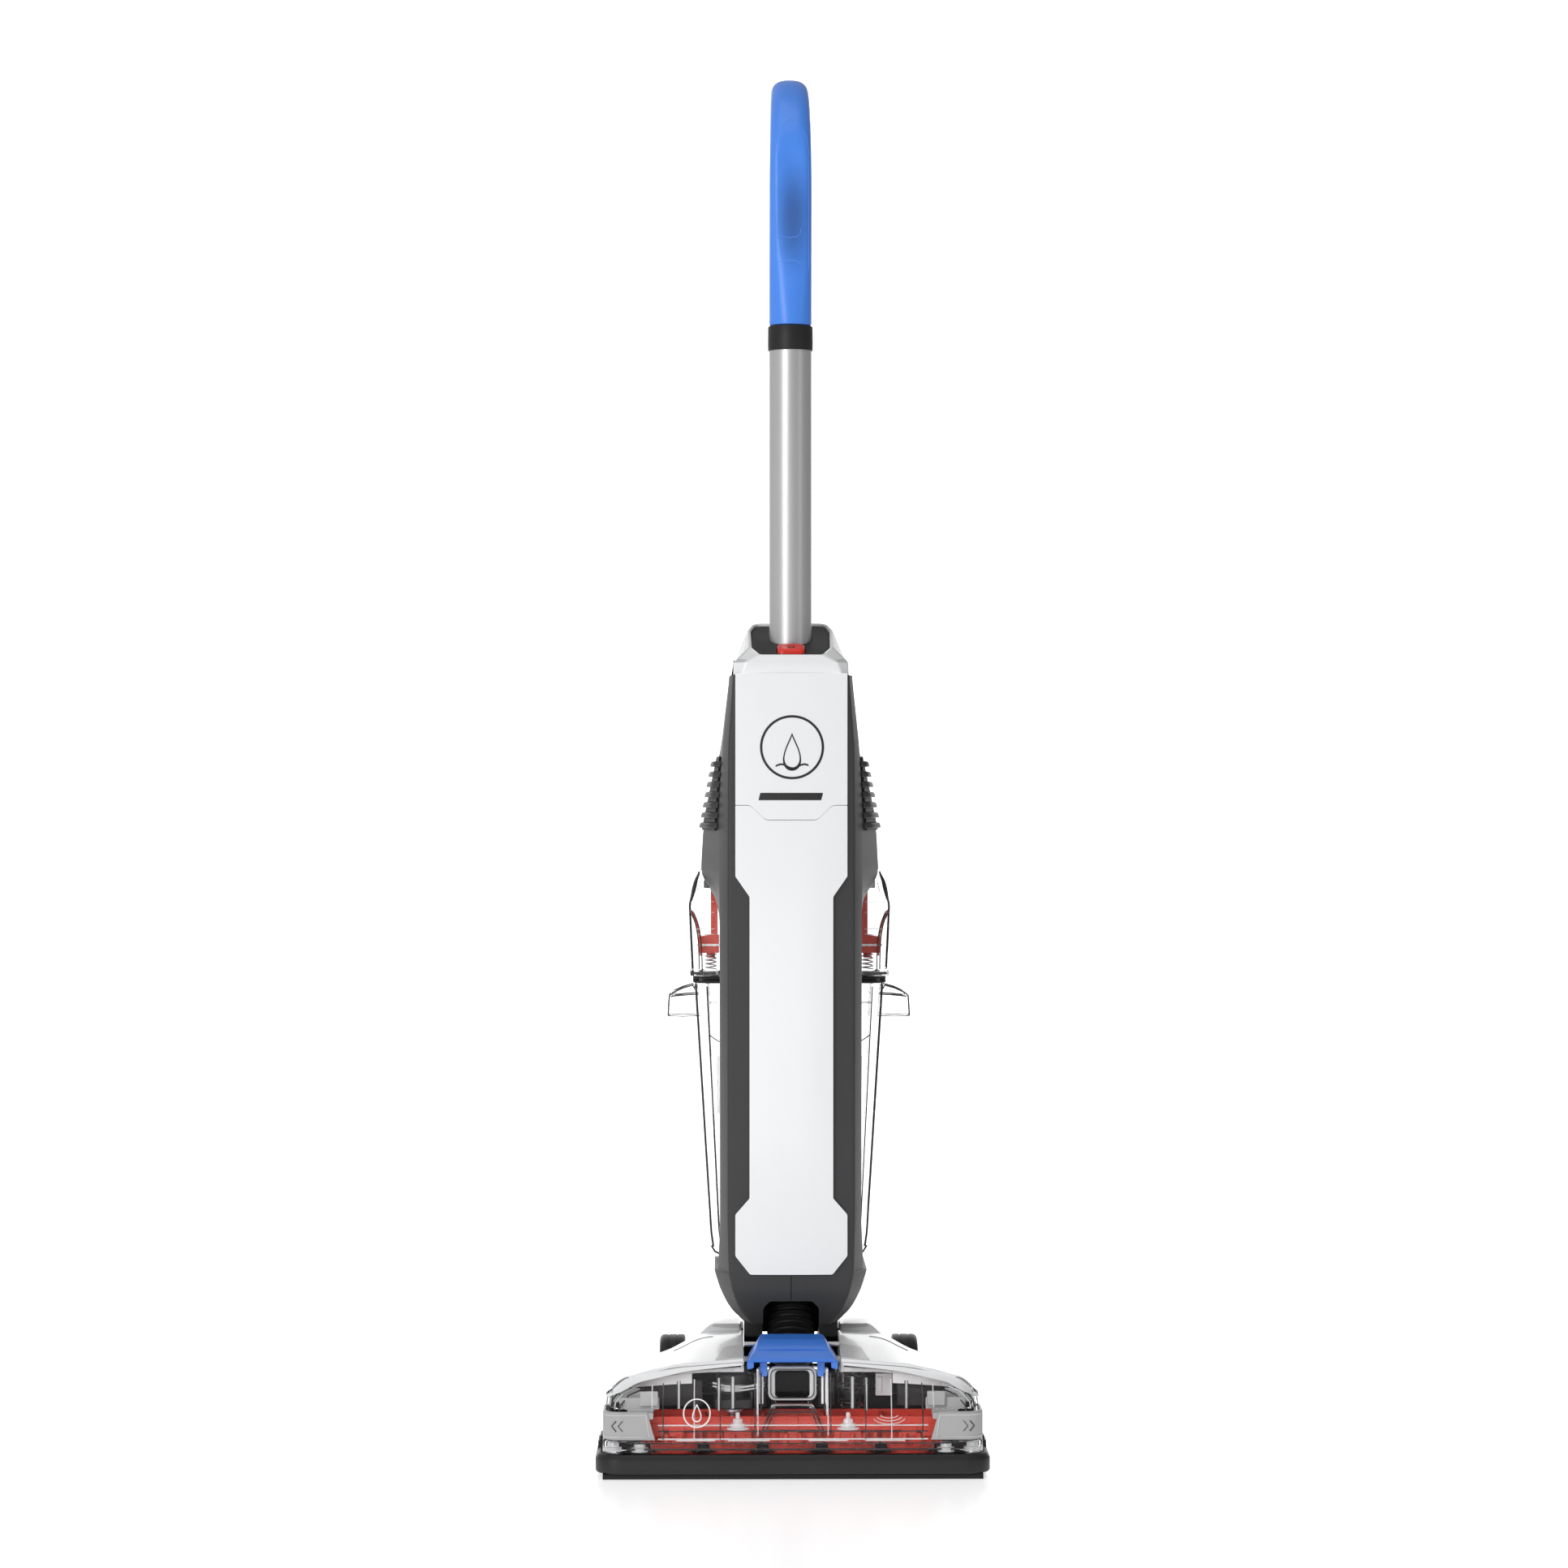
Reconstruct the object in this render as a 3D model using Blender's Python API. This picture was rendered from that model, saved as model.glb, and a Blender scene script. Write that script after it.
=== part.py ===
"""Upright wet dry hard-floor scrubber, built from separate pieces in metres, +Z up, front towards -Y.
Origin: on the floor, under the middle of the machine's bounding box."""
import bpy
import bmesh
import math
from mathutils import Vector

# ---------------------------------------------------------------- driving dimensions (metres)
BUMPER_HX, FRONT_Y = 0.1522, -0.1400          # bumper half width and front face
PIVOT_Y, PIVOT_Z = 0.0400, 0.0720             # recline axis, along X
WHEEL_R, WHEEL_Y = 0.0400, 0.1000             # rear wheels
WHEEL_X0, WHEEL_X1 = 0.0850, 0.1060
BRUSH_Y, BRUSH_PITCH = -0.0950, 0.0460        # five meshed rotary brushes in a row
BRUSH_X = [(-2 + i) * BRUSH_PITCH for i in range(5)]
BRUSH_TEETH = 14
TUBE_R, TUBE_IN_R = 0.0170, 0.0158            # handle tube
TUBE_Z0, TUBE_Z1 = 0.5850, 0.9003
MOTOR_Y = 0.0300                              # suction motor axis, along Z
TOP_SLOPE = 0.33                              # rise per metre of depth of the sloped top of the body
TOP_Z = 0.6366                                # height of that slope at y = -0.045
LATCH_Y, LATCH_Z = -0.0700, 0.0950            # guide pin of the sliding nozzle latch
GAP = 0.0004                                  # assembly gap between touching pieces

for o in list(bpy.data.objects):
    bpy.data.objects.remove(o)

# ---------------------------------------------------------------- materials
COLOURS = {
    "clear_plastic": ((0.92, 0.94, 0.95, 0.35), 0.05, 0.0),
    "white_gloss": ((0.86, 0.86, 0.87, 1), 0.18, 0.0),
    "dark_grey_plastic": ((0.075, 0.075, 0.078, 1), 0.42, 0.0),
    "black_rubber": ((0.02, 0.02, 0.021, 1), 0.6, 0.0),
    "blue_plastic": ((0.07, 0.23, 0.72, 1), 0.35, 0.0),
    "red_plastic": ((0.55, 0.05, 0.03, 1), 0.35, 0.0),
    "light_grey_plastic": ((0.45, 0.45, 0.46, 1), 0.4, 0.0),
    "silver_tube": ((0.55, 0.55, 0.56, 1), 0.32, 0.85),
    "steel": ((0.6, 0.6, 0.6, 1), 0.3, 1.0),
    "motor_black": ((0.03, 0.03, 0.032, 1), 0.5, 0.0),
    "bristle_red": ((0.45, 0.06, 0.05, 1), 0.6, 0.0),
}
MATS = {}
for key, (rgba, rough, metal) in COLOURS.items():
    m = bpy.data.materials.new(key)
    m.use_nodes = True
    b = m.node_tree.nodes["Principled BSDF"]
    b.inputs["Base Color"].default_value = (*rgba[:3], 1)
    b.inputs["Roughness"].default_value = rough
    b.inputs["Metallic"].default_value = metal
    b.inputs["Alpha"].default_value = rgba[3]
    m.diffuse_color = rgba
    MATS[key] = m

# ---------------------------------------------------------------- groups: one empty per moving assembly, on its joint
EMPTIES = {}


def group(name, loc=(0, 0, 0), parent=None):
    e = bpy.data.objects.new("grp_" + name, None)
    bpy.context.scene.collection.objects.link(e)
    e["world"] = loc
    if parent:
        e.parent = EMPTIES[parent]
        e.location = Vector(loc) - Vector(EMPTIES[parent]["world"])
    else:
        e.location = loc
    EMPTIES[name] = e


group("base")
group("nozzle", (0, -0.1, 0.05), "base")
group("latch", (0, LATCH_Y, LATCH_Z), "base")
group("tab_left", (-0.14, -0.12, 0.045), "nozzle")
group("tab_right", (0.14, -0.12, 0.045), "nozzle")
group("brush_block", (0, BRUSH_Y, 0.036), "base")
for i in range(5):
    group(f"brush_{i+1}", (BRUSH_X[i], BRUSH_Y, 0.02), "brush_block")
group("coupler", (BRUSH_X[1], BRUSH_Y, 0.04), "base")
group("wheel_left", (-0.095, WHEEL_Y, WHEEL_R), "base")
group("wheel_right", (0.095, WHEEL_Y, WHEEL_R), "base")
group("body", (0, PIVOT_Y, PIVOT_Z), "base")
group("fan", (0, MOTOR_Y, 0.55), "body")
group("power_button", (0, -0.031, 0.642), "body")
group("handle", (0, 0, 0.70), "body")
group("trigger", (0, 0.0865, 1.0625), "handle")
group("cord_hook", (0, 0.03, 0.890), "handle")
group("tank", (0, 0.085, 0.26), "body")
group("lid_latch", (0, 0.07, 0.42), "tank")


def finish_mesh(bm):
    bmesh.ops.recalc_face_normals(bm, faces=bm.faces[:])
    bmesh.ops.triangulate(bm, faces=bm.faces[:])
    if bm.calc_volume(signed=True) < 0:
        bmesh.ops.reverse_faces(bm, faces=bm.faces[:])


def add(name, bm, mat, grp=None, sharp=35):
    """Make an object from world-space geometry, with its origin at its group's joint."""
    finish_mesh(bm)
    me = bpy.data.meshes.new(name)
    bm.to_mesh(me)
    bm.free()
    o = bpy.data.objects.new(name, me)
    bpy.context.scene.collection.objects.link(o)
    if mat:
        me.materials.append(MATS[mat])
    me.shade_smooth()
    me.set_sharp_from_angle(angle=math.radians(sharp))
    if grp:
        w = Vector(EMPTIES[grp]["world"])
        for v in me.vertices:
            v.co -= w
        o.parent = EMPTIES[grp]
    return o


def helper(name, bm):
    """A cutter or a shape to be joined: in world space, never rendered."""
    o = add("h_" + name, bm, None)
    o.hide_render = True
    o.display_type = "WIRE"
    return o


def boolean(o, other, op="DIFFERENCE"):
    mod = o.modifiers.new(op.lower() + "_" + other.name, "BOOLEAN")
    mod.operation = op
    mod.solver = "EXACT"
    mod.object = other


# ---------------------------------------------------------------- shape makers
def loft(rings, cap=True, bm=None):
    bm = bm or bmesh.new()
    vs = [[bm.verts.new(p) for p in r] for r in rings]
    n = len(rings[0])
    for a, b in zip(vs, vs[1:]):
        for i in range(n):
            bm.faces.new((a[i], a[(i + 1) % n], b[(i + 1) % n], b[i]))
    if cap:
        bm.faces.new(vs[0])
        bm.faces.new(vs[-1])
    return bm


def shell(outer, inner, open_a, open_b):
    """A walled loft. At an open end the wall shows as a rim, at a closed end both skins are capped."""
    bm = bmesh.new()
    vo = [[bm.verts.new(p) for p in r] for r in outer]
    vi = [[bm.verts.new(p) for p in r] for r in inner]
    n = len(outer[0])
    for vs in (vo, vi):
        for a, b in zip(vs, vs[1:]):
            for i in range(n):
                bm.faces.new((a[i], a[(i + 1) % n], b[(i + 1) % n], b[i]))
    for o, i_, opened in ((vo[0], vi[0], open_a), (vo[-1], vi[-1], open_b)):
        if opened:
            for i in range(n):
                bm.faces.new((o[i], o[(i + 1) % n], i_[(i + 1) % n], i_[i]))
        else:
            bm.faces.new(o)
            bm.faces.new(i_)
    return bm


def box(x0, x1, y0, y1, z0, z1):
    return loft([[(x0, y0, z), (x1, y0, z), (x1, y1, z), (x0, y1, z)] for z in (z0, z1)])


def rrect(hx, y0, y1, z, r=0.010, seg=3, cx=0.0):
    """Rounded rectangle in plan; z may be a function of y."""
    pts = []
    for sx, sy, a0 in ((1, -1, -90), (1, 1, 0), (-1, 1, 90), (-1, -1, 180)):
        ox, oy = cx + sx * (hx - r), (y0 + r if sy < 0 else y1 - r)
        for k in range(seg + 1):
            a = math.radians(a0 + 90 * k / seg)
            pts.append((ox + r * math.cos(a), oy + r * math.sin(a)))
    zf = z if callable(z) else (lambda y: z)
    return [(x, y, zf(y)) for x, y in pts]


def prism(pts, lo, hi, axis="Y"):
    """Extrude a 2-D outline: axis Y takes (x, z) points, axis X takes (y, z), axis Z takes (x, y)."""
    def p3(p, t):
        return {"Y": (p[0], t, p[1]), "X": (t, p[0], p[1]), "Z": (p[0], p[1], t)}[axis]
    return loft([[p3(p, t) for p in pts] for t in (lo, hi)])


def cyl(c, r, lo, hi, axis="Z", n=20, r2=None):
    r2 = r if r2 is None else r2
    rings = []
    for t, rr in ((lo, r), (hi, r2)):
        ring = []
        for k in range(n):
            a = 2 * math.pi * k / n
            u, v = rr * math.cos(a), rr * math.sin(a)
            ring.append({"Z": (c[0] + u, c[1] + v, t), "X": (t, c[0] + u, c[1] + v),
                         "Y": (c[0] + u, t, c[1] + v)}[axis])
        rings.append(ring)
    return loft(rings)


def turned(profile, c, axis="Z", n=20):
    """Closed (r, t) profile turned round an axis through c: a ring-shaped solid with a hole."""
    bm = bmesh.new()
    rows = []
    for k in range(n):
        a = 2 * math.pi * k / n
        row = []
        for r, t in profile:
            u, v = r * math.cos(a), r * math.sin(a)
            row.append(bm.verts.new({"Z": (c[0] + u, c[1] + v, t), "X": (t, c[0] + u, c[1] + v),
                                     "Y": (c[0] + u, t, c[1] + v)}[axis]))
        rows.append(row)
    m = len(profile)
    for k in range(n):
        a, b = rows[k], rows[(k + 1) % n]
        for j in range(m):
            bm.faces.new((a[j], a[(j + 1) % m], b[(j + 1) % m], b[j]))
    return bm


def smooth_path(pts, per=4):
    """Catmull-Rom curve through points, as a denser list."""
    P = [Vector(p) for p in pts]
    P = [P[0] * 2 - P[1]] + P + [P[-1] * 2 - P[-2]]
    out = []
    for i in range(1, len(P) - 2):
        for k in range(per):
            t = k / per
            a, b, c, d = P[i - 1], P[i], P[i + 1], P[i + 2]
            out.append(0.5 * ((2 * b) + (c - a) * t + (2 * a - 5 * b + 4 * c - d) * t * t
                              + (3 * b - a - 3 * c + d) * t ** 3))
    out.append(P[-2])
    return out


def sweep(path, shape, cap=True, bm=None):
    """Sweep along a path in the YZ plane. shape(i, f) gives (half width in X, half depth, exponent)."""
    rings = []
    n = 12
    for i, p in enumerate(path):
        t = (path[min(i + 1, len(path) - 1)] - path[max(i - 1, 0)]).normalized()
        nrm = Vector((0, t.z, -t.y))
        a, b, e = shape(i / (len(path) - 1))
        ring = []
        for k in range(n):
            an = 2 * math.pi * k / n
            ca, sa = math.cos(an), math.sin(an)
            u = a * math.copysign(abs(ca) ** (2 / e), ca)
            v = b * math.copysign(abs(sa) ** (2 / e), sa)
            ring.append(p + Vector((u, 0, 0)) + nrm * v)
        rings.append(ring)
    return loft(rings, cap, bm)


def helix(c, r, wire, z0, z1, turns, per=10, sides=5):
    pts = []
    n = int(turns * per)
    for k in range(n + 1):
        a = 2 * math.pi * turns * k / n
        pts.append(Vector((c[0] + r * math.cos(a), c[1] + r * math.sin(a), z0 + wire + (z1 - z0 - 2 * wire) * k / n)))
    rings = []
    for i, p in enumerate(pts):
        t = (pts[min(i + 1, n)] - pts[max(i - 1, 0)]).normalized()
        u = Vector((p.x - c[0], p.y - c[1], 0)).normalized()
        w = t.cross(u).normalized()
        rings.append([p + (u * math.cos(q) + w * math.sin(q)) * wire for q in [2 * math.pi * s / sides for s in range(sides)]])
    return loft(rings)


# ================================================================ BASE
# ---- outline of the clear nozzle and of the cover's front rim
def ztop(x):
    """Height of the nozzle window's upper edge."""
    x = abs(x)
    pts = [(0, 0.0848), (0.034, 0.0842), (0.087, 0.0803), (0.115, 0.0760), (0.133, 0.0709), (0.1455, 0.0575), (0.150, 0.0560)]
    for (a, za), (b, zb) in zip(pts, pts[1:]):
        if x <= b:
            return za + (zb - za) * (x - a) / (b - a)
    return pts[-1][1]


def u_path(hx, yf, yr, rc, seg=4):
    """U in plan: rear right, round the front, to rear left."""
    pts = [(hx, yr), (hx, (yr + yf + rc) / 2)]
    for k in range(seg + 1):
        a = math.radians(0 - 90 * k / seg)
        pts.append((hx - rc + rc * math.cos(a), yf + rc + rc * math.sin(a)))
    for x in (0.115, 0.08, 0.036, 0.0):
        if x < hx - rc - 0.002:
            pts.append((x, yf))
    left = [(-x, y) for x, y in reversed(pts) if x > 1e-9]
    return pts + left


WIN_LEVELS = [  # share of height, half width, front y, corner radius
    (0.00, 0.1468, -0.1348, 0.014), (0.40, 0.1465, -0.1335, 0.014),
    (0.72, 0.1455, -0.1240, 0.015), (1.00, 0.1440, -0.1035, 0.016)]
WALL = 0.0024


def wall(levels, z_of):
    """A standing wall with a U plan: outer and inner skins, top, bottom and both ends."""
    bm = bmesh.new()
    rows = []
    for t, hx, yf, rc in levels:
        out, inn = u_path(hx, yf, -0.0600, rc), u_path(hx - WALL, yf + WALL, -0.0600, rc - WALL * 0.6)
        rows.append([[bm.verts.new((p[0], p[1], z_of(q[0], t))) for p, q in zip(side, out)] for side in (out, inn)])
    n = len(rows[0][0])
    for a, b in zip(rows, rows[1:]):
        for k in (0, 1):
            for i in range(n - 1):
                bm.faces.new((a[k][i], a[k][i + 1], b[k][i + 1], b[k][i]))
        for i in (0, n - 1):
            bm.faces.new((a[0][i], a[1][i], b[1][i], b[0][i]))
    for r in (rows[0], rows[-1]):
        for i in range(n - 1):
            bm.faces.new((r[0][i], r[0][i + 1], r[1][i + 1], r[1][i]))
    return bm


window = add("nozzle_window", wall(WIN_LEVELS, lambda x, t: 0.0195 + (ztop(x) - 0.0195) * t), "clear_plastic", "nozzle")
for s, side in ((-1, "l"), (1, "r")):
    xs = sorted((s * 0.1045, s * 0.170))
    boolean(window, helper("tab_gap_" + side, box(*xs, -0.150, -0.0895, 0.0285, 0.0525)))

# release tabs wrap the lower front corners, inside the window's gaps
def tab(side, s):
    pts_o, pts_i = [], []
    hx, yf, rc = 0.1466, -0.1340, 0.0140
    out, inn = [(hx, -0.0915)], [(hx - WALL, -0.0915)]
    for k in range(5):
        a = math.radians(-90 * k / 4)
        out.append((hx - rc + rc * math.cos(a), yf + rc + rc * math.sin(a)))
        inn.append((hx - rc + (rc - WALL) * math.cos(a), yf + rc + (rc - WALL) * math.sin(a)))
    out.append((0.1060, yf))
    inn.append((0.1060, yf + WALL))
    ring = out + inn[::-1]
    bm = loft([[(s * x, y, z) for x, y in ring] for z in (0.0295, 0.0515)])
    o = add("release_tab_" + side, bm, "light_grey_plastic", "tab_" + side)
    xs = sorted((s * 0.1075, s * 0.1280))
    arm = helper("tab_arm_" + side, box(*xs, yf + WALL * 0.5, -0.1130, 0.0456, 0.0505))
    boolean(o, arm, "UNION")


tab("left", -1)
tab("right", 1)

# bumper: a moulded rubber frame under the nozzle
def bumper_ring(dx, z):
    out = u_path(BUMPER_HX - dx, FRONT_Y + dx, -0.0580, 0.019 - dx)
    inn = u_path(0.1436, -0.1316, -0.0580, 0.010)
    return [(x, y, z) for x, y in out] + [(x, y, z) for x, y in reversed(inn)]


add("bumper", loft([bumper_ring(0.0015, 0.0042), bumper_ring(0, 0.0065), bumper_ring(0, 0.0150), bumper_ring(0.0030, 0.0190)]),
    "black_rubber", "nozzle")
lip = add("front_squeegee", box(-0.1463, 0.1463, -0.1360, -0.1280, 0.0, 0.0038), "black_rubber", "nozzle")
boolean(lip, helper("lip_web", box(-0.1325, 0.1325, -0.1312, -0.1284, 0.0030, 0.0150)), "UNION")

# clear duct behind the window, flared towards the floor, with its gasket
DUCT_HX, DUCT_Z0, DUCT_Z1 = 0.0130, 0.0572, 0.0777


def rect_ring(hx, z0, z1, y, r=0.003, seg=2):
    pts = []
    for sx, sz, a0 in ((1, -1, -90), (1, 1, 0), (-1, 1, 90), (-1, -1, 180)):
        ox, oz = sx * (hx - r), (z0 + r if sz < 0 else z1 - r)
        for k in range(seg + 1):
            a = math.radians(a0 + 90 * k / seg)
            pts.append((ox + r * math.cos(a), y, oz + r * math.sin(a)))
    return pts


duct = add("nozzle_duct", shell([rect_ring(0.0155, 0.0547, 0.0800, y, 0.004) for y in (-0.0950, -0.0580)],
                                [rect_ring(DUCT_HX, DUCT_Z0, DUCT_Z1, y) for y in (-0.0950, -0.0580)], True, True),
           "clear_plastic", "nozzle")
flare = bmesh.new()
flare_rings = []
for y, z, hx, dy, dz in ((-0.0880, 0.0538, 0.0150, 0, 0.0022), (-0.0945, 0.0520, 0.0155, 0, 0.0022), (-0.1150, 0.0485, 0.0180, -0.0014, 0.0018), (-0.1210, 0.0350, 0.0235, -0.0022, 0)):
    flare_rings.append([(-hx, y, z), (hx, y, z), (hx, y + dy, z + dz), (-hx, y + dy, z + dz)])
loft(flare_rings, True, flare)
boolean(duct, helper("duct_flare", flare), "UNION")
add("duct_seal", shell([rect_ring(0.0188, 0.0548, 0.0810, y, 0.005) for y in (-0.0985, -0.0955)],
                       [rect_ring(DUCT_HX + 0.0004, DUCT_Z0 - 0.0006, DUCT_Z1 + 0.0004, y) for y in (-0.0985, -0.0955)], True, True),
    "light_grey_plastic", "nozzle")

# ---- chassis tray
def tray_outline(d, yf, yr, z):
    """Plan outline inset by d, from the front right corner round to the front left."""
    half = [(0.1455 - d, yf), (0.1455 - d, -0.0300 + d * 0.4), (0.0820 - d, 0.0450 + d * 0.4), (0.0820 - d, yr)]
    return [(x, y, z) for x, y in half] + [(-x, y, z) for x, y in reversed(half)]


frame = add("base_frame", loft([tray_outline(0, -0.0570, 0.1310, z) for z in (0.0100, 0.0540)]), "dark_grey_plastic", "base")
boolean(frame, helper("tray_hollow", loft([tray_outline(0.003, -0.0540, 0.0620, z) for z in (0.0130, 0.0800)])))
boolean(frame, helper("rear_low", box(-0.1, 0.1, 0.0660, 0.2, 0.0470, 0.0900)))
boolean(frame, helper("deck_hollow", box(-0.0790, 0.0790, 0.0500, 0.1280, 0.0135, 0.0440)))
for s, side in ((-1, "l"), (1, "r")):
    for k, (x0, x1) in enumerate(((0.0408, 0.0442), (0.0560, 0.0592))):
        xs = sorted((s * x0, s * x1))
        tower = prism([(0.016, 0.0115), (0.060, 0.0115), (0.056, 0.0800), (0.048, 0.0860), (0.032, 0.0860), (0.024, 0.0800)], *xs, "X")
        boolean(frame, helper(f"tower_{side}{k}", tower), "UNION")
    xs = sorted((s * 0.1365, s * 0.1408))
    boolean(frame, helper("cheek_" + side, box(*xs, -0.0885, -0.0550, 0.0197, 0.0530)), "UNION")
boolean(frame, helper("pin_holes", cyl((PIVOT_Y, PIVOT_Z), 0.0064, -0.07, 0.07, "X", 16)))
boolean(frame, helper("axle_holes", cyl((WHEEL_Y, WHEEL_R), 0.0043, -0.09, 0.09, "X", 12)))
boolean(frame, helper("duct_gap", box(-0.0182, 0.0182, -0.0600, -0.0500, 0.0515, 0.0700)))

# ---- white cover: two crowned wings joined by a bridge under the latch
COVER_ROWS = [  # y, half width
    (-0.1055, 0.1290), (-0.0980, 0.1415), (-0.0875, 0.1465), (-0.0600, 0.1478), (-0.0300, 0.1478),
    (-0.0050, 0.1270), (0.0200, 0.1060), (0.0430, 0.0850), (0.0655, 0.0830)]


def cover_z(x, y):
    """Height of the cover's outer skin: low at the front rim, rising to the neck, falling to the sides."""
    rim = ztop(x) + 0.0042
    across = [(0.0, 0.0980), (0.0775, 0.0955), (0.1044, 0.0855), (0.135, 0.0730), (0.1478, 0.0590)]
    z = across[-1][1]
    for (a, za), (b, zb) in zip(across, across[1:]):
        if x <= b:
            z = za + (zb - za) * (x - a) / (b - a)
            break
    f = min(1.0, max(0.0, (y + 0.1055) / 0.085))
    f = 1 - (1 - f) ** 1.7
    if y > 0.0:
        z -= 0.0022 * (y / 0.02) ** 1.5
    return max(rim + (z - rim) * f, 0.0585)


def wing(s, inset, x_in=0.0378, low=None):
    bm = bmesh.new()
    top, bot = [], []
    fr = [0, 0.30, 0.62, 0.84, 0.92, 0.97, 1.0]
    rows = COVER_ROWS if low is None else [(-0.0950, 0.1435)] + COVER_ROWS[2:]
    for j, (y, w) in enumerate(rows):
        yy = y + (inset if j == 0 else (-inset if j == len(rows) - 1 else 0))
        w_in, w_out = x_in + inset, w - inset * 1.2
        a, b = [], []
        for f in fr:
            x = w_in + (w_out - w_in) * f
            z = cover_z(x, yy) - inset
            if low is None:
                zl = ztop(x) + 0.0020 if yy < -0.0970 else (max(0.0552, ztop(x) + 0.0020) if x > 0.139 and yy < -0.05 else 0.0552)
            else:
                zl = low
            a.append(bm.verts.new((s * x, yy, max(z, zl + 0.0004))))
            b.append(bm.verts.new((s * x, yy, zl)))
        top.append(a)
        bot.append(b)
    for g in (top, bot):
        for r0, r1 in zip(g, g[1:]):
            for i in range(len(fr) - 1):
                bm.faces.new((r0[i], r0[i + 1], r1[i + 1], r1[i]))
    for i in range(len(fr) - 1):
        for k in (0, -1):
            bm.faces.new((top[k][i], top[k][i + 1], bot[k][i + 1], bot[k][i]))
    for j in range(len(rows) - 1):
        for k in (0, -1):
            bm.faces.new((top[j][k], top[j + 1][k], bot[j + 1][k], bot[j][k]))
    return bm


cover = add("base_cover", wing(1, 0.0), "white_gloss", "base")
boolean(cover, helper("wing_left", wing(-1, 0.0)), "UNION")
for s, side in ((-1, "l"), (1, "r")):
    x = lambda *v: sorted(s * q for q in v)
    # raised shoulder over each recline pin
    sh = loft([[(s * a, y0, z), (s * b, y0, z), (s * b, y1, z), (s * a, y1, z)] for z, a, b, y0, y1 in
               ((0.0700, 0.0380, 0.0790, -0.0100, 0.0650), (0.0890, 0.0380, 0.0780, -0.0060, 0.0640), (0.1005, 0.0400, 0.0640, 0.0080, 0.0580))])
    boolean(cover, helper("shoulder_" + side, sh), "UNION")
boolean(cover, helper("bridge", box(-0.0440, 0.0440, -0.0720, -0.0660, 0.0812, 0.0852)), "UNION")
for s, side in ((-1, "l"), (1, "r")):
    boolean(cover, helper("cover_hollow_" + side, wing(s, 0.0026, low=0.0400)))
    hol = loft([[(s * a, y0, z), (s * b, y0, z), (s * b, y1, z), (s * a, y1, z)] for z, a, b, y0, y1 in
                ((0.0500, 0.0404, 0.0755, -0.0070, 0.0626), (0.0870, 0.0404, 0.0750, -0.0030, 0.0616), (0.0978, 0.0424, 0.0615, 0.0105, 0.0556))])
    boolean(cover, helper("shoulder_hollow_" + side, hol))

boolean(cover, helper("drive_way", box(-0.0780, 0.0780, -0.1000, -0.0560, 0.0500, 0.0768)))
boolean(cover, helper("cover_bores", cyl((PIVOT_Y, PIVOT_Z), 0.0064, -0.0420, 0.0420, "X", 16)))

# ---- recline pins, rear axle, wheels
for s, side in ((-1, "left"), (1, "right")):
    xs = sorted((s * 0.0240, s * 0.0600))
    add("pivot_pin_" + side, cyl((PIVOT_Y, PIVOT_Z), 0.0060, *xs, "X", 16), "steel", "base")
    c = (WHEEL_Y, WHEEL_R)
    x0, x1 = (WHEEL_X0, WHEEL_X1)
    hub = [(0.0044, x0), (0.0130, x0), (0.0290, x0 + 0.006), (0.0352, x0 + 0.001),
           (0.0352, x1 - 0.002), (0.0310, x1 - 0.0005), (0.0280, x1 - 0.0050), (0.0120, x1 - 0.0030), (0.0044, x1 - 0.0010)]
    tyre = [(0.0356, x0), (0.0400, x0 + 0.0010), (0.0400, x1 - 0.0035), (0.0388, x1 - 0.0010), (0.0356, x1)]
    add("wheel_" + side, turned([(r, s * t) for r, t in hub], c, "X", 24), "dark_grey_plastic", "wheel_" + side)
    add("tyre_" + side, turned([(r, s * t) for r, t in tyre], c, "X", 36), "black_rubber", "wheel_" + side)
add("rear_axle", cyl((WHEEL_Y, WHEEL_R), 0.0040, -0.1040, 0.1040, "X", 14), "steel", "base")
add("rear_squeegee", prism([(-0.0650, 0.0), (-0.0610, 0.0), (-0.0580, 0.0060), (-0.0580, 0.0096), (-0.0670, 0.0096), (-0.0670, 0.0060)], -0.1380, 0.1380, "X"),
    "black_rubber", "base")

# ---- brush drive: gearmotor, coupler, brush carrier and five meshed brushes
motor = add("brush_motor", cyl((BRUSH_X[1], -0.0800), 0.0135, 0.0530, 0.0745, "Z", 20), "motor_black", "base")
boolean(motor, helper("gear_case", box(BRUSH_X[1] - 0.0150, BRUSH_X[1] + 0.0150, -0.1040, -0.0574, 0.0492, 0.0560)), "UNION")
coup = add("drive_coupler", cyl((BRUSH_X[1], BRUSH_Y), 0.0038, 0.0200, 0.0470, "Z", 8), "steel", "coupler")
boolean(coup, helper("coupler_disc", cyl((BRUSH_X[1], BRUSH_Y), 0.0078, 0.0460, 0.0488, "Z", 16)), "UNION")
add("solution_diffuser", turned([(0.0070, 0.0500), (0.0098, 0.0480), (0.0102, 0.0745), (0.0088, 0.0745), (0.0084, 0.0520)], (BRUSH_X[3], -0.0860), "Z", 16),
    "clear_plastic", "base")

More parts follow.
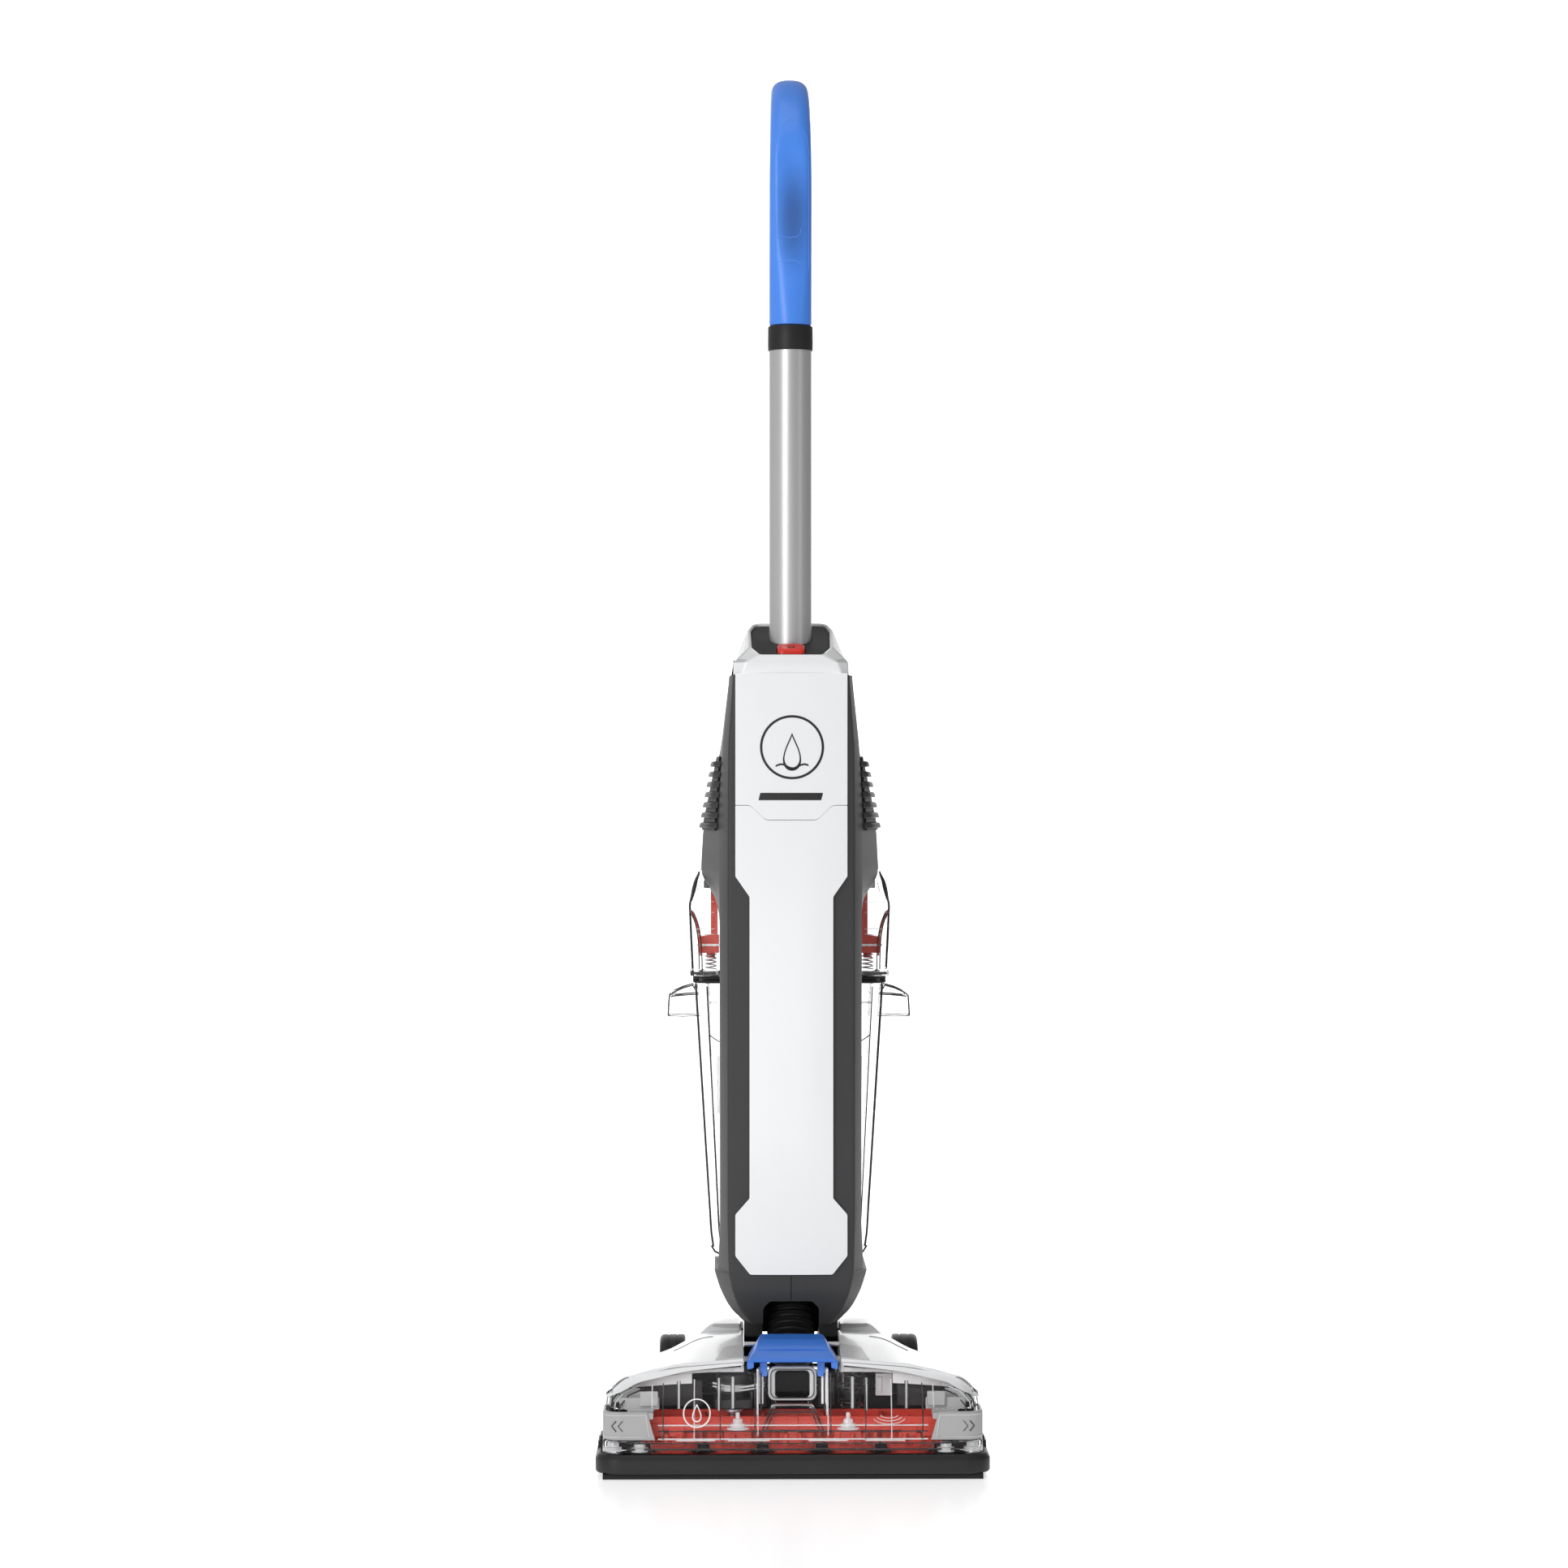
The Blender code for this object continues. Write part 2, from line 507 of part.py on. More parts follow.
block = add("brush_block", box(-0.1180, 0.1180, -0.1160, -0.0740, 0.0345, 0.0385), "red_plastic", "brush_block")
for k, (y0, y1) in enumerate(((-0.1160, -0.1120), (-0.0780, -0.0740))):
    boolean(block, helper(f"rail_{k}", box(-0.1180, 0.1180, y0, y1, 0.0380, 0.0450)), "UNION")
for i, x in enumerate(BRUSH_X):
    if i != 1:
        boolean(block, helper(f"stud_{i}", cyl((x, BRUSH_Y), 0.0038, 0.0200, 0.0420, "Z", 10)), "UNION")
boolean(block, helper("coupler_hole", cyl((BRUSH_X[1], BRUSH_Y), 0.0086, 0.0300, 0.0500, "Z", 16)))


def gear_profile(teeth, pitch_r, phase):
    """Involute spur profile, three points a flank, with backlash."""
    m = 2 * pitch_r / teeth
    ra, rf, rb = pitch_r + 0.72 * m, pitch_r - 0.98 * m, pitch_r * math.cos(math.radians(20))
    inv = lambda r: math.tan(math.acos(min(1, rb / r))) - math.acos(min(1, rb / r))
    half = 0.205 * 2 * math.pi / teeth
    pts = []
    for k in range(teeth):
        c = phase + 2 * math.pi * k / teeth
        radii = [max(rb, rf) + (ra - max(rb, rf)) * q for q in (0.0, 1.0)]
        lo = [(r, c - (half + inv(pitch_r) - inv(r))) for r in radii]
        hi = [(r, c + (half + inv(pitch_r) - inv(r))) for r in reversed(radii)]
        root = [(rf, c - half * 1.62)], [(rf, c + half * 1.62)]
        pts += root[0] + lo + hi + root[1]
    return [(r * math.cos(a), r * math.sin(a)) for r, a in pts]


for i, x in enumerate(BRUSH_X):
    phase = 0.0 if i % 2 == 0 else math.pi / BRUSH_TEETH
    prof = gear_profile(BRUSH_TEETH, BRUSH_PITCH / 2, phase)
    b = add(f"brush_{i+1}", loft([[(x + u, BRUSH_Y + v, z) for u, v in prof] for z in (0.0235, 0.0325)]), "red_plastic", f"brush_{i+1}")
    # cup and bristle crown below the teeth
    boolean(b, helper(f"cup_{i}", loft([[(x + r * math.cos(a), BRUSH_Y + r * math.sin(a), z) for a in [2 * math.pi * k / 16 for k in range(16)]]
                                        for r, z in ((0.0180, 0.0175), (0.0190, 0.0250))])), "UNION")
    boolean(b, helper(f"bristle_{i}", turned([(0.0105, 0.0010), (0.0195, 0.0008), (0.0172, 0.0185), (0.0110, 0.0185)], (x, BRUSH_Y), "Z", 16)), "UNION")
    boolean(b, helper(f"hub_{i}", cyl((x, BRUSH_Y), 0.0044, 0.0150, 0.0400, "Z", 12)))

# ---- elbow from the chassis wall up to the hose
HOSE_DIR = Vector((0, 0.0320, 0.0540)).normalized()
HOSE_0 = Vector((0, -0.0280, 0.0860))


def oval_ring(c, d, a, b, n=16, e=2.0):
    nrm = Vector((0, d.z, -d.y))
    out = []
    for k in range(n):
        an = 2 * math.pi * (k + 0.5) / n
        ca, sa = math.cos(an), math.sin(an)
        out.append(c + Vector((a * math.copysign(abs(ca) ** (2 / e), ca), 0, 0)) + nrm * (b * math.copysign(abs(sa) ** (2 / e), sa)))
    return out


def elbow(w):
    y = Vector((0, 1, 0))
    return [oval_ring(Vector((0, -0.0570, 0.0655)), y, 0.0175 - w, 0.0135 - w, e=4),
            oval_ring(Vector((0, -0.0480, 0.0660)), y, 0.0175 - w, 0.0138 - w, e=3.5),
            oval_ring(Vector((0, -0.0380, 0.0700)), Vector((0, 0.87, 0.5)), 0.0175 - w, 0.0150 - w, e=2.6),
            oval_ring(HOSE_0 - HOSE_DIR * 0.0006, HOSE_DIR, 0.0165 - w, 0.0165 - w)]


add("base_duct", shell(elbow(0), elbow(0.0022), True, True), "dark_grey_plastic", "base")

# ---- nozzle latch: a faceted slider over the nozzle's rear edge, with two hook legs behind it
def latch_ring(y, z_lo, z_hi, hx_lo, hx_hi):
    return [(-hx_lo, y, z_lo), (hx_lo, y, z_lo), (hx_hi, y, z_hi), (-hx_hi, y, z_hi)]


latch_bm = loft([
    latch_ring(-0.0625, 0.0930, 0.1020, 0.0300, 0.0240),
    latch_ring(-0.0800, 0.0880, 0.1000, 0.0345, 0.0262),
    latch_ring(-0.0960, 0.0862, 0.0945, 0.0354, 0.0290),
    latch_ring(-0.1050, 0.0860, 0.0900, 0.0352, 0.0325),
    latch_ring(-0.1085, 0.0858, 0.0880, 0.0350, 0.0338)])
latch = add("nozzle_latch", latch_bm, "blue_plastic", "latch")
for s, side in ((-1, "l"), (1, "r")):
    xs = sorted((s * 0.0195, s * 0.0252))
    boolean(latch, helper("leg_" + side, box(*xs, -0.0998, -0.0965, 0.0735, 0.0880)), "UNION")
boolean(latch, helper("latch_slot", box(-0.05, 0.05, LATCH_Y - 0.0076, LATCH_Y + 0.0024, LATCH_Z - 0.0024, LATCH_Z + 0.0024)))
add("latch_pin", cyl((LATCH_Y, LATCH_Z), 0.0020, -0.0374, 0.0374, "X", 10), "steel", "base")

# ================================================================ BODY
# housing levels: z, (x1, front y), (x2, y2), (x3, y3), rear y
HOUSING = [
    (0.1060, 0.0300, -0.0340, 0.0360, -0.0180, 0.0360, 0.0200, 0.0300),
    (0.1200, 0.0410, -0.0400, 0.0500, -0.0180, 0.0500, 0.0280, 0.0430),
    (0.1470, 0.0490, -0.0465, 0.0610, -0.0150, 0.0610, 0.0500, 0.0780),
    (0.1480, 0.0490, -0.0465, 0.0580, -0.0150, 0.0570, 0.0300, 0.0365),
    (0.1870, 0.0500, -0.0465, 0.0560, -0.0250, 0.0565, 0.0300, 0.0365),
    (0.4270, 0.0500, -0.0465, 0.0565, -0.0250, 0.0568, 0.0300, 0.0365),
    (0.4430, 0.0500, -0.0465, 0.0568, -0.0240, 0.0600, 0.0320, 0.0365),
    (0.4600, 0.0500, -0.0465, 0.0570, -0.0220, 0.0720, 0.0340, 0.0365),
    (0.4990, 0.0500, -0.0465, 0.0570, -0.0200, 0.0700, 0.0340, 0.0365),
    (0.5150, 0.0499, -0.0465, 0.0564, -0.0208, 0.0668, 0.0340, 0.0365),
    (0.5320, 0.0498, -0.0465, 0.0557, -0.0216, 0.0630, 0.0340, 0.0365),
    (0.5480, 0.0496, -0.0465, 0.0551, -0.0228, 0.0592, 0.0340, 0.0365),
    (0.5640, 0.0495, -0.0465, 0.0545, -0.0240, 0.0556, 0.0340, 0.0365),
    (0.6200, 0.0455, -0.0465, 0.0485, -0.0300, 0.0490, 0.0330, 0.0365)]


def housing_ring(row, d, zz=None):
    z, x1, yf, x2, y2, x3, y3, yr = row
    z = z if zz is None else zz
    half = [(x1 - d * 0.7, yf + d), (x2 - d, y2), (x3 - d, y3 - d * 0.3), (x3 - d * 1.2, yr - d)]
    return [(x, y, z) for x, y in half] + [(-x, y, z) for x, y in reversed(half)]


inner = []
for k, row in enumerate(HOUSING):
    if k == 1:
        inner.append(housing_ring(row, 0.0028, 0.1235))
    elif k == 2:
        inner.append(housing_ring(row, 0.0028, 0.1440))
    elif k == 3:
        inner.append(housing_ring(row, 0.0028, 0.1450))
    elif k > 3:
        inner.append(housing_ring(row, 0.0028, 0.6300 if k == len(HOUSING) - 1 else None))

for s, side in ((-1, "left"), (1, "right")):
    h = add("housing_" + side, loft([housing_ring(r, 0) for r in HOUSING]), "dark_grey_plastic", "body")
    # yoke arm down to the recline pin
    xs = sorted((s * 0.0226, s * 0.0370))
    arm = [(-0.0300, 0.1300), (0.0340, 0.1300), (0.0480, 0.1050)]
    for k in range(9):
        a = math.radians(20 - 180 * k / 8)
        arm.append((PIVOT_Y + 0.0165 * math.cos(a), PIVOT_Z + 0.0165 * math.sin(a)))
    arm += [(0.0060, 0.0920), (-0.0180, 0.0930)]
    boolean(h, helper("arm_" + side, prism(arm, *xs, "X")), "UNION")
    boolean(h, helper("hollow_" + side, loft(inner)))
    boolean(h, helper("keep_" + side, box(*sorted((s * 0.0002, -s * 0.2)), -0.2, 0.2, 0.0, 0.8)))
    boolean(h, helper("arm_bore_" + side, cyl((PIVOT_Y, PIVOT_Z), 0.0064, *sorted((s * 0.015, s * 0.05)), "X", 16)))
    # arched mouth for the hose
    mouth = [(-0.0222, 0.0900), (0.0222, 0.0900), (0.0222, 0.1190), (0.0170, 0.1250), (-0.0170, 0.1250), (-0.0222, 0.1190)]
    boolean(h, helper("mouth_" + side, prism(mouth, -0.0600, 0.0290, "Y")))
    boolean(h, helper("hose_way_" + side, box(-0.0205, 0.0205, -0.0200, 0.0290, 0.1150, 0.1450)))
    boolean(h, helper("motor_way_" + side, box(-0.0450, 0.0450, 0.0300, 0.0500, 0.4740, 0.6000)))
    boolean(h, helper("port_" + side, cyl((0.0, 0.4180), 0.0175, 0.0200, 0.0600, "Y", 16)))

# flexible suction hose, corrugated
hose_rings, hose_in = [], []
HOSE_L, RIBS = 0.0600, 9
for k in range(RIBS):
    for f, r in ((0.0, 0.0160), (0.5, 0.0186)):
        c = HOSE_0 + HOSE_DIR * (HOSE_L * (k + f) / RIBS)
        hose_rings.append(oval_ring(c, HOSE_DIR, r, r))
hose_rings.append(oval_ring(HOSE_0 + HOSE_DIR * HOSE_L, HOSE_DIR, 0.0162, 0.0162))
hose_in = [oval_ring(HOSE_0 + HOSE_DIR * t, HOSE_DIR, 0.0147, 0.0147) for t in [HOSE_L * k / (len(hose_rings) - 1) for k in range(len(hose_rings))]]
hb = bmesh.new()
vo = [[hb.verts.new(p) for p in r] for r in hose_rings]
vi = [[hb.verts.new(p) for p in r] for r in (hose_in[0], hose_in[-1])]
for g in (vo, vi):
    for a, b in zip(g, g[1:]):
        for i in range(16):
            hb.faces.new((a[i], a[(i + 1) % 16], b[(i + 1) % 16], b[i]))
for a, b in ((vo[0], vi[0]), (vo[-1], vi[-1])):
    for i in range(16):
        hb.faces.new((a[i], a[(i + 1) % 16], b[(i + 1) % 16], b[i]))
add("suction_hose", hb, "black_rubber", "body")

# riser pipe inside the spine: from the hose up and back to the tank lid
riser_path = smooth_path([(0, 0.0052, 0.1415), (0, 0.0052, 0.1800), (0, 0.0052, 0.3000), (0, 0.0052, 0.3850), (0, 0.0090, 0.4060), (0, 0.0210, 0.4170), (0, 0.0335, 0.4180)], 1)
ro, ri = [], []
for i, p in enumerate(riser_path):
    t = (riser_path[min(i + 1, len(riser_path) - 1)] - riser_path[max(i - 1, 0)]).normalized()
    ro.append(oval_ring(p, t, 0.0148, 0.0148))
    ri.append(oval_ring(p, t, 0.0130, 0.0130))
add("riser_pipe", shell(ro, ri, True, True), "dark_grey_plastic", "body")

# white front covers
upper_outline = [(0.0, 0.5058), (0.0205, 0.5058), (0.0325, 0.5174), (0.0442, 0.5174), (0.0442, 0.6190), (0.0, 0.6190)]
lower_outline = [(0.0, 0.5054), (0.0203, 0.5054), (0.0323, 0.5170), (0.0442, 0.5170), (0.0442, 0.4610), (0.0330, 0.4450), (0.0330, 0.2070),
                 (0.0442, 0.1942), (0.0442, 0.1615), (0.0325, 0.1470), (0.0, 0.1470)]


def mirrored(half):
    return [p for p in half] + [(-x, z) for x, z in reversed(half) if x > 1e-9]


add("front_cover_lower", prism(mirrored(lower_outline), -0.0515, -0.0469, "Y"), "white_gloss", "body")
top_plane = lambda d: (lambda y: TOP_Z + TOP_SLOPE * (y + 0.045) - d)
cap = add("front_cover_upper", prism(mirrored(upper_outline), -0.0515, -0.0469, "Y"), "white_gloss", "body")
shoulder = shell(
    [rrect(0.0462, -0.0515, 0.0370, 0.6204, 0.010), rrect(0.0462, -0.0510, 0.0370, 0.6260, 0.010), rrect(0.0350, -0.0480, 0.0370, top_plane(0), 0.011)],
    [rrect(0.0436, -0.0485, 0.0345, 0.6204, 0.008), rrect(0.0436, -0.0480, 0.0345, 0.6260, 0.008), rrect(0.0322, -0.0452, 0.0345, top_plane(0), 0.009)], True, True)
boolean(cap, helper("shoulder_ring", shoulder), "UNION")
boolean(cap, helper("front_join", box(-0.0420, 0.0420, -0.0513, -0.0488, 0.6150, 0.6240)), "UNION")

# collar with the tube socket and the power button
collar = add("collar", loft([rrect(0.0316, -0.0446, 0.0340, 0.6240, 0.0086), rrect(0.0316, -0.0446, 0.0340, top_plane(0.0010), 0.0086)]), "dark_grey_plastic", "body")
boolean(collar, helper("sleeve", cyl((0, 0), 0.0212, 0.5800, 0.6300, "Z", 20)), "UNION")
boolean(collar, helper("socket", cyl((0, 0), 0.0175, 0.5840, 0.7000, "Z", 28)))
boolean(collar, helper("button_way", box(-0.0116, 0.0116, -0.0414, -0.0224, 0.6000, 0.7000)))
bz = lambda y: TOP_Z + TOP_SLOPE * (y + 0.045)
add("power_button", prism([(-0.0405, 0.6250), (-0.0245, 0.6250), (-0.0245, bz(-0.0245) + 0.0012), (-0.0262, bz(-0.0262) + 0.0024), (-0.0388, bz(-0.0388) + 0.0024), (-0.0405, bz(-0.0405) + 0.0012)], -0.0108, 0.0108, "X"),
    "red_plastic", "power_button")

# ---- motor pod behind the top of the spine, vents, motor, fan, pump
POD = [(0.4660, 0.0720, 0.1060), (0.4990, 0.0700, 0.1030), (0.5640, 0.0556, 0.0840), (0.6000, 0.0515, 0.0680), (0.6340, 0.0450, 0.0560)]
pod = add("motor_cover", loft([rrect(hx, 0.0372, y1, z, 0.012) for z, hx, y1 in POD]), "dark_grey_plastic", "body")
pod_in = [rrect(hx - 0.0026, 0.0300, y1 - 0.0026, z, 0.010) for z, hx, y1 in
          [(0.4690, 0.0720, 0.1060), (0.4990, 0.0700, 0.1030), (0.5640, 0.0556, 0.0840), (0.6000, 0.0515, 0.0680), (0.6310, 0.0450, 0.0560)]]
boolean(pod, helper("pod_hollow", loft(pod_in)))
add("suction_motor", loft([[(r * math.cos(a), MOTOR_Y + r * math.sin(a), z) for a in [2 * math.pi * k / 24 for k in range(24)]]
                           for z, r in ((0.4790, 0.0220), (0.4840, 0.0330), (0.5200, 0.0340), (0.5380, 0.0340), (0.5400, 0.0320))]), "motor_black", "body")
fan = add("suction_fan", cyl((0, MOTOR_Y), 0.0320, 0.5420, 0.5440, "Z", 24), "steel", "fan")
for k in range(4):
    a = math.pi * k / 4
    blade = bmesh.new()
    blade_pts = []
    c, sn = math.cos(a), math.sin(a)
    q = [(-0.031, -0.0008), (0.031, -0.0008), (0.031, 0.0008), (-0.031, 0.0008)]
    loft([[(u * c - v * sn, MOTOR_Y + u * sn + v * c, z) for u, v in q] for z in (0.5435, 0.5520)], True, blade)
    boolean(fan, helper(f"blade_{k}", blade), "UNION")
boolean(fan, helper("fan_hub", cyl((0, MOTOR_Y), 0.0070, 0.5415, 0.5540, "Z", 12)), "UNION")
pump = add("solution_pump", box(0.0230, 0.0480, -0.0150, 0.0150, 0.2000, 0.2400), "motor_black", "body")
boolean(pump, helper("pump_head", cyl((0.0355, 0.0), 0.0110, 0.2390, 0.2560, "Z", 16)), "UNION")

# louvred vents on the flared sides of the housing
def facet(z):
    """Rear and front edge of the flared side facet at height z, right side."""
    for a, b in zip(HOUSING, HOUSING[1:]):
        if a[0] <= z <= b[0]:
            f = (z - a[0]) / (b[0] - a[0])
            g = [p + (q - p) * f for p, q in zip(a, b)]
            return Vector((g[3], g[4], z)), Vector((g[5], g[6], z))


for s, side in ((-1, "left"), (1, "right")):
    prof = [(0.4965, 0.0026), (0.4965, 0.0036)]
    for k in range(7):
        z = 0.4985 + 0.0082 * k
        prof += [(z, 0.0036), (z + 0.0012, 0.0056), (z + 0.0048, 0.0056), (z + 0.0058, 0.0036)]
    prof += [(0.5575, 0.0036), (0.5575, 0.0026)]
    rings = []
    for f in (0.14, 0.97):
        ring = []
        for z, off in prof:
            p, q = facet(z)
            d = (q - p).normalized()
            c = p + (q - p) * f + Vector((d.y, -d.x, 0)) * off
            ring.append((s * c.x, c.y, c.z))
        rings.append(ring)
    add("vent_grille_" + side, loft(rings), "dark_grey_plastic", "body")

# ---- tanks
clean = [rrect(0.0545, 0.0374, 0.0650, 0.1484, 0.008), rrect(0.0580, 0.0374, 0.0650, 0.1700, 0.008), rrect(0.0680, 0.0374, 0.0650, 0.3720, 0.008)]
clean_in = [rrect(0.0523, 0.0396, 0.0628, 0.1506, 0.006), rrect(0.0558, 0.0396, 0.0628, 0.1710, 0.006), rrect(0.0658, 0.0396, 0.0628, 0.3720, 0.006)]
add("clean_tank", shell(clean, clean_in, False, True), "clear_plastic", "tank")
DIRTY = [(0.1484, 0.0585, 0.0940), (0.1560, 0.0640, 0.1000), (0.1950, 0.0665, 0.1180), (0.3720, 0.0775, 0.1300)]
dirty = add("dirty_tank", shell([rrect(hx, 0.0656, y1, z, 0.014) for z, hx, y1 in DIRTY],
                                [rrect(hx - 0.0025, 0.0681, y1 - 0.0025, z + (0.0025 if k == 0 else 0), 0.0115) for k, (z, hx, y1) in enumerate(DIRTY)], False, True),
            "clear_plastic", "tank")
for s, side in ((-1, "l"), (1, "r")):
    # downward-open finger grips
    q = lambda rows: loft([[(s * x, y, z) for x, y in ((x0, y0), (x1, y0), (x1, y1), (x0, y1))] for z, x0, x1, y0, y1 in rows])
    boolean(dirty, helper("ear_" + side, q(((0.3430, 0.0742, 0.0985, 0.0860, 0.1150), (0.3610, 0.0742, 0.0965, 0.0860, 0.1150), (0.3685, 0.0742, 0.0800, 0.0870, 0.1140)))), "UNION")
    boolean(dirty, helper("ear_hollow_" + side, q(((0.3400, 0.0785, 0.0965, 0.0880, 0.1130), (0.3600, 0.0790, 0.0944, 0.0880, 0.1130), (0.3655, 0.0790, 0.0808, 0.0890, 0.1120)))))
boolean(dirty, helper("tank_refill", loft([rrect(hx - 0.0025, 0.0681, y1 - 0.0025, z, 0.0115) for z, hx, y1 in
                                            ((0.3000, 0.0730, 0.1250), (0.3800, 0.0780, 0.1305))])))
seal = add("tank_seal", loft([rrect(0.0785, 0.0374, 0.1310, z, 0.014) for z in (0.3724, 0.3780)]), "black_rubber", "tank")
boolean(seal, helper("seal_hole_a", box(-0.0640, 0.0640, 0.0400, 0.0620, 0.3600, 0.3900)))
boolean(seal, helper("seal_hole_b", loft([rrect(0.0735, 0.0690, 0.1260, z, 0.010) for z in (0.3600, 0.3900)])))
LID = [(0.3784, 0.0795, 0.1320), (0.4360, 0.0822, 0.1330), (0.4560, 0.0775, 0.1240), (0.4650, 0.0732, 0.1100)]
lid = add("tank_lid", loft([rrect(hx, 0.0376, y1, z, 0.014) for z, hx, y1 in LID]), "clear_plastic", "tank")
boolean(lid, helper("lid_hollow", loft([rrect(hx - 0.0026, 0.0402, y1 - 0.0026, z, 0.0115) for z, hx, y1 in
                                        ((0.3814, 0.0795, 0.1320), (0.4360, 0.0822, 0.1330), (0.4550, 0.0775, 0.1240), (0.4622, 0.0738, 0.1120))])))
boolean(lid, helper("lid_floor_hole", box(-0.0300, 0.0300, 0.0480, 0.1180, 0.3700, 0.3900)))
boolean(lid, helper("lid_port", cyl((0.0, 0.4180), 0.0140, 0.0300, 0.0500, "Y", 16)))

# red lid latch: a yoke on two springs
yoke = add("lid_latch", box(-0.0640, 0.0640, 0.0640, 0.0720, 0.4480, 0.4540), "red_plastic", "lid_latch")
for s, side in ((-1, "left"), (1, "right")):
    boolean(yoke, helper("yoke_leg_" + side, box(*sorted((s * 0.0590, s * 0.0640)), 0.0600, 0.0760, 0.4050, 0.4535)), "UNION")
    boolean(yoke, helper("yoke_foot_" + side, box(*sorted((s * 0.0570, s * 0.0745)), 0.0590, 0.0790, 0.3960, 0.4100)), "UNION")
    add("latch_spring_" + side, helix((s * 0.0640, 0.0690), 0.0046, 0.0007, 0.3818, 0.3956, 4), "steel", "tank")

# ---- handle
tube = add("handle_tube", turned([(TUBE_IN_R, TUBE_Z0), (TUBE_R, TUBE_Z0), (TUBE_R, TUBE_Z1), (TUBE_IN_R, TUBE_Z1)], (0, 0), "Z", 28), "silver_tube", "handle")
ring = add("handle_ring", turned([(0.0173, 0.8805), (0.0180, 0.8810), (0.0180, 0.8998), (0.0173, 0.9003)], (0, 0), "Z", 28), "dark_grey_plastic", "handle")
boolean(ring, helper("ring_boss", cyl((0, 0.8900), 0.0080, 0.0176, 0.0270, "Y", 14)), "UNION")
boolean(ring, helper("ring_boss_bore", cyl((0, 0.8900), 0.0040, 0.0210, 0.0300, "Y", 10)))
P1 = smooth_path([(0, 0, 0.9008), (0, -0.0008, 0.9350), (0, -0.0025, 0.9750), (0, -0.0030, 1.0150), (0, 0.0030, 1.0480), (0, 0.0230, 1.0760),
                  (0, 0.0520, 1.0925), (0, 0.0800, 1.0860), (0, 0.0955, 1.0620), (0, 0.0945, 1.0320), (0, 0.0840, 1.0020), (0, 0.0690, 0.9780)], 2)
grip = add("handle_grip", sweep(P1, lambda f: (0.0171 - 0.0010 * math.sin(math.pi * f), 0.0171 - 0.0036 * min(1, f * 5), 2.3)), "blue_plastic", "handle")
P2 = smooth_path([(0, 0.0760, 0.9890), (0, 0.0640, 0.9710), (0, 0.0420, 0.9500), (0, 0.0180, 0.9360), (0, 0.0020, 0.9280)], 2)
boolean(grip, helper("grip_link", sweep(P2, lambda f: (0.0162, 0.0130, 2.3))), "UNION")
boolean(grip, helper("grip_plug", cyl((0, 0), 0.0153, 0.8700, 0.9100, "Z", 20)), "UNION")
boolean(grip, helper("trigger_slot", prism([(0.0700, 1.0700), (0.0960, 1.0700), (0.0945, 1.0340), (0.0860, 1.0020), (0.0600, 1.0020)], -0.0095, 0.0095, "X")))
trig = add("trigger", prism([(0.0820, 1.0665), (0.0900, 1.0665), (0.0900, 1.0590), (0.0830, 1.0330), (0.0750, 1.0080), (0.0690, 1.0085), (0.0730, 1.0330), (0.0785, 1.0560)], -0.0088, 0.0088, "X"),
           "dark_grey_plastic", "trigger")
boolean(trig, helper("trigger_bore", cyl((0.0865, 1.0625), 0.0019, -0.02, 0.02, "X", 10)))
add("trigger_pin", cyl((0.0865, 1.0625), 0.0015, -0.0093, 0.0093, "X", 8), "steel", "handle")

# ---- cord storage: a swivelling upper hook on the ring, a fixed lower hook on the pod, and the cord's inlet gland
hook = add("cord_hook_upper", cyl((0, 0.8900), 0.0036, 0.0214, 0.0460, "Y", 10), "dark_grey_plastic", "cord_hook")
boolean(hook, helper("hook_flange", cyl((0, 0.8900), 0.0078, 0.0276, 0.0310, "Y", 14)), "UNION")
boolean(hook, helper("hook_arm", prism([(-0.0070, 0.8840), (0.0070, 0.8840), (0.0120, 0.9120), (0.0080, 0.9160), (-0.0080, 0.9160), (-0.0120, 0.9120)], 0.0430, 0.0480, "Y")), "UNION")
hook2 = add("cord_hook_lower", cyl((0, 0.6060), 0.0065, 0.0688, 0.0880, "Y", 12), "dark_grey_plastic", "body")
boolean(hook2, helper("hook2_arm", prism([(-0.0080, 0.6110), (0.0080, 0.6110), (0.0125, 0.5840), (0.0080, 0.5800), (-0.0080, 0.5800), (-0.0125, 0.5840)], 0.0860, 0.0910, "Y")), "UNION")
add("cord_gland", loft([[(0.0300 + r * math.cos(a), y, 0.4850 + r * math.sin(a)) for a in [2 * math.pi * k / 12 for k in range(12)]]
                        for y, r in ((0.1068, 0.0085), (0.1100, 0.0085), (0.1110, 0.0055), (0.1240, 0.0045))]), "black_rubber", "body")
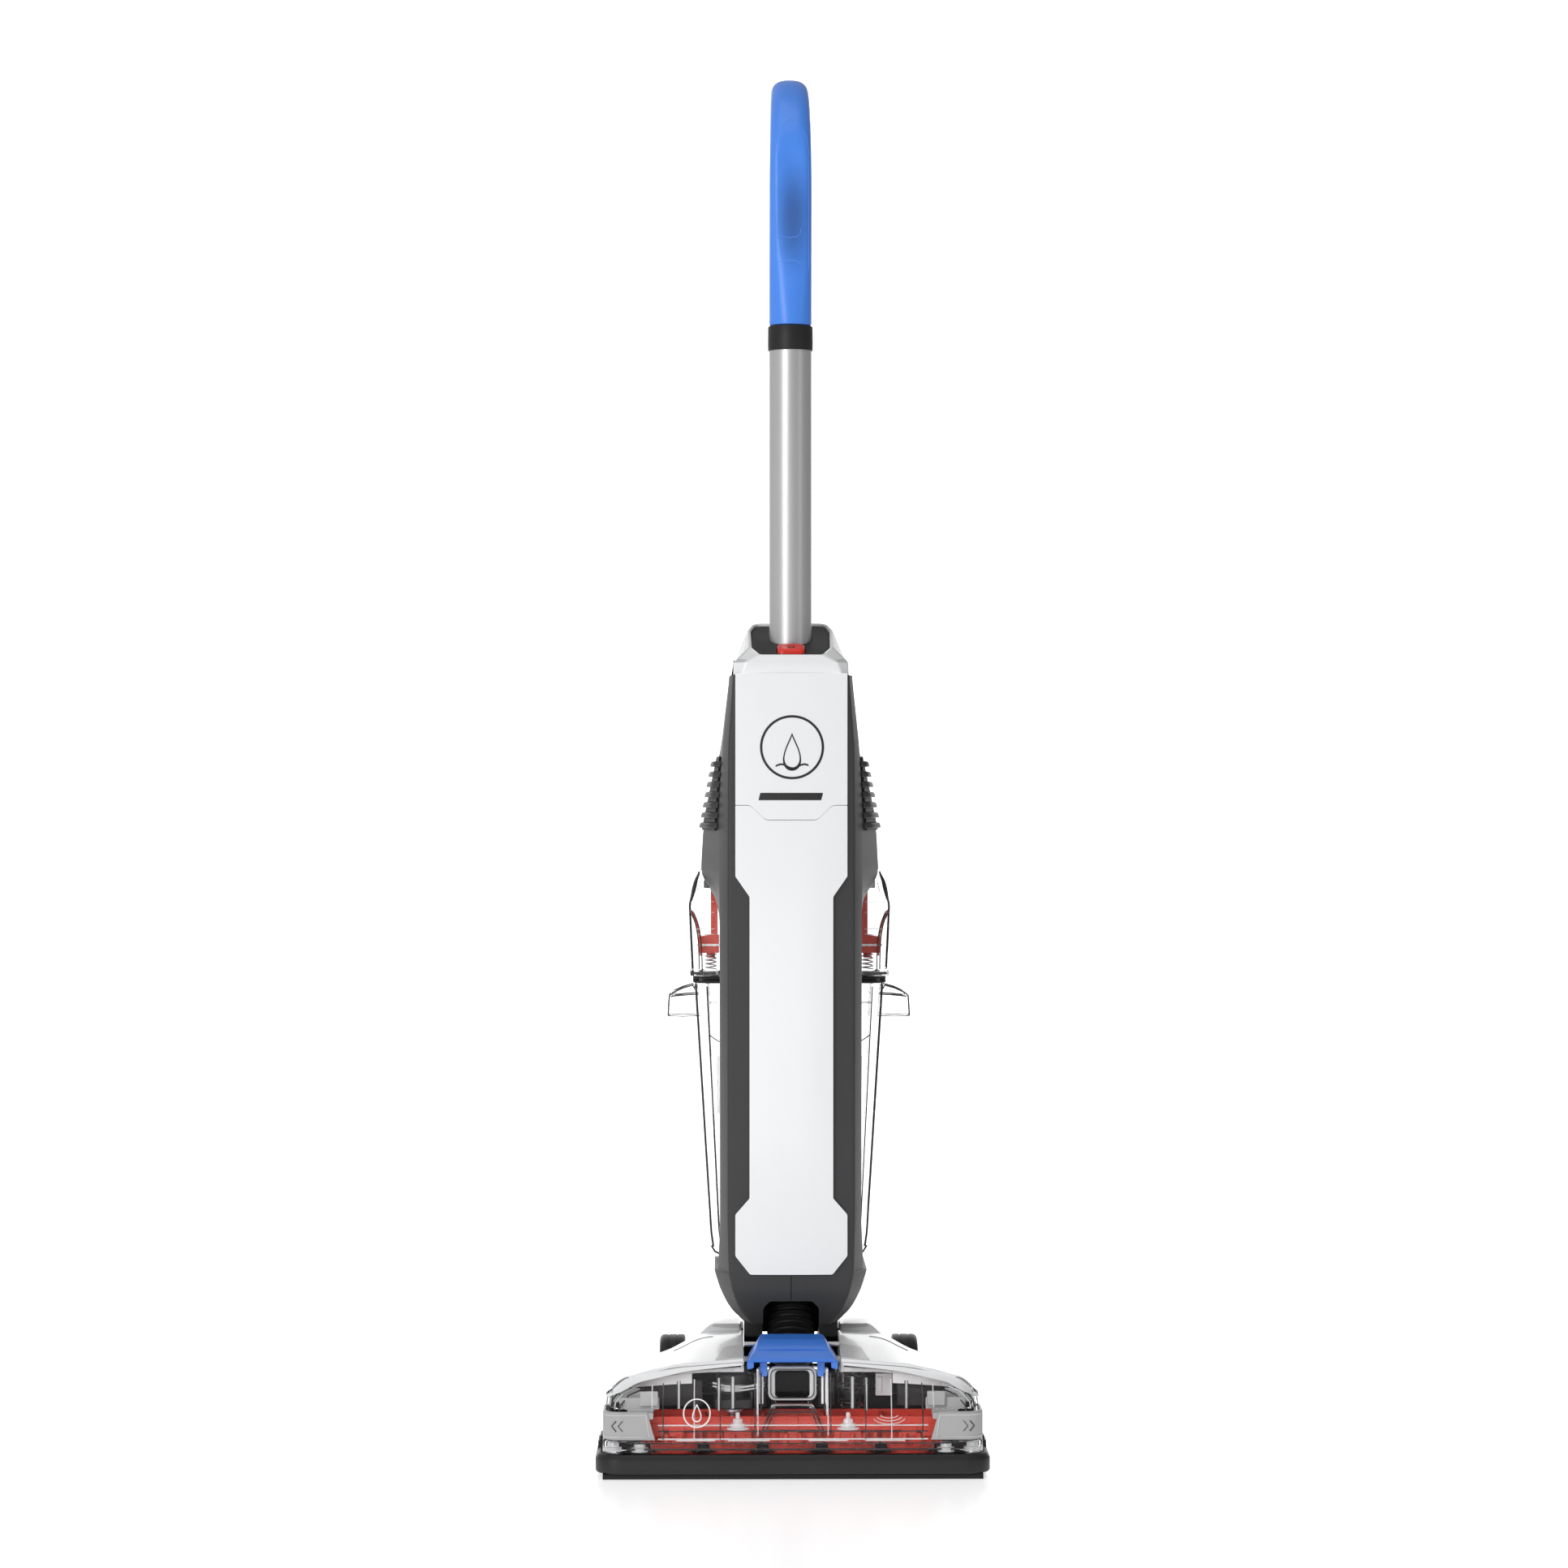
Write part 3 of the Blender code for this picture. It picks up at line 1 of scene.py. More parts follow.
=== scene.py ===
"""Look of the upright wet dry floor scrubber: fine surfaces, materials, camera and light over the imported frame."""
import bpy
import bmesh
import math
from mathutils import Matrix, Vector


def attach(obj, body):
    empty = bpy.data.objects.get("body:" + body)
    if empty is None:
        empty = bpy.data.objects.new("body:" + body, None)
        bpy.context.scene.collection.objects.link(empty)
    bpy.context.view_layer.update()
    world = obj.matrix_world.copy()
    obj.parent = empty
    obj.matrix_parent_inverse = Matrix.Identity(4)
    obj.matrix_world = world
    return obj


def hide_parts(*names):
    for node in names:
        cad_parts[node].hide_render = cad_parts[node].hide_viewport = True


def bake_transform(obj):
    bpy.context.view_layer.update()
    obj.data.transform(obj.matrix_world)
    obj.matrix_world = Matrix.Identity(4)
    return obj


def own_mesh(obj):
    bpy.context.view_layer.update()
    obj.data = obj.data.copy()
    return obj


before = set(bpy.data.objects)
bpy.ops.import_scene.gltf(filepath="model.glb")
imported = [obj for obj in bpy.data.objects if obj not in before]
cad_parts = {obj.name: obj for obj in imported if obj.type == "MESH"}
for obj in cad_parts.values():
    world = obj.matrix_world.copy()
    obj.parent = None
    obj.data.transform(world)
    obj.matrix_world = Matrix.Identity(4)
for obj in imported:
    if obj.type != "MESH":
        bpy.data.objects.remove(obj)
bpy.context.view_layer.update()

# =============================================================== materials
def mat(name, base, rough, metal=0.0, grain=0.0, grain_scale=900.0, vary=0.04, rough_vary=0.06, coat=0.0, wear=None,
        stretch=None, spec=0.5, blotch_scale=14.0, aniso=0.0):
    """Moulded or metal surface: base colour with slow variation, fine grain bump, roughness variation, paler worn edges."""
    m = bpy.data.materials.new(name)
    m.use_nodes = True
    nt = m.node_tree
    b = nt.nodes["Principled BSDF"]
    b.inputs["Metallic"].default_value = metal
    b.inputs["Specular IOR Level"].default_value = spec
    b.inputs["Coat Weight"].default_value = coat
    b.inputs["Coat Roughness"].default_value = 0.08
    b.inputs["Anisotropic"].default_value = aniso
    tc = nt.nodes.new("ShaderNodeTexCoord")
    mp = nt.nodes.new("ShaderNodeMapping")
    if stretch:
        mp.inputs["Scale"].default_value = stretch
    nt.links.new(tc.outputs["Object"], mp.inputs["Vector"])
    blotch = nt.nodes.new("ShaderNodeTexNoise")
    blotch.inputs["Scale"].default_value = blotch_scale
    blotch.inputs["Detail"].default_value = 5
    nt.links.new(mp.outputs["Vector"], blotch.inputs["Vector"])
    ramp = nt.nodes.new("ShaderNodeValToRGB")
    ramp.color_ramp.elements[0].position, ramp.color_ramp.elements[1].position = 0.3, 0.7
    ramp.color_ramp.elements[0].color = (*[c * (1 - vary) for c in base], 1)
    ramp.color_ramp.elements[1].color = (*[min(1, c * (1 + vary)) for c in base], 1)
    nt.links.new(blotch.outputs["Fac"], ramp.inputs["Fac"])
    colour = ramp.outputs["Color"]
    if wear:
        geo = nt.nodes.new("ShaderNodeNewGeometry")
        wr = nt.nodes.new("ShaderNodeValToRGB")
        wr.color_ramp.elements[0].position, wr.color_ramp.elements[1].position = 0.53, 0.62
        nt.links.new(geo.outputs["Pointiness"], wr.inputs["Fac"])
        mixer = nt.nodes.new("ShaderNodeMix")
        mixer.data_type = "RGBA"
        mixer.inputs["B"].default_value = (*wear, 1)
        nt.links.new(wr.outputs["Color"], mixer.inputs["Factor"])
        nt.links.new(colour, mixer.inputs["A"])
        colour = mixer.outputs["Result"]
    nt.links.new(colour, b.inputs["Base Color"])
    fine = nt.nodes.new("ShaderNodeTexNoise")
    fine.inputs["Scale"].default_value = grain_scale
    fine.inputs["Detail"].default_value = 3
    nt.links.new(mp.outputs["Vector"], fine.inputs["Vector"])
    rr = nt.nodes.new("ShaderNodeMapRange")
    rr.inputs["To Min"].default_value = max(0.02, rough - rough_vary)
    rr.inputs["To Max"].default_value = min(1.0, rough + rough_vary)
    nt.links.new(fine.outputs["Fac"], rr.inputs["Value"])
    nt.links.new(rr.outputs["Result"], b.inputs["Roughness"])
    if grain:
        bump = nt.nodes.new("ShaderNodeBump")
        bump.inputs["Strength"].default_value = grain
        bump.inputs["Distance"].default_value = 0.0002
        nt.links.new(fine.outputs["Fac"], bump.inputs["Height"])
        nt.links.new(bump.outputs["Normal"], b.inputs["Normal"])
    m.diffuse_color = (*base, 1)
    return m


def clear(name, tint, rough=0.03, ior=1.33, vary=0.02, trans=1.0, coat=0.0):
    m = mat(name, tint, rough, vary=vary, rough_vary=0.012, grain=0.02, grain_scale=260, spec=0.5)
    b = m.node_tree.nodes["Principled BSDF"]
    b.inputs["Transmission Weight"].default_value = trans
    b.inputs["IOR"].default_value = ior
    b.inputs["Coat Weight"].default_value = coat
    b.inputs["Coat Roughness"].default_value = 0.04
    return m


M_WHITE = mat("white_gloss_shell", (0.88, 0.885, 0.895), 0.20, grain=0.02, grain_scale=420, vary=0.008, coat=0.35)
M_GREY = mat("dark_grey_housing", (0.043, 0.043, 0.045), 0.44, spec=0.32, grain=0.10, grain_scale=2200, vary=0.05)
M_GREY_D = mat("darker_grey_trim", (0.016, 0.016, 0.017), 0.44, spec=0.32, grain=0.10, grain_scale=2200, vary=0.06)
M_BLACK = mat("black_rubber_moulding", (0.009, 0.009, 0.0095), 0.52, spec=0.30, grain=0.14, grain_scale=1500, vary=0.10)
M_BUMP = mat("bumper_rubber", (0.016, 0.016, 0.017), 0.42, spec=0.35, grain=0.12, grain_scale=1500, vary=0.08)
M_BLUE = mat("blue_soft_touch", (0.050, 0.210, 0.760), 0.30, grain=0.05, grain_scale=1800, vary=0.03, coat=0.12)
M_RED = mat("red_moulded", (0.60, 0.050, 0.030), 0.34, grain=0.05, grain_scale=900, vary=0.08)
M_RED_B = mat("red_button", (0.82, 0.035, 0.020), 0.30, grain=0.03, grain_scale=900, vary=0.04)
M_LGREY = mat("light_grey_satin", (0.42, 0.42, 0.425), 0.34, grain=0.06, grain_scale=1600, vary=0.04)
# pale grey: the real colour of some pale parts (duct gasket, valve block, tab beads), and painted shade on the white
# cover's side faces and plates
M_PALE_GREY_AND_SHADE = mat("pale_grey_parts_and_painted_shade", (0.60, 0.60, 0.605), 0.26, grain=0.03, grain_scale=700, vary=0.02)
M_TUBE = mat("satin_tube_metal", (0.60, 0.60, 0.605), 0.36, metal=0.72, grain=0.10, grain_scale=1400, vary=0.02, stretch=(1, 1, 0.05))
M_STEEL = mat("brushed_steel_pins", (0.55, 0.55, 0.56), 0.30, metal=1.0, grain=0.05, grain_scale=1300, vary=0.05)
M_MOTOR = mat("motor_enamel", (0.022, 0.022, 0.024), 0.40, grain=0.08, grain_scale=1000, vary=0.10)
M_CLEAR = clear("clear_shell", (0.985, 0.988, 0.99), rough=0.02, ior=1.10, coat=0.16)
# real clear ribs made pale and partly opaque: a painted highlight, so they read as bright lines
M_CLEAR_E = clear("clear_rib_painted_highlight", (0.86, 0.87, 0.88), rough=0.05, ior=1.42, trans=0.55, coat=0.8)
# dark and half clear: lines painted as the shade that edges of the clear parts show, where walls, ribs and grooves seen
# edge-on look dark
M_CLEAR_EDGE_SHADE = clear("clear_edge_painted_shade", (0.055, 0.055, 0.058), rough=0.12, ior=1.40, trans=0.35)
M_MARK = mat("printed_mark_dark", (0.012, 0.012, 0.013), 0.35, grain=0.02, grain_scale=900, vary=0.05)
M_MARK_W = mat("printed_mark_white", (0.92, 0.92, 0.92), 0.35, grain=0.02, grain_scale=900, vary=0.01)
# near-black fill: painted shade deep inside the duct
M_SHADE_FILL = mat("painted_shade_inside", (0.0025, 0.0025, 0.0027), 0.85, grain=0.02, vary=0.05, spec=0.05)
M_COLLAR = mat("collar_dark_satin", (0.018, 0.018, 0.019), 0.46, spec=0.30, grain=0.08, grain_scale=2000, vary=0.05)
# lighter blue for the grip's crease lines: a painted highlight
M_GRIP_HIGHLIGHT = mat("blue_grip_painted_highlight", (0.10, 0.30, 0.88), 0.35, grain=0.03, vary=0.03)
# painted shade: the grip's blue is scaled by its distance from a point on the front (x 0.0025, z 0.985), darker towards
# the middle of the front and a little lighter towards the edges
M_BLUE_GRIP_SHADED = mat("blue_grip_soft_touch_painted_shade", (0.060, 0.235, 0.790), 0.32, grain=0.05, grain_scale=1800, vary=0.03, coat=0.12)
gt = M_BLUE_GRIP_SHADED.node_tree
gb = gt.nodes["Principled BSDF"]
g_src = gb.inputs["Base Color"].links[0].from_socket
g_tc, g_mp, g_len = gt.nodes.new("ShaderNodeTexCoord"), gt.nodes.new("ShaderNodeMapping"), gt.nodes.new("ShaderNodeVectorMath")
g_mp.inputs["Scale"].default_value = (1 / 0.016, 0.0, 1 / 0.048)
g_mp.inputs["Location"].default_value = (-0.0025 / 0.016, 0.0, -0.985 / 0.048)
g_len.operation = "LENGTH"
g_shade_ramp, g_shade_scale = gt.nodes.new("ShaderNodeMapRange"), gt.nodes.new("ShaderNodeVectorMath")
g_shade_ramp.interpolation_type = "SMOOTHSTEP"
g_shade_ramp.inputs["From Min"].default_value, g_shade_ramp.inputs["From Max"].default_value = 0.1, 1.15
g_shade_ramp.inputs["To Min"].default_value, g_shade_ramp.inputs["To Max"].default_value = 0.50, 1.10
g_shade_scale.operation = "SCALE"
gt.links.new(g_tc.outputs["Object"], g_mp.inputs["Vector"])
gt.links.new(g_mp.outputs["Vector"], g_len.inputs[0])
gt.links.new(g_len.outputs["Value"], g_shade_ramp.inputs["Value"])
gt.links.new(g_src, g_shade_scale.inputs[0])
gt.links.new(g_shade_ramp.outputs["Result"], g_shade_scale.inputs["Scale"])
gt.links.new(g_shade_scale.outputs["Vector"], gb.inputs["Base Color"])
M_BRISTLE = mat("bristle_tips", (0.30, 0.045, 0.035), 0.60, grain=0.5, grain_scale=2600, vary=0.20)

# =============================================================== mesh helpers
def make(name, bm, m, body, rep=(), sharp=32, bevel=0.0, seg=3, sub=0, weld=True):
    if weld:
        bmesh.ops.remove_doubles(bm, verts=bm.verts[:], dist=1e-6)
    bmesh.ops.recalc_face_normals(bm, faces=bm.faces[:])
    if bm.calc_volume(signed=True) < 0:
        bmesh.ops.reverse_faces(bm, faces=bm.faces[:])
    me = bpy.data.meshes.new(name)
    bm.to_mesh(me)
    bm.free()
    o = bpy.data.objects.new(name, me)
    bpy.context.scene.collection.objects.link(o)
    me.materials.append(m)
    me.shade_smooth()
    me.set_sharp_from_angle(angle=math.radians(sharp))
    if bevel:
        b = o.modifiers.new("edge_round", "BEVEL")
        b.width, b.segments, b.limit_method, b.angle_limit = bevel, seg, "ANGLE", math.radians(28)
        b.harden_normals = True
        b.use_clamp_overlap = True
    if sub:
        s = o.modifiers.new("smooth_form", "SUBSURF")
        s.levels = s.render_levels = sub
    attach(o, body)
    if m in (M_CLEAR, M_CLEAR_E):
        o.visible_shadow = False
    if rep:
        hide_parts(*rep)
    return o


def loft(rings, cap=True, bm=None, close=True):
    bm = bm or bmesh.new()
    vs = [[bm.verts.new(p) for p in r] for r in rings]
    n = len(rings[0])
    for a, b in zip(vs, vs[1:]):
        for i in range(n if close else n - 1):
            bm.faces.new((a[i], a[(i + 1) % n], b[(i + 1) % n], b[i]))
    if cap:
        bm.faces.new(vs[0])
        bm.faces.new(vs[-1])
    return bm


def shell(outer, inner, open_a, open_b, bm=None):
    bm = bm or bmesh.new()
    vo = [[bm.verts.new(p) for p in r] for r in outer]
    vi = [[bm.verts.new(p) for p in r] for r in inner]
    n = len(outer[0])
    for vs in (vo, vi):
        for a, b in zip(vs, vs[1:]):
            for i in range(n):
                bm.faces.new((a[i], a[(i + 1) % n], b[(i + 1) % n], b[i]))
    for o, q, opened in ((vo[0], vi[0], open_a), (vo[-1], vi[-1], open_b)):
        if opened:
            for i in range(n):
                bm.faces.new((o[i], o[(i + 1) % n], q[(i + 1) % n], q[i]))
        else:
            bm.faces.new(o)
            bm.faces.new(q)
    return bm


def box(x0, x1, y0, y1, z0, z1, bm=None):
    return loft([[(x0, y0, z), (x1, y0, z), (x1, y1, z), (x0, y1, z)] for z in (z0, z1)], True, bm)


def rrect(hx, y0, y1, z, r=0.010, seg=8, cx=0.0):
    pts = []
    for sx, sy, a0 in ((1, -1, -90), (1, 1, 0), (-1, 1, 90), (-1, -1, 180)):
        ox, oy = cx + sx * (hx - r), (y0 + r if sy < 0 else y1 - r)
        for k in range(seg + 1):
            a = math.radians(a0 + 90 * k / seg)
            pts.append((ox + r * math.cos(a), oy + r * math.sin(a)))
    zf = z if callable(z) else (lambda y: z)
    return [(x, y, zf(y)) for x, y in pts]


def rounded(pts, r, seg=4):
    """Round the corners of a closed 2-D outline. r is one radius or one per corner."""
    out, n = [], len(pts)
    for i in range(n):
        p, a, b = Vector(pts[i]), Vector(pts[i - 1]), Vector(pts[(i + 1) % n])
        ri = r[i] if hasattr(r, "__len__") else r
        da, db = (a - p), (b - p)
        la, lb = da.length, db.length
        if ri <= 0 or la < 1e-9 or lb < 1e-9:
            out.append(tuple(p))
            continue
        da, db = da / la, db / lb
        ang = math.acos(max(-1, min(1, da.dot(db))))
        d = min(ri / max(math.tan(ang / 2), 1e-3), la * 0.45, lb * 0.45)
        s, e = p + da * d, p + db * d
        for k in range(seg + 1):
            t = k / seg
            q = s * (1 - t) ** 2 + p * 2 * t * (1 - t) + e * t ** 2
            out.append(tuple(q))
    return out


def prism(pts, lo, hi, axis="Y", bm=None):
    def p3(p, t):
        return {"Y": (p[0], t, p[1]), "X": (t, p[0], p[1]), "Z": (p[0], p[1], t)}[axis]
    return loft([[p3(p, t) for p in pts] for t in (lo, hi)], True, bm)


def lathe(profile, c, axis="Z", n=64, bm=None, closed=True):
    """Turn an (r, t) outline round an axis through c. Closed outlines make rings, open ones meet the axis."""
    bm = bm or bmesh.new()
    rows = []
    for k in range(n):
        a = 2 * math.pi * k / n
        row = []
        for r, t in profile:
            u, v = r * math.cos(a), r * math.sin(a)
            row.append(bm.verts.new({"Z": (c[0] + u, c[1] + v, t), "X": (t, c[0] + u, c[1] + v), "Y": (c[0] + u, t, c[1] + v)}[axis]))
        rows.append(row)
    m = len(profile)
    for k in range(n):
        a, b = rows[k], rows[(k + 1) % n]
        for j in range(m if closed else m - 1):
            j2 = (j + 1) % m
            if profile[j][0] < 1e-7 and profile[j2][0] < 1e-7:
                continue
            bm.faces.new((a[j], a[j2], b[j2], b[j]))
    bmesh.ops.remove_doubles(bm, verts=bm.verts[:], dist=1e-7)
    for f in [f for f in bm.faces if f.calc_area() < 1e-14]:
        bm.faces.remove(f)
    return bm


def catmull(pts, per=8):
    P = [Vector(p) for p in pts]
    P = [P[0] * 2 - P[1]] + P + [P[-1] * 2 - P[-2]]
    out = []
    for i in range(1, len(P) - 2):
        for k in range(per):
            t = k / per
            a, b, c, d = P[i - 1], P[i], P[i + 1], P[i + 2]
            out.append(0.5 * ((2 * b) + (c - a) * t + (2 * a - 5 * b + 4 * c - d) * t * t + (3 * b - a - 3 * c + d) * t ** 3))
    out.append(P[-2])
    return out


def tube(path, radius, n=10, cap=True, bm=None, flat=1.0, closed=False):
    """A round or flattened bar along any path."""
    P = [Vector(p) for p in path]
    rings, up = [], None
    for i, p in enumerate(P):
        t = (P[min(i + 1, len(P) - 1)] - P[max(i - 1, 0)]).normalized()
        if up is None:
            up = Vector((0, 0, 1)) if abs(t.z) < 0.9 else Vector((0, 1, 0))
        u = t.cross(up).normalized()
        w = u.cross(t).normalized()
        up = w
        r = radius(i / (len(P) - 1)) if callable(radius) else radius
        rings.append([p + u * (r * math.cos(q)) + w * (r * flat * math.sin(q)) for q in [2 * math.pi * k / n for k in range(n)]])
    return loft(rings, cap, bm)


def lerp_rows(rows, key):
    """Linear interpolation of a table on its first column."""
    if key <= rows[0][0]:
        return rows[0][1:]
    for a, b in zip(rows, rows[1:]):
        if key <= b[0]:
            f = (key - a[0]) / (b[0] - a[0])
            return tuple(p + (q - p) * f for p, q in zip(a[1:], b[1:]))
    return rows[-1][1:]


def smoothed(rows, key, w):
    """The table's value averaged over a window, which rounds its corners."""
    acc = None
    for k in (-1, -0.5, 0, 0.5, 1):
        v = lerp_rows(rows, key + k * w)
        acc = v if acc is None else tuple(a + b for a, b in zip(acc, v))
    return tuple(a / 5 for a in acc)


def frange(a, b, n):
    return [a + (b - a) * i / (n - 1) for i in range(n)]


def join_all(bms):
    out = bmesh.new()
    for b in bms:
        me = bpy.data.meshes.new("tmp")
        b.to_mesh(me)
        b.free()
        out.from_mesh(me)
        bpy.data.meshes.remove(me)
    return out


def sided(bm, s):
    """Mirror world-space geometry to the -X side when s is -1."""
    if s < 0:
        for v in bm.verts:
            v.co.x = -v.co.x
        bmesh.ops.reverse_faces(bm, faces=bm.faces[:])
    return bm


SIDES = ((-1, "left"), (1, "right"))

# =============================================================== HANDLE
GRIP_PATH = catmull([(0, 0, 0.9008), (0, -0.0005, 0.9300), (0, -0.0035, 0.9600), (0, -0.0080, 0.9900), (0, -0.0100, 1.0180), (0, -0.0055, 1.0470),
                     (0, 0.0090, 1.0710), (0, 0.0300, 1.0870), (0, 0.0540, 1.0925), (0, 0.0780, 1.0855), (0, 0.0940, 1.0650), (0, 0.0960, 1.0380),
                     (0, 0.0880, 1.0100), (0, 0.0720, 0.9820)], 8)
LINK_PATH = catmull([(0, 0.0790, 0.9940), (0, 0.0650, 0.9730), (0, 0.0420, 0.9500), (0, 0.0180, 0.9360), (0, 0.0020, 0.9280)], 8)


def grip_sweep(path, shape, n=40):
    rings = []
    for i, p in enumerate(path):
        t = (path[min(i + 1, len(path) - 1)] - path[max(i - 1, 0)]).normalized()
        nrm = Vector((0, t.z, -t.y))
        a, b, e, dish = shape(i / (len(path) - 1))
        ring = []
        for k in range(n):
            an = 2 * math.pi * k / n
            ca, sa = math.cos(an), math.sin(an)
            u = a * math.copysign(abs(ca) ** (2 / e), ca)
            v = b * math.copysign(abs(sa) ** (2 / e), sa)
            if sa < 0:
                v += dish * max(0.0, 1 - (abs(u) / (a * 0.72)) ** 2.2)
            ring.append(p + Vector((u, 0, 0)) + nrm * v)
        rings.append(ring)
    return loft(rings)


def main_shape(f):
    """Half width, half depth, squareness and the depth of the thumb hollow along the front strand."""
    a = lerp_rows([(0, 0.0171), (0.30, 0.0170), (0.42, 0.0164), (0.55, 0.0155), (1.0, 0.0150)], f)[0]
    b = lerp_rows([(0, 0.0171), (0.08, 0.0150), (0.25, 0.0142), (0.45, 0.0134), (1.0, 0.0132)], f)[0]
    e = lerp_rows([(0, 2.0), (0.10, 2.5), (0.34, 3.0), (0.44, 2.7), (1.0, 2.4)], f)[0]
    dish = 0.0022 * max(0.0, min(1.0, (f - 0.10) / 0.10)) * max(0.0, min(1.0, (0.40 - f) / 0.05))
    return a, b, e, dish


grip = make("grip_skin", grip_sweep(GRIP_PATH, main_shape), M_BLUE_GRIP_SHADED, "handle", ("handle_grip",), sharp=50)
link = make("grip_link_tmp", grip_sweep(LINK_PATH, lambda f: (0.0158, 0.0128, 2.3, 0.0)), M_BLUE, "handle")
slot_cut = make("grip_slot_tmp", prism(rounded([(0.0700, 1.0700), (0.0960, 1.0700), (0.0945, 1.0340), (0.0860, 1.0020), (0.0600, 1.0020)], 0.003), -0.0098, 0.0098, "X"), M_BLUE, "handle")
for other, op in ((link, "UNION"), (slot_cut, "DIFFERENCE")):
    b = grip.modifiers.new(op, "BOOLEAN")
    b.operation, b.solver, b.object = op, "EXACT", other


def bake(o, *helpers):
    """Apply an object's modifiers and drop the shapes they used."""
    dg = bpy.context.evaluated_depsgraph_get()
    me = bpy.data.meshes.new_from_object(o.evaluated_get(dg))
    o.modifiers.clear()
    old = o.data
    o.data = me
    bpy.data.meshes.remove(old)
    for h in helpers:
        bpy.data.objects.remove(h)


bake(grip, link, slot_cut)
vox = grip.modifiers.new("even_skin", "REMESH")
vox.mode, vox.voxel_size, vox.use_smooth_shade = "VOXEL", 0.0009, True
smo = grip.modifiers.new("soft_blends", "SMOOTH")
smo.factor, smo.iterations = 0.5, 6
bake(grip)
grip.data.shade_smooth()

make("handle_tube_skin", lathe([(0.0158, 0.5850), (0.0167, 0.5850), (0.0170, 0.5853), (0.0170, 0.9000), (0.0167, 0.9003), (0.0158, 0.9003)], (0, 0), "Z", 96),
     M_TUBE, "handle", ("handle_tube",))
ring = lathe([(0.0171, 0.8806), (0.0177, 0.8806), (0.0180, 0.8809), (0.0181, 0.8870), (0.0180, 0.8995), (0.0177, 0.9000), (0.0171, 0.9003)], (0, 0), "Z", 96)
boss = lathe([(0.0, 0.0172), (0.0078, 0.0172), (0.0080, 0.0250), (0.0074, 0.0268), (0.0042, 0.0268), (0.0042, 0.0212), (0.0, 0.0212)], (0, 0.8900), "Y", 40, closed=False)
make("handle_ring_skin", join_all([ring, boss]), M_GREY_D, "handle", ("handle_ring",))
trig = rounded([(0.0835, 1.0660), (0.0900, 1.0660), (0.0900, 1.0590), (0.0830, 1.0330), (0.0745, 1.0080), (0.0695, 1.0085), (0.0728, 1.0330), (0.0785, 1.0560)],
               [0.003, 0.003, 0.002, 0.004, 0.002, 0.002, 0.010, 0.010], 6)
make("trigger_skin", prism(trig, -0.0086, 0.0086, "X"), M_GREY_D, "trigger", ("trigger",), bevel=0.0012)
make("trigger_pin_skin", lathe([(0.0, -0.0093), (0.0013, -0.0093), (0.0015, -0.0090), (0.0015, 0.0090), (0.0013, 0.0093), (0.0, 0.0093)], (0.0865, 1.0625), "X", 24, closed=False),
     M_STEEL, "handle", ("trigger_pin",))

# cord hooks
hk = [lathe([(0.0, 0.0214), (0.0034, 0.0214), (0.0036, 0.0220), (0.0036, 0.0276), (0.0074, 0.0276), (0.0078, 0.0282), (0.0076, 0.0310), (0.0040, 0.0316), (0.0036, 0.0440), (0.0, 0.0440)],
            (0, 0.8900), "Y", 36, closed=False)]
arm = rounded([(-0.0070, 0.8840), (0.0070, 0.8840), (0.0120, 0.9120), (0.0080, 0.9160), (-0.0080, 0.9160), (-0.0120, 0.9120)], 0.003, 5)
make("cord_hook_stem_skin", hk[0], M_GREY_D, "cord_hook", ("cord_hook_upper",))
make("cord_hook_arm_skin", prism(arm, 0.0432, 0.0478, "Y"), M_GREY_D, "cord_hook", (), bevel=0.0011)
st = lathe([(0.0, 0.0680), (0.0100, 0.0680), (0.0084, 0.0700), (0.0066, 0.0720), (0.0062, 0.0870), (0.0, 0.0870)], (0, 0.6060), "Y", 36, closed=False)
make("cord_hook_lower_stem_skin", st, M_GREY_D, "upright_body", ("cord_hook_lower",))
arm2 = rounded([(-0.0080, 0.6120), (0.0080, 0.6120), (0.0125, 0.5840), (0.0080, 0.5800), (-0.0080, 0.5800), (-0.0125, 0.5840)], 0.003, 5)
make("cord_hook_lower_arm_skin", prism(arm2, 0.0862, 0.0908, "Y"), M_GREY_D, "upright_body", (), bevel=0.0011)
gl = [(0.0, 0.1060), (0.0082, 0.1060), (0.0088, 0.1070), (0.0088, 0.1096), (0.0070, 0.1108), (0.0058, 0.1112)]
for k in range(6):
    t = 0.1116 + k * 0.0021
    r = 0.0056 - k * 0.00018
    gl += [(r, t), (r, t + 0.0011), (r - 0.0009, t + 0.0013), (r - 0.0009, t + 0.0019)]
gl += [(0.0043, 0.1243), (0.0030, 0.1243), (0.0030, 0.1180), (0.0, 0.1180)]
make("cord_gland_skin", lathe(gl, (0.0300, 0.4850), "Y", 36, closed=False), M_BLACK, "upright_body", ("cord_gland",), sharp=50)

# thin lighter blue lines along the creases on the front of the grip, painted as the highlights those creases catch
grip_pt = bpy.data.objects["grip_skin"]
bpy.context.view_layer.update()


def on_grip(x, z):
    ok, p, n, f = grip_pt.ray_cast(Vector((x, -1.0, z)), Vector((0, 1, 0)))
    return (x, p.y + 0.00012, z) if ok else None


def grip_line(name, pts, r):
    dense = [(a[0] + (b_[0] - a[0]) * t, a[1] + (b_[1] - a[1]) * t) for a, b_ in zip(pts, pts[1:]) for t in (0.0, 0.25, 0.5, 0.75)] + [pts[-1]]
    path = [q for q in (on_grip(x, z) for x, z in dense) if q]
    if len(path) > 3:
        make(name, tube(path, r, 6), M_GRIP_HIGHLIGHT, "handle", ())


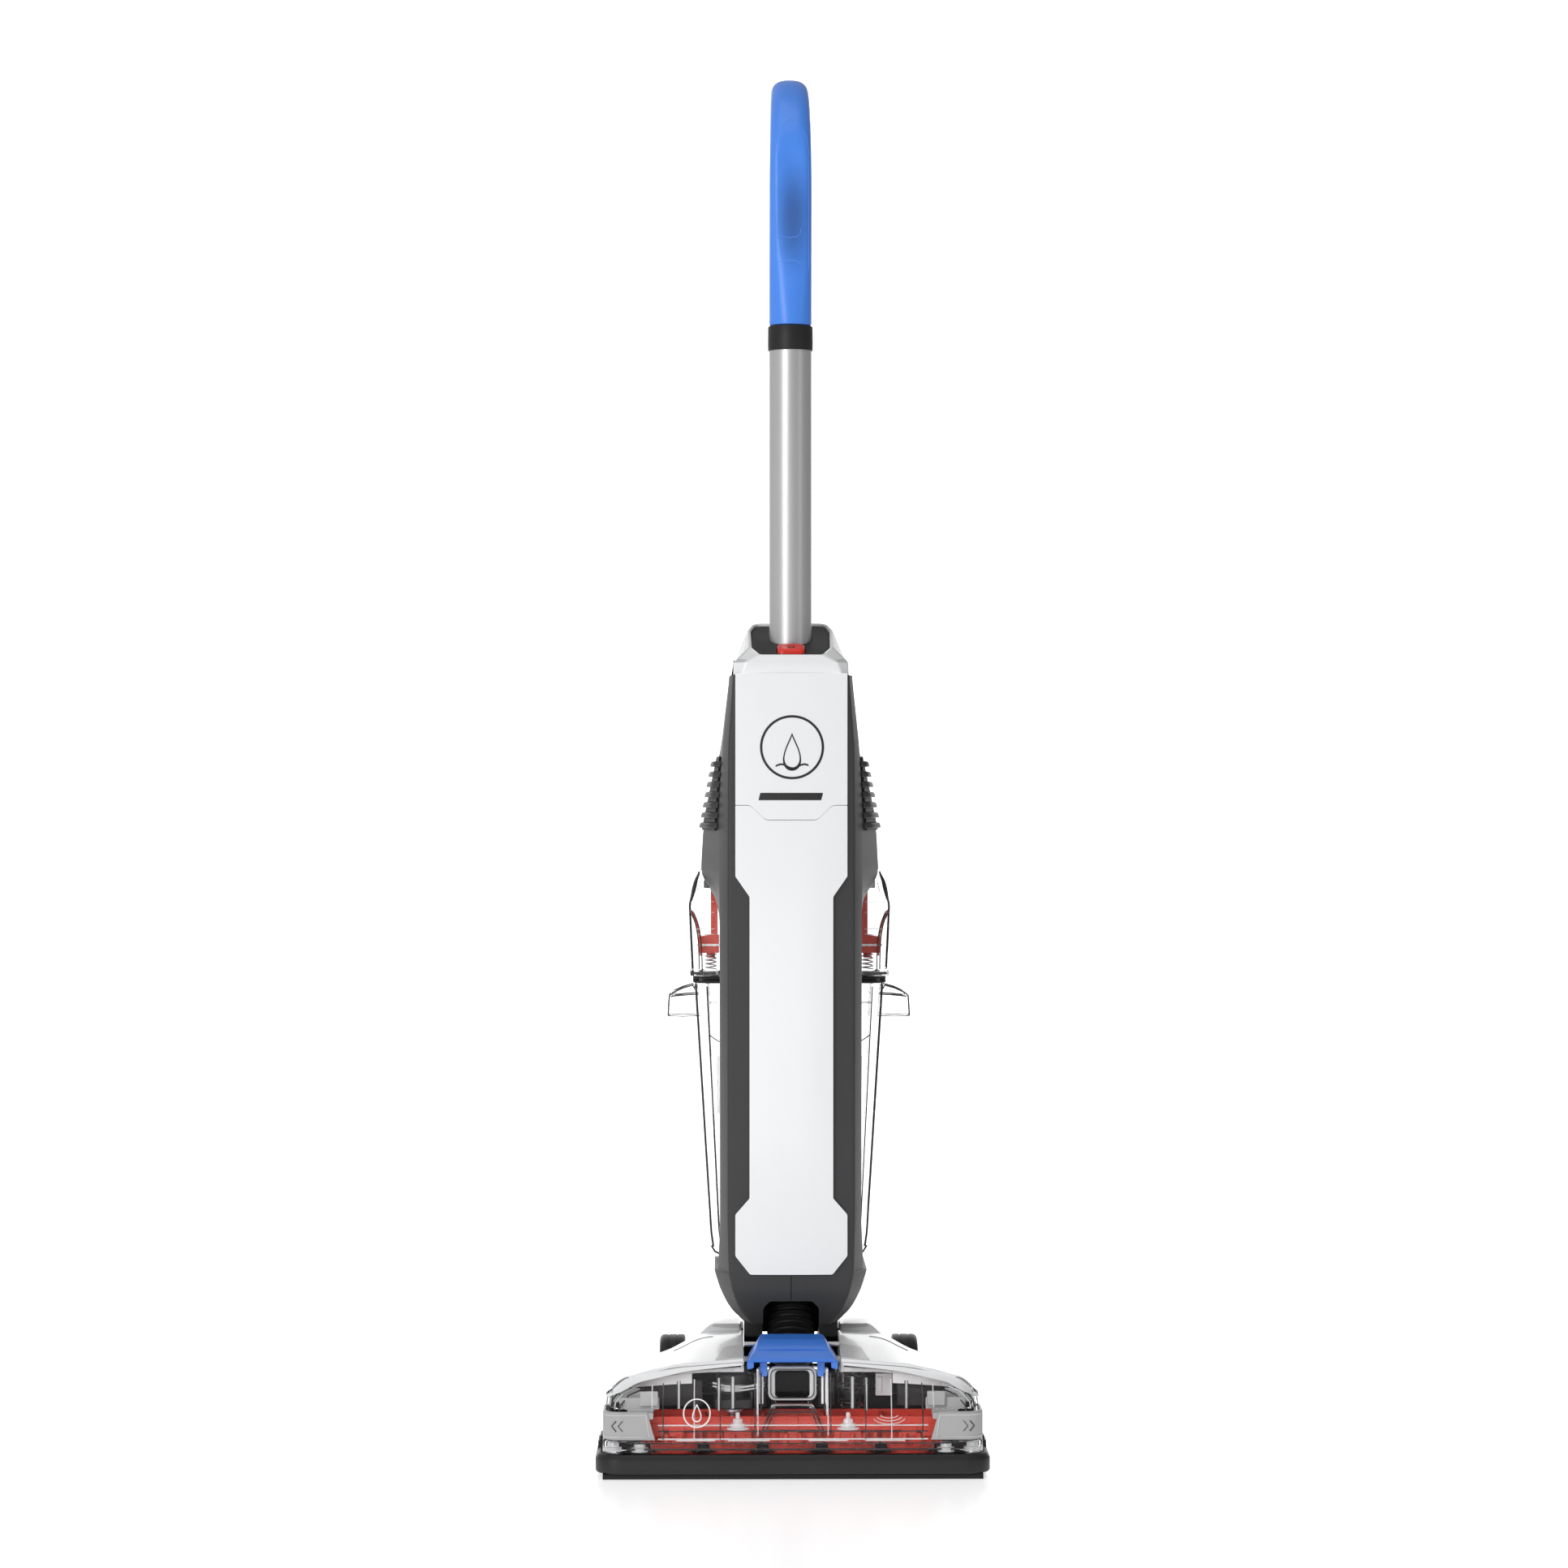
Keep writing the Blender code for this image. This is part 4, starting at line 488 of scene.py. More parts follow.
grip_line("grip_arch_line", [(-0.0128, 0.955), (-0.0130, 1.000), (-0.0127, 1.036), (-0.0120, 1.048), (-0.0098, 1.0535), (-0.0055, 1.0600), (0.0, 1.0655), (0.0055, 1.0610), (0.0098, 1.0550), (0.0128, 1.0500), (0.0140, 1.0400), (0.0143, 1.000), (0.0143, 0.945)], 0.00038)
grip_line("grip_smile_line", [(-0.0108, 0.9762), (-0.0095, 0.9722), (-0.0062, 0.9700), (-0.0020, 0.9698), (-0.0008, 0.9688), (0.0004, 0.9698), (0.0045, 0.9700), (0.0072, 0.9718), (0.0083, 0.9762)], 0.00030)
grip_line("grip_frown_line", [(-0.0108, 0.9485), (-0.0080, 0.9508), (-0.0012, 0.9516), (0.0055, 0.9508), (0.0083, 0.9485)], 0.00030)

# =============================================================== UPRIGHT BODY
HOUSING = [  # z, x1, front y, x2, y2, x3, y3, rear y
    (0.1060, 0.0300, -0.0340, 0.0360, -0.0180, 0.0360, 0.0200, 0.0300),
    (0.1120, 0.0362, -0.0376, 0.0440, -0.0182, 0.0440, 0.0245, 0.0370),
    (0.1200, 0.0412, -0.0405, 0.0502, -0.0180, 0.0502, 0.0285, 0.0430),
    (0.1320, 0.0458, -0.0445, 0.0562, -0.0165, 0.0562, 0.0390, 0.0610),
    (0.1470, 0.0490, -0.0465, 0.0610, -0.0150, 0.0610, 0.0500, 0.0780),
    (0.1480, 0.0490, -0.0465, 0.0580, -0.0150, 0.0570, 0.0300, 0.0365),
    (0.1870, 0.0500, -0.0465, 0.0560, -0.0250, 0.0565, 0.0300, 0.0365),
    (0.4270, 0.0500, -0.0465, 0.0565, -0.0250, 0.0568, 0.0300, 0.0365),
    (0.4430, 0.0500, -0.0465, 0.0568, -0.0240, 0.0600, 0.0320, 0.0365),
    (0.4600, 0.0500, -0.0465, 0.0570, -0.0220, 0.0720, 0.0340, 0.0365),
    (0.4990, 0.0500, -0.0465, 0.0570, -0.0200, 0.0700, 0.0340, 0.0365),
    (0.5640, 0.0495, -0.0465, 0.0545, -0.0240, 0.0556, 0.0340, 0.0365),
    (0.6200, 0.0455, -0.0465, 0.0485, -0.0300, 0.0490, 0.0330, 0.0365)]


def housing_ring(z, row):
    x1, yf, x2, y2, x3, y3, yr = row
    half = [(x1, yf), (x2, y2), (x3, y3), (x3, yr)]
    poly = half + [(-x, y) for x, y in reversed(half)]
    rad = [0.0030, 0.0050, 0.0040, 0.0010]
    return [(x, y, z) for x, y in rounded(poly, rad + rad[::-1], 4)]


def housing_rows():
    rows = []
    for z in frange(0.1060, 0.1470, 12):
        rows.append(housing_ring(z, smoothed(HOUSING[:5], z, 0.003)))
    for z in frange(0.1480, 0.6200, 90):
        rows.append(housing_ring(z, smoothed(HOUSING[5:], z, 0.006)))
    return rows


body_rows = housing_rows()
mouth_pts = rounded([(-0.0222, 0.0850), (0.0222, 0.0850), (0.0222, 0.1190), (0.0170, 0.1250), (-0.0170, 0.1250), (-0.0222, 0.1190)],
                    [0, 0, 0.007, 0.007, 0.007, 0.007], 6)
for s, side in SIDES:
    hb = loft(body_rows)
    geom = hb.verts[:] + hb.edges[:] + hb.faces[:]
    cut = bmesh.ops.bisect_plane(hb, geom=geom, plane_co=(s * 0.00025, 0, 0), plane_no=(s, 0, 0), clear_inner=True)
    rim = [e for e in cut["geom_cut"] if isinstance(e, bmesh.types.BMEdge)]
    bmesh.ops.holes_fill(hb, edges=rim, sides=0)
    h = make("housing_skin_" + side, hb, M_GREY, "upright_body", ("housing_" + side,), sharp=24)
    arm = [(-0.0300, 0.1300), (0.0340, 0.1300), (0.0480, 0.1050)]
    arm += [(0.0400 + 0.0165 * math.cos(math.radians(20 - 180 * k / 28)), 0.0720 + 0.0165 * math.sin(math.radians(20 - 180 * k / 28))) for k in range(29)]
    arm += [(0.0060, 0.0920), (-0.0180, 0.0930)]
    tools = []
    a = make("arm_tmp", prism(rounded(arm, [0.004, 0.004, 0.006] + [0] * 29 + [0.01, 0.004], 4), *sorted((s * 0.0226, s * 0.0370)), "X"), M_GREY, "upright_body")
    m1 = make("mouth_tmp", prism(mouth_pts, -0.0600, 0.0290, "Y"), M_BLACK, "upright_body")
    m2 = make("way_tmp", box(-0.0205, 0.0205, -0.0200, 0.0290, 0.1150, 0.1450), M_BLACK, "upright_body")
    m3 = make("bore_tmp", lathe([(0.0, s * 0.015), (0.0064, s * 0.015), (0.0064, s * 0.05), (0.0, s * 0.05)], (0.0400, 0.0720), "X", 32, closed=False), M_BLACK, "upright_body")
    for other, op in ((a, "UNION"), (m1, "DIFFERENCE"), (m2, "DIFFERENCE"), (m3, "DIFFERENCE")):
        b = h.modifiers.new(op, "BOOLEAN")
        b.operation, b.solver, b.object = op, "EXACT", other
    bake(h, a, m1, m2, m3)
    h.data.shade_smooth()
    h.data.set_sharp_from_angle(angle=math.radians(24))
    b = h.modifiers.new("edge_round", "BEVEL")
    b.width, b.segments, b.limit_method, b.angle_limit, b.harden_normals = 0.0005, 2, "ANGLE", math.radians(40), True
    # a raised half-round frame round the hose mouth is built here and freed again, so nothing is drawn
    if s > 0:
        fr = tube([(x, -0.0425 if z > 0.118 else -0.0335 - (z - 0.106) * 0.62, z) for x, z in
                   [(0.0228, 0.1075), (0.0229, 0.1130), (0.0228, 0.1190)]], 0.0008, 8)
        fr.free()


def crown(x, depth, half=0.0462):
    return depth * (abs(x) / half) ** 2.2


def panel(name, half, radii, yf, yb, depth, m, body, rep, edge=0.0009):
    """A crowned cover plate: an outline with rounded corners, cut into upright strips that follow the crown."""
    poly = half + [(-x, z) for x, z in reversed(half) if x > 1e-9]
    rr = radii + [r for (x, z), r in reversed(list(zip(half, radii))) if x > 1e-9]
    bm = prism(rounded(poly, rr, 7), yf, yb, "Y")
    for k in range(-11, 12):
        g = bm.verts[:] + bm.edges[:] + bm.faces[:]
        bmesh.ops.bisect_plane(bm, geom=g, plane_co=(k * 0.0040, 0, 0), plane_no=(1, 0, 0))
    for v in bm.verts:
        if v.co.y < (yf + yb) / 2:
            v.co.y += crown(v.co.x, depth)
    return make(name, bm, m, body, rep, sharp=40, bevel=edge, seg=3)


lower = [(0.0, 0.5054), (0.0203, 0.5054), (0.0323, 0.5170), (0.0442, 0.5170), (0.0442, 0.4610), (0.0330, 0.4450), (0.0330, 0.2070),
         (0.0442, 0.1942), (0.0442, 0.1615), (0.0325, 0.1470), (0.0, 0.1470)]
panel("front_cover_lower_skin", lower, [0, 0.0075, 0.0075, 0.0006, 0.003, 0.004, 0.003, 0.003, 0.004, 0.003, 0], -0.0515, -0.0469, 0.0022,
      M_WHITE, "upright_body", ("front_cover_lower",))
upper = [(0.0, 0.5058), (0.0205, 0.5058), (0.0325, 0.5174), (0.0442, 0.5174), (0.0442, 0.6215), (0.0, 0.6215)]
panel("front_cover_upper_skin", upper, [0, 0.0075, 0.0075, 0.0006, 0, 0], -0.0515, -0.0469, 0.0022,
      M_WHITE, "upright_body", ("front_cover_upper",))
# dark line behind the seam between the two covers
make("seam_backing", prism(rounded([(-0.0438, 0.5150), (-0.0320, 0.5150), (-0.0200, 0.5035), (0.0200, 0.5035), (0.0320, 0.5150), (0.0438, 0.5150), (0.0438, 0.5195),
                                    (0.0330, 0.5195), (0.0212, 0.5080), (-0.0212, 0.5080), (-0.0330, 0.5195), (-0.0438, 0.5195)], 0.002, 4), -0.0480, -0.0468, "Y"),
     M_MARK, "upright_body", ())

# sloped head: shoulder facets rising to the rim round the collar
TOP = lambda y: 0.6366 + 0.33 * (y + 0.045)


def head_ring(hx, yf, yr, z, ch, hx_top=None, yc=None):
    """Plan outline with chamfered front corners."""
    half = [(hx - ch * 0.9, yf), (hx, yf + ch * 1.25), (hx, yr)]
    poly = half + [(-x, y) for x, y in reversed(half)]
    zf = z if callable(z) else (lambda y: z)
    return [(x, y, zf(y)) for x, y in rounded(poly, [0.0035, 0.0035, 0.004, 0.004, 0.0035, 0.0035], 5)]


rim_half = [(0.0262, -0.0480), (0.0335, -0.0290), (0.0346, 0.0170), (0.0300, 0.0365)]
RIM_R = [0.006, 0.012, 0.014, 0.008]


def rim_ring(off, dz):
    poly = rim_half + [(-x, y) for x, y in reversed(rim_half)]
    pts = rounded(poly, RIM_R + RIM_R[::-1], 7)
    out = []
    for x, y in pts:
        k = 1 + off / 0.034
        out.append((x * k, (y + 0.006) * (1 + off / 0.042) - 0.006, TOP(y) + dz))
    return out


def base_ring(z, hx, yf, ch=0.0):
    """Ring with as many points as the rim, on the wide lower outline."""
    half = [(hx - 0.0055 - ch, yf), (hx, yf + 0.0075 + ch * 1.2), (hx, 0.0200), (hx, 0.0370)]
    poly = half + [(-x, y) for x, y in reversed(half)]
    rr = [0.004, 0.006, 0.001, 0.004]
    return [(x, y, z) for x, y in rounded(poly, rr + rr[::-1], 7)]


def mix_ring(a, b, t):
    return [tuple(p + (q - p) * t for p, q in zip(u, v)) for u, v in zip(a, b)]


lo_r, mid_r, hi_r = base_ring(0.6195, 0.0456, -0.0500), base_ring(0.6300, 0.0456, -0.0507, 0.004), rim_ring(0, 0)
outer = [lo_r, base_ring(0.6225, 0.0456, -0.0505, 0.001), mid_r] + [[(u[0] + (v[0] - u[0]) * t ** 1.1, u[1] + (v[1] - u[1]) * t, u[2] + (v[2] - u[2]) * t) for u, v in zip(mid_r, hi_r)] for t in (0.12, 0.3, 0.5, 0.7, 0.87)] + [hi_r, rim_ring(-0.0007, 0.0006), rim_ring(-0.0020, 0.0005), rim_ring(-0.0028, -0.0004)]
inn = rim_ring(-0.0030, -0.0040)
head = loft(outer + [inn], cap=False)
make("front_cover_head_skin", head, M_WHITE, "upright_body", (), sharp=28)
# painted shade: the head's faces that turn sideways get the pale grey instead of the white, standing in for the shade
# on them
hd = bpy.data.objects["front_cover_head_skin"].data
hd.materials.append(M_PALE_GREY_AND_SHADE)
for f in hd.polygons:
    if abs(f.normal.x) > 0.45 and f.center.z > 0.6305:
        f.material_index = 1
b = bpy.data.objects["front_cover_head_skin"].modifiers.new("thick", "SOLIDIFY")
b.thickness, b.offset = 0.0016, -1

# collar plate with its socket and the button bed
col_half = [(0.0232, -0.0452), (0.0303, -0.0270), (0.0314, 0.0165), (0.0272, 0.0335)]


def collar_ring(off, z):
    poly = col_half + [(-x, y) for x, y in reversed(col_half)]
    rr = [0.006, 0.012, 0.014, 0.007]
    zf = z if callable(z) else (lambda y: z)
    return [(x * (1 + off / 0.031), (y + 0.006) * (1 + off / 0.038) - 0.006, zf(y)) for x, y in rounded(poly, rr + rr[::-1], 7)]


col = make("collar_skin", loft([collar_ring(0, 0.6240), collar_ring(0, lambda y: TOP(y) - 0.0014), collar_ring(-0.0006, lambda y: TOP(y) - 0.0010)]),
           M_COLLAR, "upright_body", ("collar",), sharp=30)
sock = make("socket_tmp", lathe([(0.0, 0.55), (0.0175, 0.55), (0.0175, 0.70), (0.0, 0.70)], (0, 0), "Z", 72, closed=False), M_BLACK, "upright_body")
bed = make("bed_tmp", prism(rounded([(-0.0115, -0.0412), (0.0115, -0.0412), (0.0115, -0.0228), (-0.0115, -0.0228)], 0.0056, 7), 0.60, 0.70, "Z"), M_BLACK, "upright_body")
for other in (sock, bed):
    b = col.modifiers.new("cut", "BOOLEAN")
    b.operation, b.solver, b.object = "DIFFERENCE", "EXACT", other
bake(col, sock, bed)
col.data.shade_smooth()
col.data.set_sharp_from_angle(angle=math.radians(30))
b = col.modifiers.new("edge_round", "BEVEL")
b.width, b.segments, b.limit_method, b.angle_limit, b.harden_normals = 0.0004, 2, "ANGLE", math.radians(40), True
make("collar_sleeve_skin", lathe([(0.0175, 0.5800), (0.0210, 0.5800), (0.0212, 0.5810), (0.0212, 0.6300), (0.0175, 0.6300)], (0, 0), "Z", 72), M_GREY_D, "upright_body", ())
make("collar_bed_floor", prism(rounded([(-0.0125, -0.0420), (0.0125, -0.0420), (0.0125, -0.0220), (-0.0125, -0.0220)], 0.005, 5), 0.6242, 0.6262, "Z"), M_BLACK, "upright_body", ())


def button_ring(hx, y0, y1, dz):
    poly = [(hx, y0), (hx, y1), (-hx, y1), (-hx, y0)]
    return [(x, y, TOP(y) + dz) for x, y in rounded(poly, 0.0052, 8)]


bt = loft([button_ring(0.0108, -0.0405, -0.0238, -0.008), button_ring(0.0108, -0.0405, -0.0238, 0.0008), button_ring(0.0104, -0.0401, -0.0242, 0.0018),
           button_ring(0.0096, -0.0393, -0.0250, 0.0024), button_ring(0.0070, -0.0365, -0.0275, 0.0023), button_ring(0.0040, -0.0340, -0.0300, 0.0019)])
make("power_button_skin", bt, M_RED_B, "power_button", ("power_button",), sharp=60)
mk = [tube([(0.0026 * math.cos(a), -0.0322 + 0.0026 * math.sin(a), TOP(-0.0322 + 0.0026 * math.sin(a)) + 0.00215) for a in [math.radians(125 + 290 * k / 20) for k in range(21)]], 0.00028, 6),
      tube([(0, -0.0312, TOP(-0.0312) + 0.00215), (0, -0.0286, TOP(-0.0286) + 0.0023)], 0.00028, 6)]
make("power_button_mark", join_all(mk), M_MARK, "power_button", ())

# generic droplet mark and plain bar on the upper cover
FACE = lambda x: -0.0515 + crown(x, 0.0022) - 0.00012


def flat_mark(name, outline, hole=None, m=M_MARK, z_split=0.004):
    """A thin printed shape lying on the crowned cover."""
    bm = bmesh.new()
    if hole is None:
        vs = [bm.verts.new((x, 0, z)) for x, z in outline]
        bm.faces.new(vs)
        bmesh.ops.triangulate(bm, faces=bm.faces[:])
    else:
        a = [bm.verts.new((x, 0, z)) for x, z in outline]
        b = [bm.verts.new((x, 0, z)) for x, z in hole]
        for i in range(len(a)):
            bm.faces.new((a[i], a[(i + 1) % len(a)], b[(i + 1) % len(a)], b[i]))
    for k in range(-9, 10):
        g = bm.verts[:] + bm.edges[:] + bm.faces[:]
        bmesh.ops.bisect_plane(bm, geom=g, plane_co=(k * 0.003, 0, 0), plane_no=(1, 0, 0))
    for v in bm.verts:
        v.co.y = FACE(v.co.x)
    me = bpy.data.meshes.new(name)
    bm.normal_update()
    bm.to_mesh(me)
    bm.free()
    o = bpy.data.objects.new(name, me)
    bpy.context.scene.collection.objects.link(o)
    me.materials.append(m)
    sol = o.modifiers.new("ink", "SOLIDIFY")
    sol.thickness, sol.offset = 0.00012, 0
    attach(o, "upright_body")
    return o


EZ = 0.5630


def circ(r, cx=0.0005, cz=EZ, n=72, a0=0.0):
    return [(cx + r * math.cos(a0 + 2 * math.pi * k / n), cz + r * math.sin(a0 + 2 * math.pi * k / n)) for k in range(n)]


def drop(k, cx=0.0005, cz=EZ - 0.0035, n=72):
    pts = []
    for i in range(n):
        t = 2 * math.pi * i / n
        x = math.sin(t) * math.sin(t / 2) ** 1.6 * 1.18
        z = -math.cos(t + math.pi) * 1.0
        pts.append((cx + 0.0078 * k * x, cz + 0.0125 * k * (-math.cos(t + math.pi)) * 0.9))
    return [(cx + (0.0080 * k) * (math.sin(2 * math.pi * i / n) * math.sin(math.pi * i / n) ** 1.5), cz + 0.0118 * k * math.cos(2 * math.pi * i / n)) for i in range(n)]


flat_mark("round_mark_ring", circ(0.0253), circ(0.0234))
flat_mark("round_mark_drop", drop(1.28), drop(1.06))
flat_mark("round_mark_wave_a", [(-0.0125 + 0.026 * t, EZ - 0.0150 + 0.0016 * math.sin(t * 9) + 0.0007) for t in frange(0, 1, 24)] + [(-0.0125 + 0.026 * t, EZ - 0.0150 + 0.0016 * math.sin(t * 9) - 0.0007) for t in frange(1, 0, 24)])
flat_mark("title_bar", rounded([(-0.0260, 0.5212), (0.0235, 0.5212), (0.0250, 0.5270), (-0.0245, 0.5270)], 0.0004, 3))

# ---- louvred vents
def facet(z):
    r = smoothed(HOUSING[5:], z, 0.006)
    return Vector((r[2], r[3], z)), Vector((r[4], r[5], z))


for s, side in SIDES:
    parts = []
    # recessed dark bed
    rings = []
    for f in (0.16, 0.5, 0.96):
        ring = []
        for z, off in [(0.4970, 0.0006), (0.4970, 0.0020), (0.5560, 0.0020), (0.5560, 0.0006)]:
            p, q = facet(z)
            d = (q - p).normalized()
            c = p + (q - p) * f + Vector((d.y, -d.x, 0)) * off
            ring.append((s * c.x, c.y, c.z))
        rings.append(ring)
    make("vent_bed_" + side, loft(rings), M_BLACK, "upright_body", ())
    for k in range(7):
        z0 = 0.4985 + 0.0082 * k
        rings = []
        for f, out in ((0.10, 0.0004), (0.13, 0.0024), (0.17, 0.0043), (0.24, 0.0054), (0.40, 0.0058), (0.60, 0.0058), (0.82, 0.0056), (0.93, 0.0040), (0.97, 0.0012)):
            ring = []
            for dz, off in [(0.0000, 0.0006), (0.0002, out), (0.0009, out + 0.0005), (0.0036, out + 0.0002), (0.0044, out - 0.0004), (0.0050, 0.0006)]:
                p, q = facet(z0 + dz)
                d = (q - p).normalized()
                c = p + (q - p) * f + Vector((d.y, -d.x, 0)) * off
                ring.append((s * c.x, c.y, c.z))
            rings.append(ring)
        parts.append(loft(rings))
    make("vent_slats_" + side, join_all(parts), M_GREY, "upright_body", ("vent_grille_" + side,), sharp=40, bevel=0.0003, seg=2)

# ---- motor cover behind the spine, with its own rear slots
POD = [(0.4660, 0.0720, 0.1060), (0.4990, 0.0700, 0.1030), (0.5640, 0.0556, 0.0840), (0.6000, 0.0515, 0.0680), (0.6340, 0.0450, 0.0560)]
pod_rings = []
for z in frange(0.4660, 0.6340, 40):
    hx, y1 = smoothed(POD, z, 0.010)
    pod_rings.append(rrect(hx, 0.0372, y1, z, 0.015, 8))
last_hx, last_y = POD[-1][1:]
pod_rings.append(rrect(last_hx - 0.002, 0.0372, last_y - 0.002, 0.6352, 0.013, 8))
pod = make("motor_cover_skin", loft(pod_rings), M_GREY, "upright_body", ("motor_cover",), sharp=40)
slots = []
for k in range(6):
    z = 0.5080 + 0.0090 * k
    slots.append(prism(rounded([(-0.0300 + 0.002 * k, z), (0.0300 - 0.002 * k, z), (0.0300 - 0.002 * k, z + 0.0036), (-0.0300 + 0.002 * k, z + 0.0036)], 0.0017, 5), 0.0900 - 0.0052 * k, 0.1150, "Y"))
sl = make("pod_slots_tmp", join_all(slots), M_BLACK, "upright_body")
b = pod.modifiers.new("slots", "BOOLEAN")
b.operation, b.solver, b.object = "DIFFERENCE", "EXACT", sl
bake(pod, sl)
pod.data.shade_smooth()
pod.data.set_sharp_from_angle(angle=math.radians(35))
rib_parts = []
for k in range(4):
    z = 0.5700 + 0.0100 * k
    hx, y1 = smoothed(POD, z, 0.010)
    if k != 3:
        rib_parts.append(tube([(x, y1 + 0.0003, z) for x in frange(-0.026, 0.026, 12)], 0.0007, 8))
make("motor_cover_ribs", join_all(rib_parts), M_GREY, "upright_body", ())
for s in (-1, 1):
    screw = lathe([(0.0, 0.1058), (0.0042, 0.1058), (0.0044, 0.1052), (0.0044, 0.1010), (0.0, 0.1010)], (s * 0.0500, 0.4790), "Y", 28, closed=False)
    make("motor_cover_screw_" + ("l" if s < 0 else "r"), screw, M_STEEL, "upright_body", ())

# =============================================================== TANKS
CLEAN = [(0.1484, 0.0545), (0.1700, 0.0580), (0.3720, 0.0680)]
co, ci = [], []
for z in [0.1484, 0.1490, 0.1505] + frange(0.1530, 0.3720, 24):
    hx = smoothed(CLEAN, z, 0.008)[0]
    d = {0.1484: 0.0022, 0.1490: 0.0009, 0.1505: 0.0}.get(z, 0.0)
    co.append(rrect(hx - d, 0.0374 + d, 0.0650 - d, z, 0.008, 7))
for z in frange(0.1506, 0.3720, 27):
    hx = smoothed(CLEAN, z, 0.008)[0] - 0.0022
    ci.append(rrect(hx, 0.0396, 0.0628, z, 0.006, 7))
make("clean_tank_skin", shell(co, ci, False, True), M_CLEAR, "tanks", ("clean_tank",), sharp=50)

DIRTY = [(0.1484, 0.0585, 0.0940), (0.1560, 0.0640, 0.1000), (0.1950, 0.0665, 0.1180), (0.3720, 0.0775, 0.1300)]
do, di = [], []
zs = [0.1484, 0.1490, 0.1505] + frange(0.1530, 0.3720, 30)
for z in zs:
    hx, y1 = smoothed(DIRTY, z, 0.004)
    d = {0.1484: 0.0024, 0.1490: 0.0010, 0.1505: 0.0}.get(z, 0.0)
    do.append(rrect(hx - d, 0.0656 + d, y1 - d, z, 0.014, 9))
for z in frange(0.1510, 0.3720, 33):
    hx, y1 = smoothed(DIRTY, z, 0.004)
    di.append(rrect(hx - 0.0025, 0.0681, y1 - 0.0025, z, 0.0115, 9))
make("dirty_tank_skin", shell(do, di, False, True), M_CLEAR, "tanks", ("dirty_tank",), sharp=50)

for s, side in SIDES:
    # finger grips: hollow boxes with a pitched roof, open downwards
    def ear(rows, r, seg=5):
        rings = []
        for z, x0, x1, y0, y1, tilt in rows:
            cx, hx = (x0 + x1) / 2, (x1 - x0) / 2
            rings.append([(x, y, z + tilt * (x - cx) / max(hx, 1e-6)) for x, y, _ in rrect(hx, y0, y1, 0, r, seg, cx)])
        return rings
    eo = ear([(0.3430, 0.0740, 0.0992, 0.0858, 0.1152, 0), (0.3520, 0.0742, 0.0986, 0.0859, 0.1151, 0), (0.3600, 0.0744, 0.0980, 0.0860, 0.1150, 0.0),
              (0.3622, 0.0746, 0.0972, 0.0864, 0.1146, -0.0004), (0.3660, 0.0748, 0.0955, 0.0876, 0.1134, -0.0028)], 0.0022)
    ei = ear([(0.3430, 0.0762, 0.0972, 0.0880, 0.1130, 0), (0.3520, 0.0763, 0.0967, 0.0881, 0.1129, 0), (0.3592, 0.0764, 0.0962, 0.0882, 0.1128, 0.0),
              (0.3606, 0.0766, 0.0955, 0.0886, 0.1124, -0.0004), (0.3638, 0.0768, 0.0940, 0.0896, 0.1114, -0.0026)], 0.0012)
    bm = sided(shell(eo, ei, True, False), s)
    make("tank_grip_skin_" + side, bm, M_CLEAR, "tanks", (), sharp=35)
    # the finger grips' edges drawn as dark lines, painted shade of their clear walls
    lines = []
    for yy in (0.0859, 0.1150):
        path = [(0.0753, yy, 0.3440), (0.0752, yy, 0.3560), (0.0753, yy, 0.3625), (0.0790, yy, 0.3686), (0.0870, yy, 0.3664), (0.0950, yy, 0.3628), (0.0981, yy, 0.3602), (0.0986, yy, 0.3540), (0.0991, yy, 0.3436)]
        lines.append(tube([(s * x, y, z) for x, y, z in path], 0.00065, 6))
        lines.append(tube([(s * x, yy, z) for x, z in ((0.0770, 0.3612), (0.0860, 0.3606), (0.0970, 0.3596))], 0.0006, 6))
        lines.append(tube([(s * x, yy, z) for x, z in ((0.0752, 0.3436), (0.0870, 0.3432), (0.0990, 0.3436))], 0.0004, 6))
    make("tank_grip_edges_" + side, join_all(lines), M_CLEAR_EDGE_SHADE, "tanks", ())
    # thick moulded edges drawn as dark lines, painted shade of the clear edges: front edge of the rear tank, and the
    # inner stop rib
    edge = tube([(s * (smoothed(DIRTY, z, 0.004)[0] - 0.0012), 0.0690, z) for z in frange(0.1560, 0.3700, 20)], 0.00085, 8)
    edge2 = tube([(s * (smoothed(CLEAN, z, 0.006)[0] - 0.0008), 0.0382, z) for z in frange(0.1620, 0.3700, 20)], 0.0005, 8)
    bot = tube([(s * x, 0.0670, z) for x, z in ((0.0560, 0.1500), (0.0605, 0.1520), (0.0635, 0.1570))], 0.0008, 8)
    make("tank_edge_lines_" + side, join_all([edge, edge2, bot]), M_CLEAR_EDGE_SHADE, "tanks", ())
    rib = [box(*sorted((s * 0.0585, s * 0.0660)), 0.0400, 0.0412, 0.3560, 0.3578), box(*sorted((s * 0.0570, s * 0.0596)), 0.0630, 0.0645, 0.2650, 0.3120)]
    make("tank_inner_ribs_" + side, join_all(rib), M_CLEAR_E, "tanks", (), bevel=0.0003, seg=2)
    # slanting level line, drawn dark as painted shade
    slant = tube([(s * 0.0568, 0.0402, 0.3250), (s * 0.0600, 0.0402, 0.3270), (s * 0.0650, 0.0402, 0.3305)], 0.0005, 6)
    make("tank_level_line_" + side, slant, M_CLEAR_EDGE_SHADE, "tanks", ())
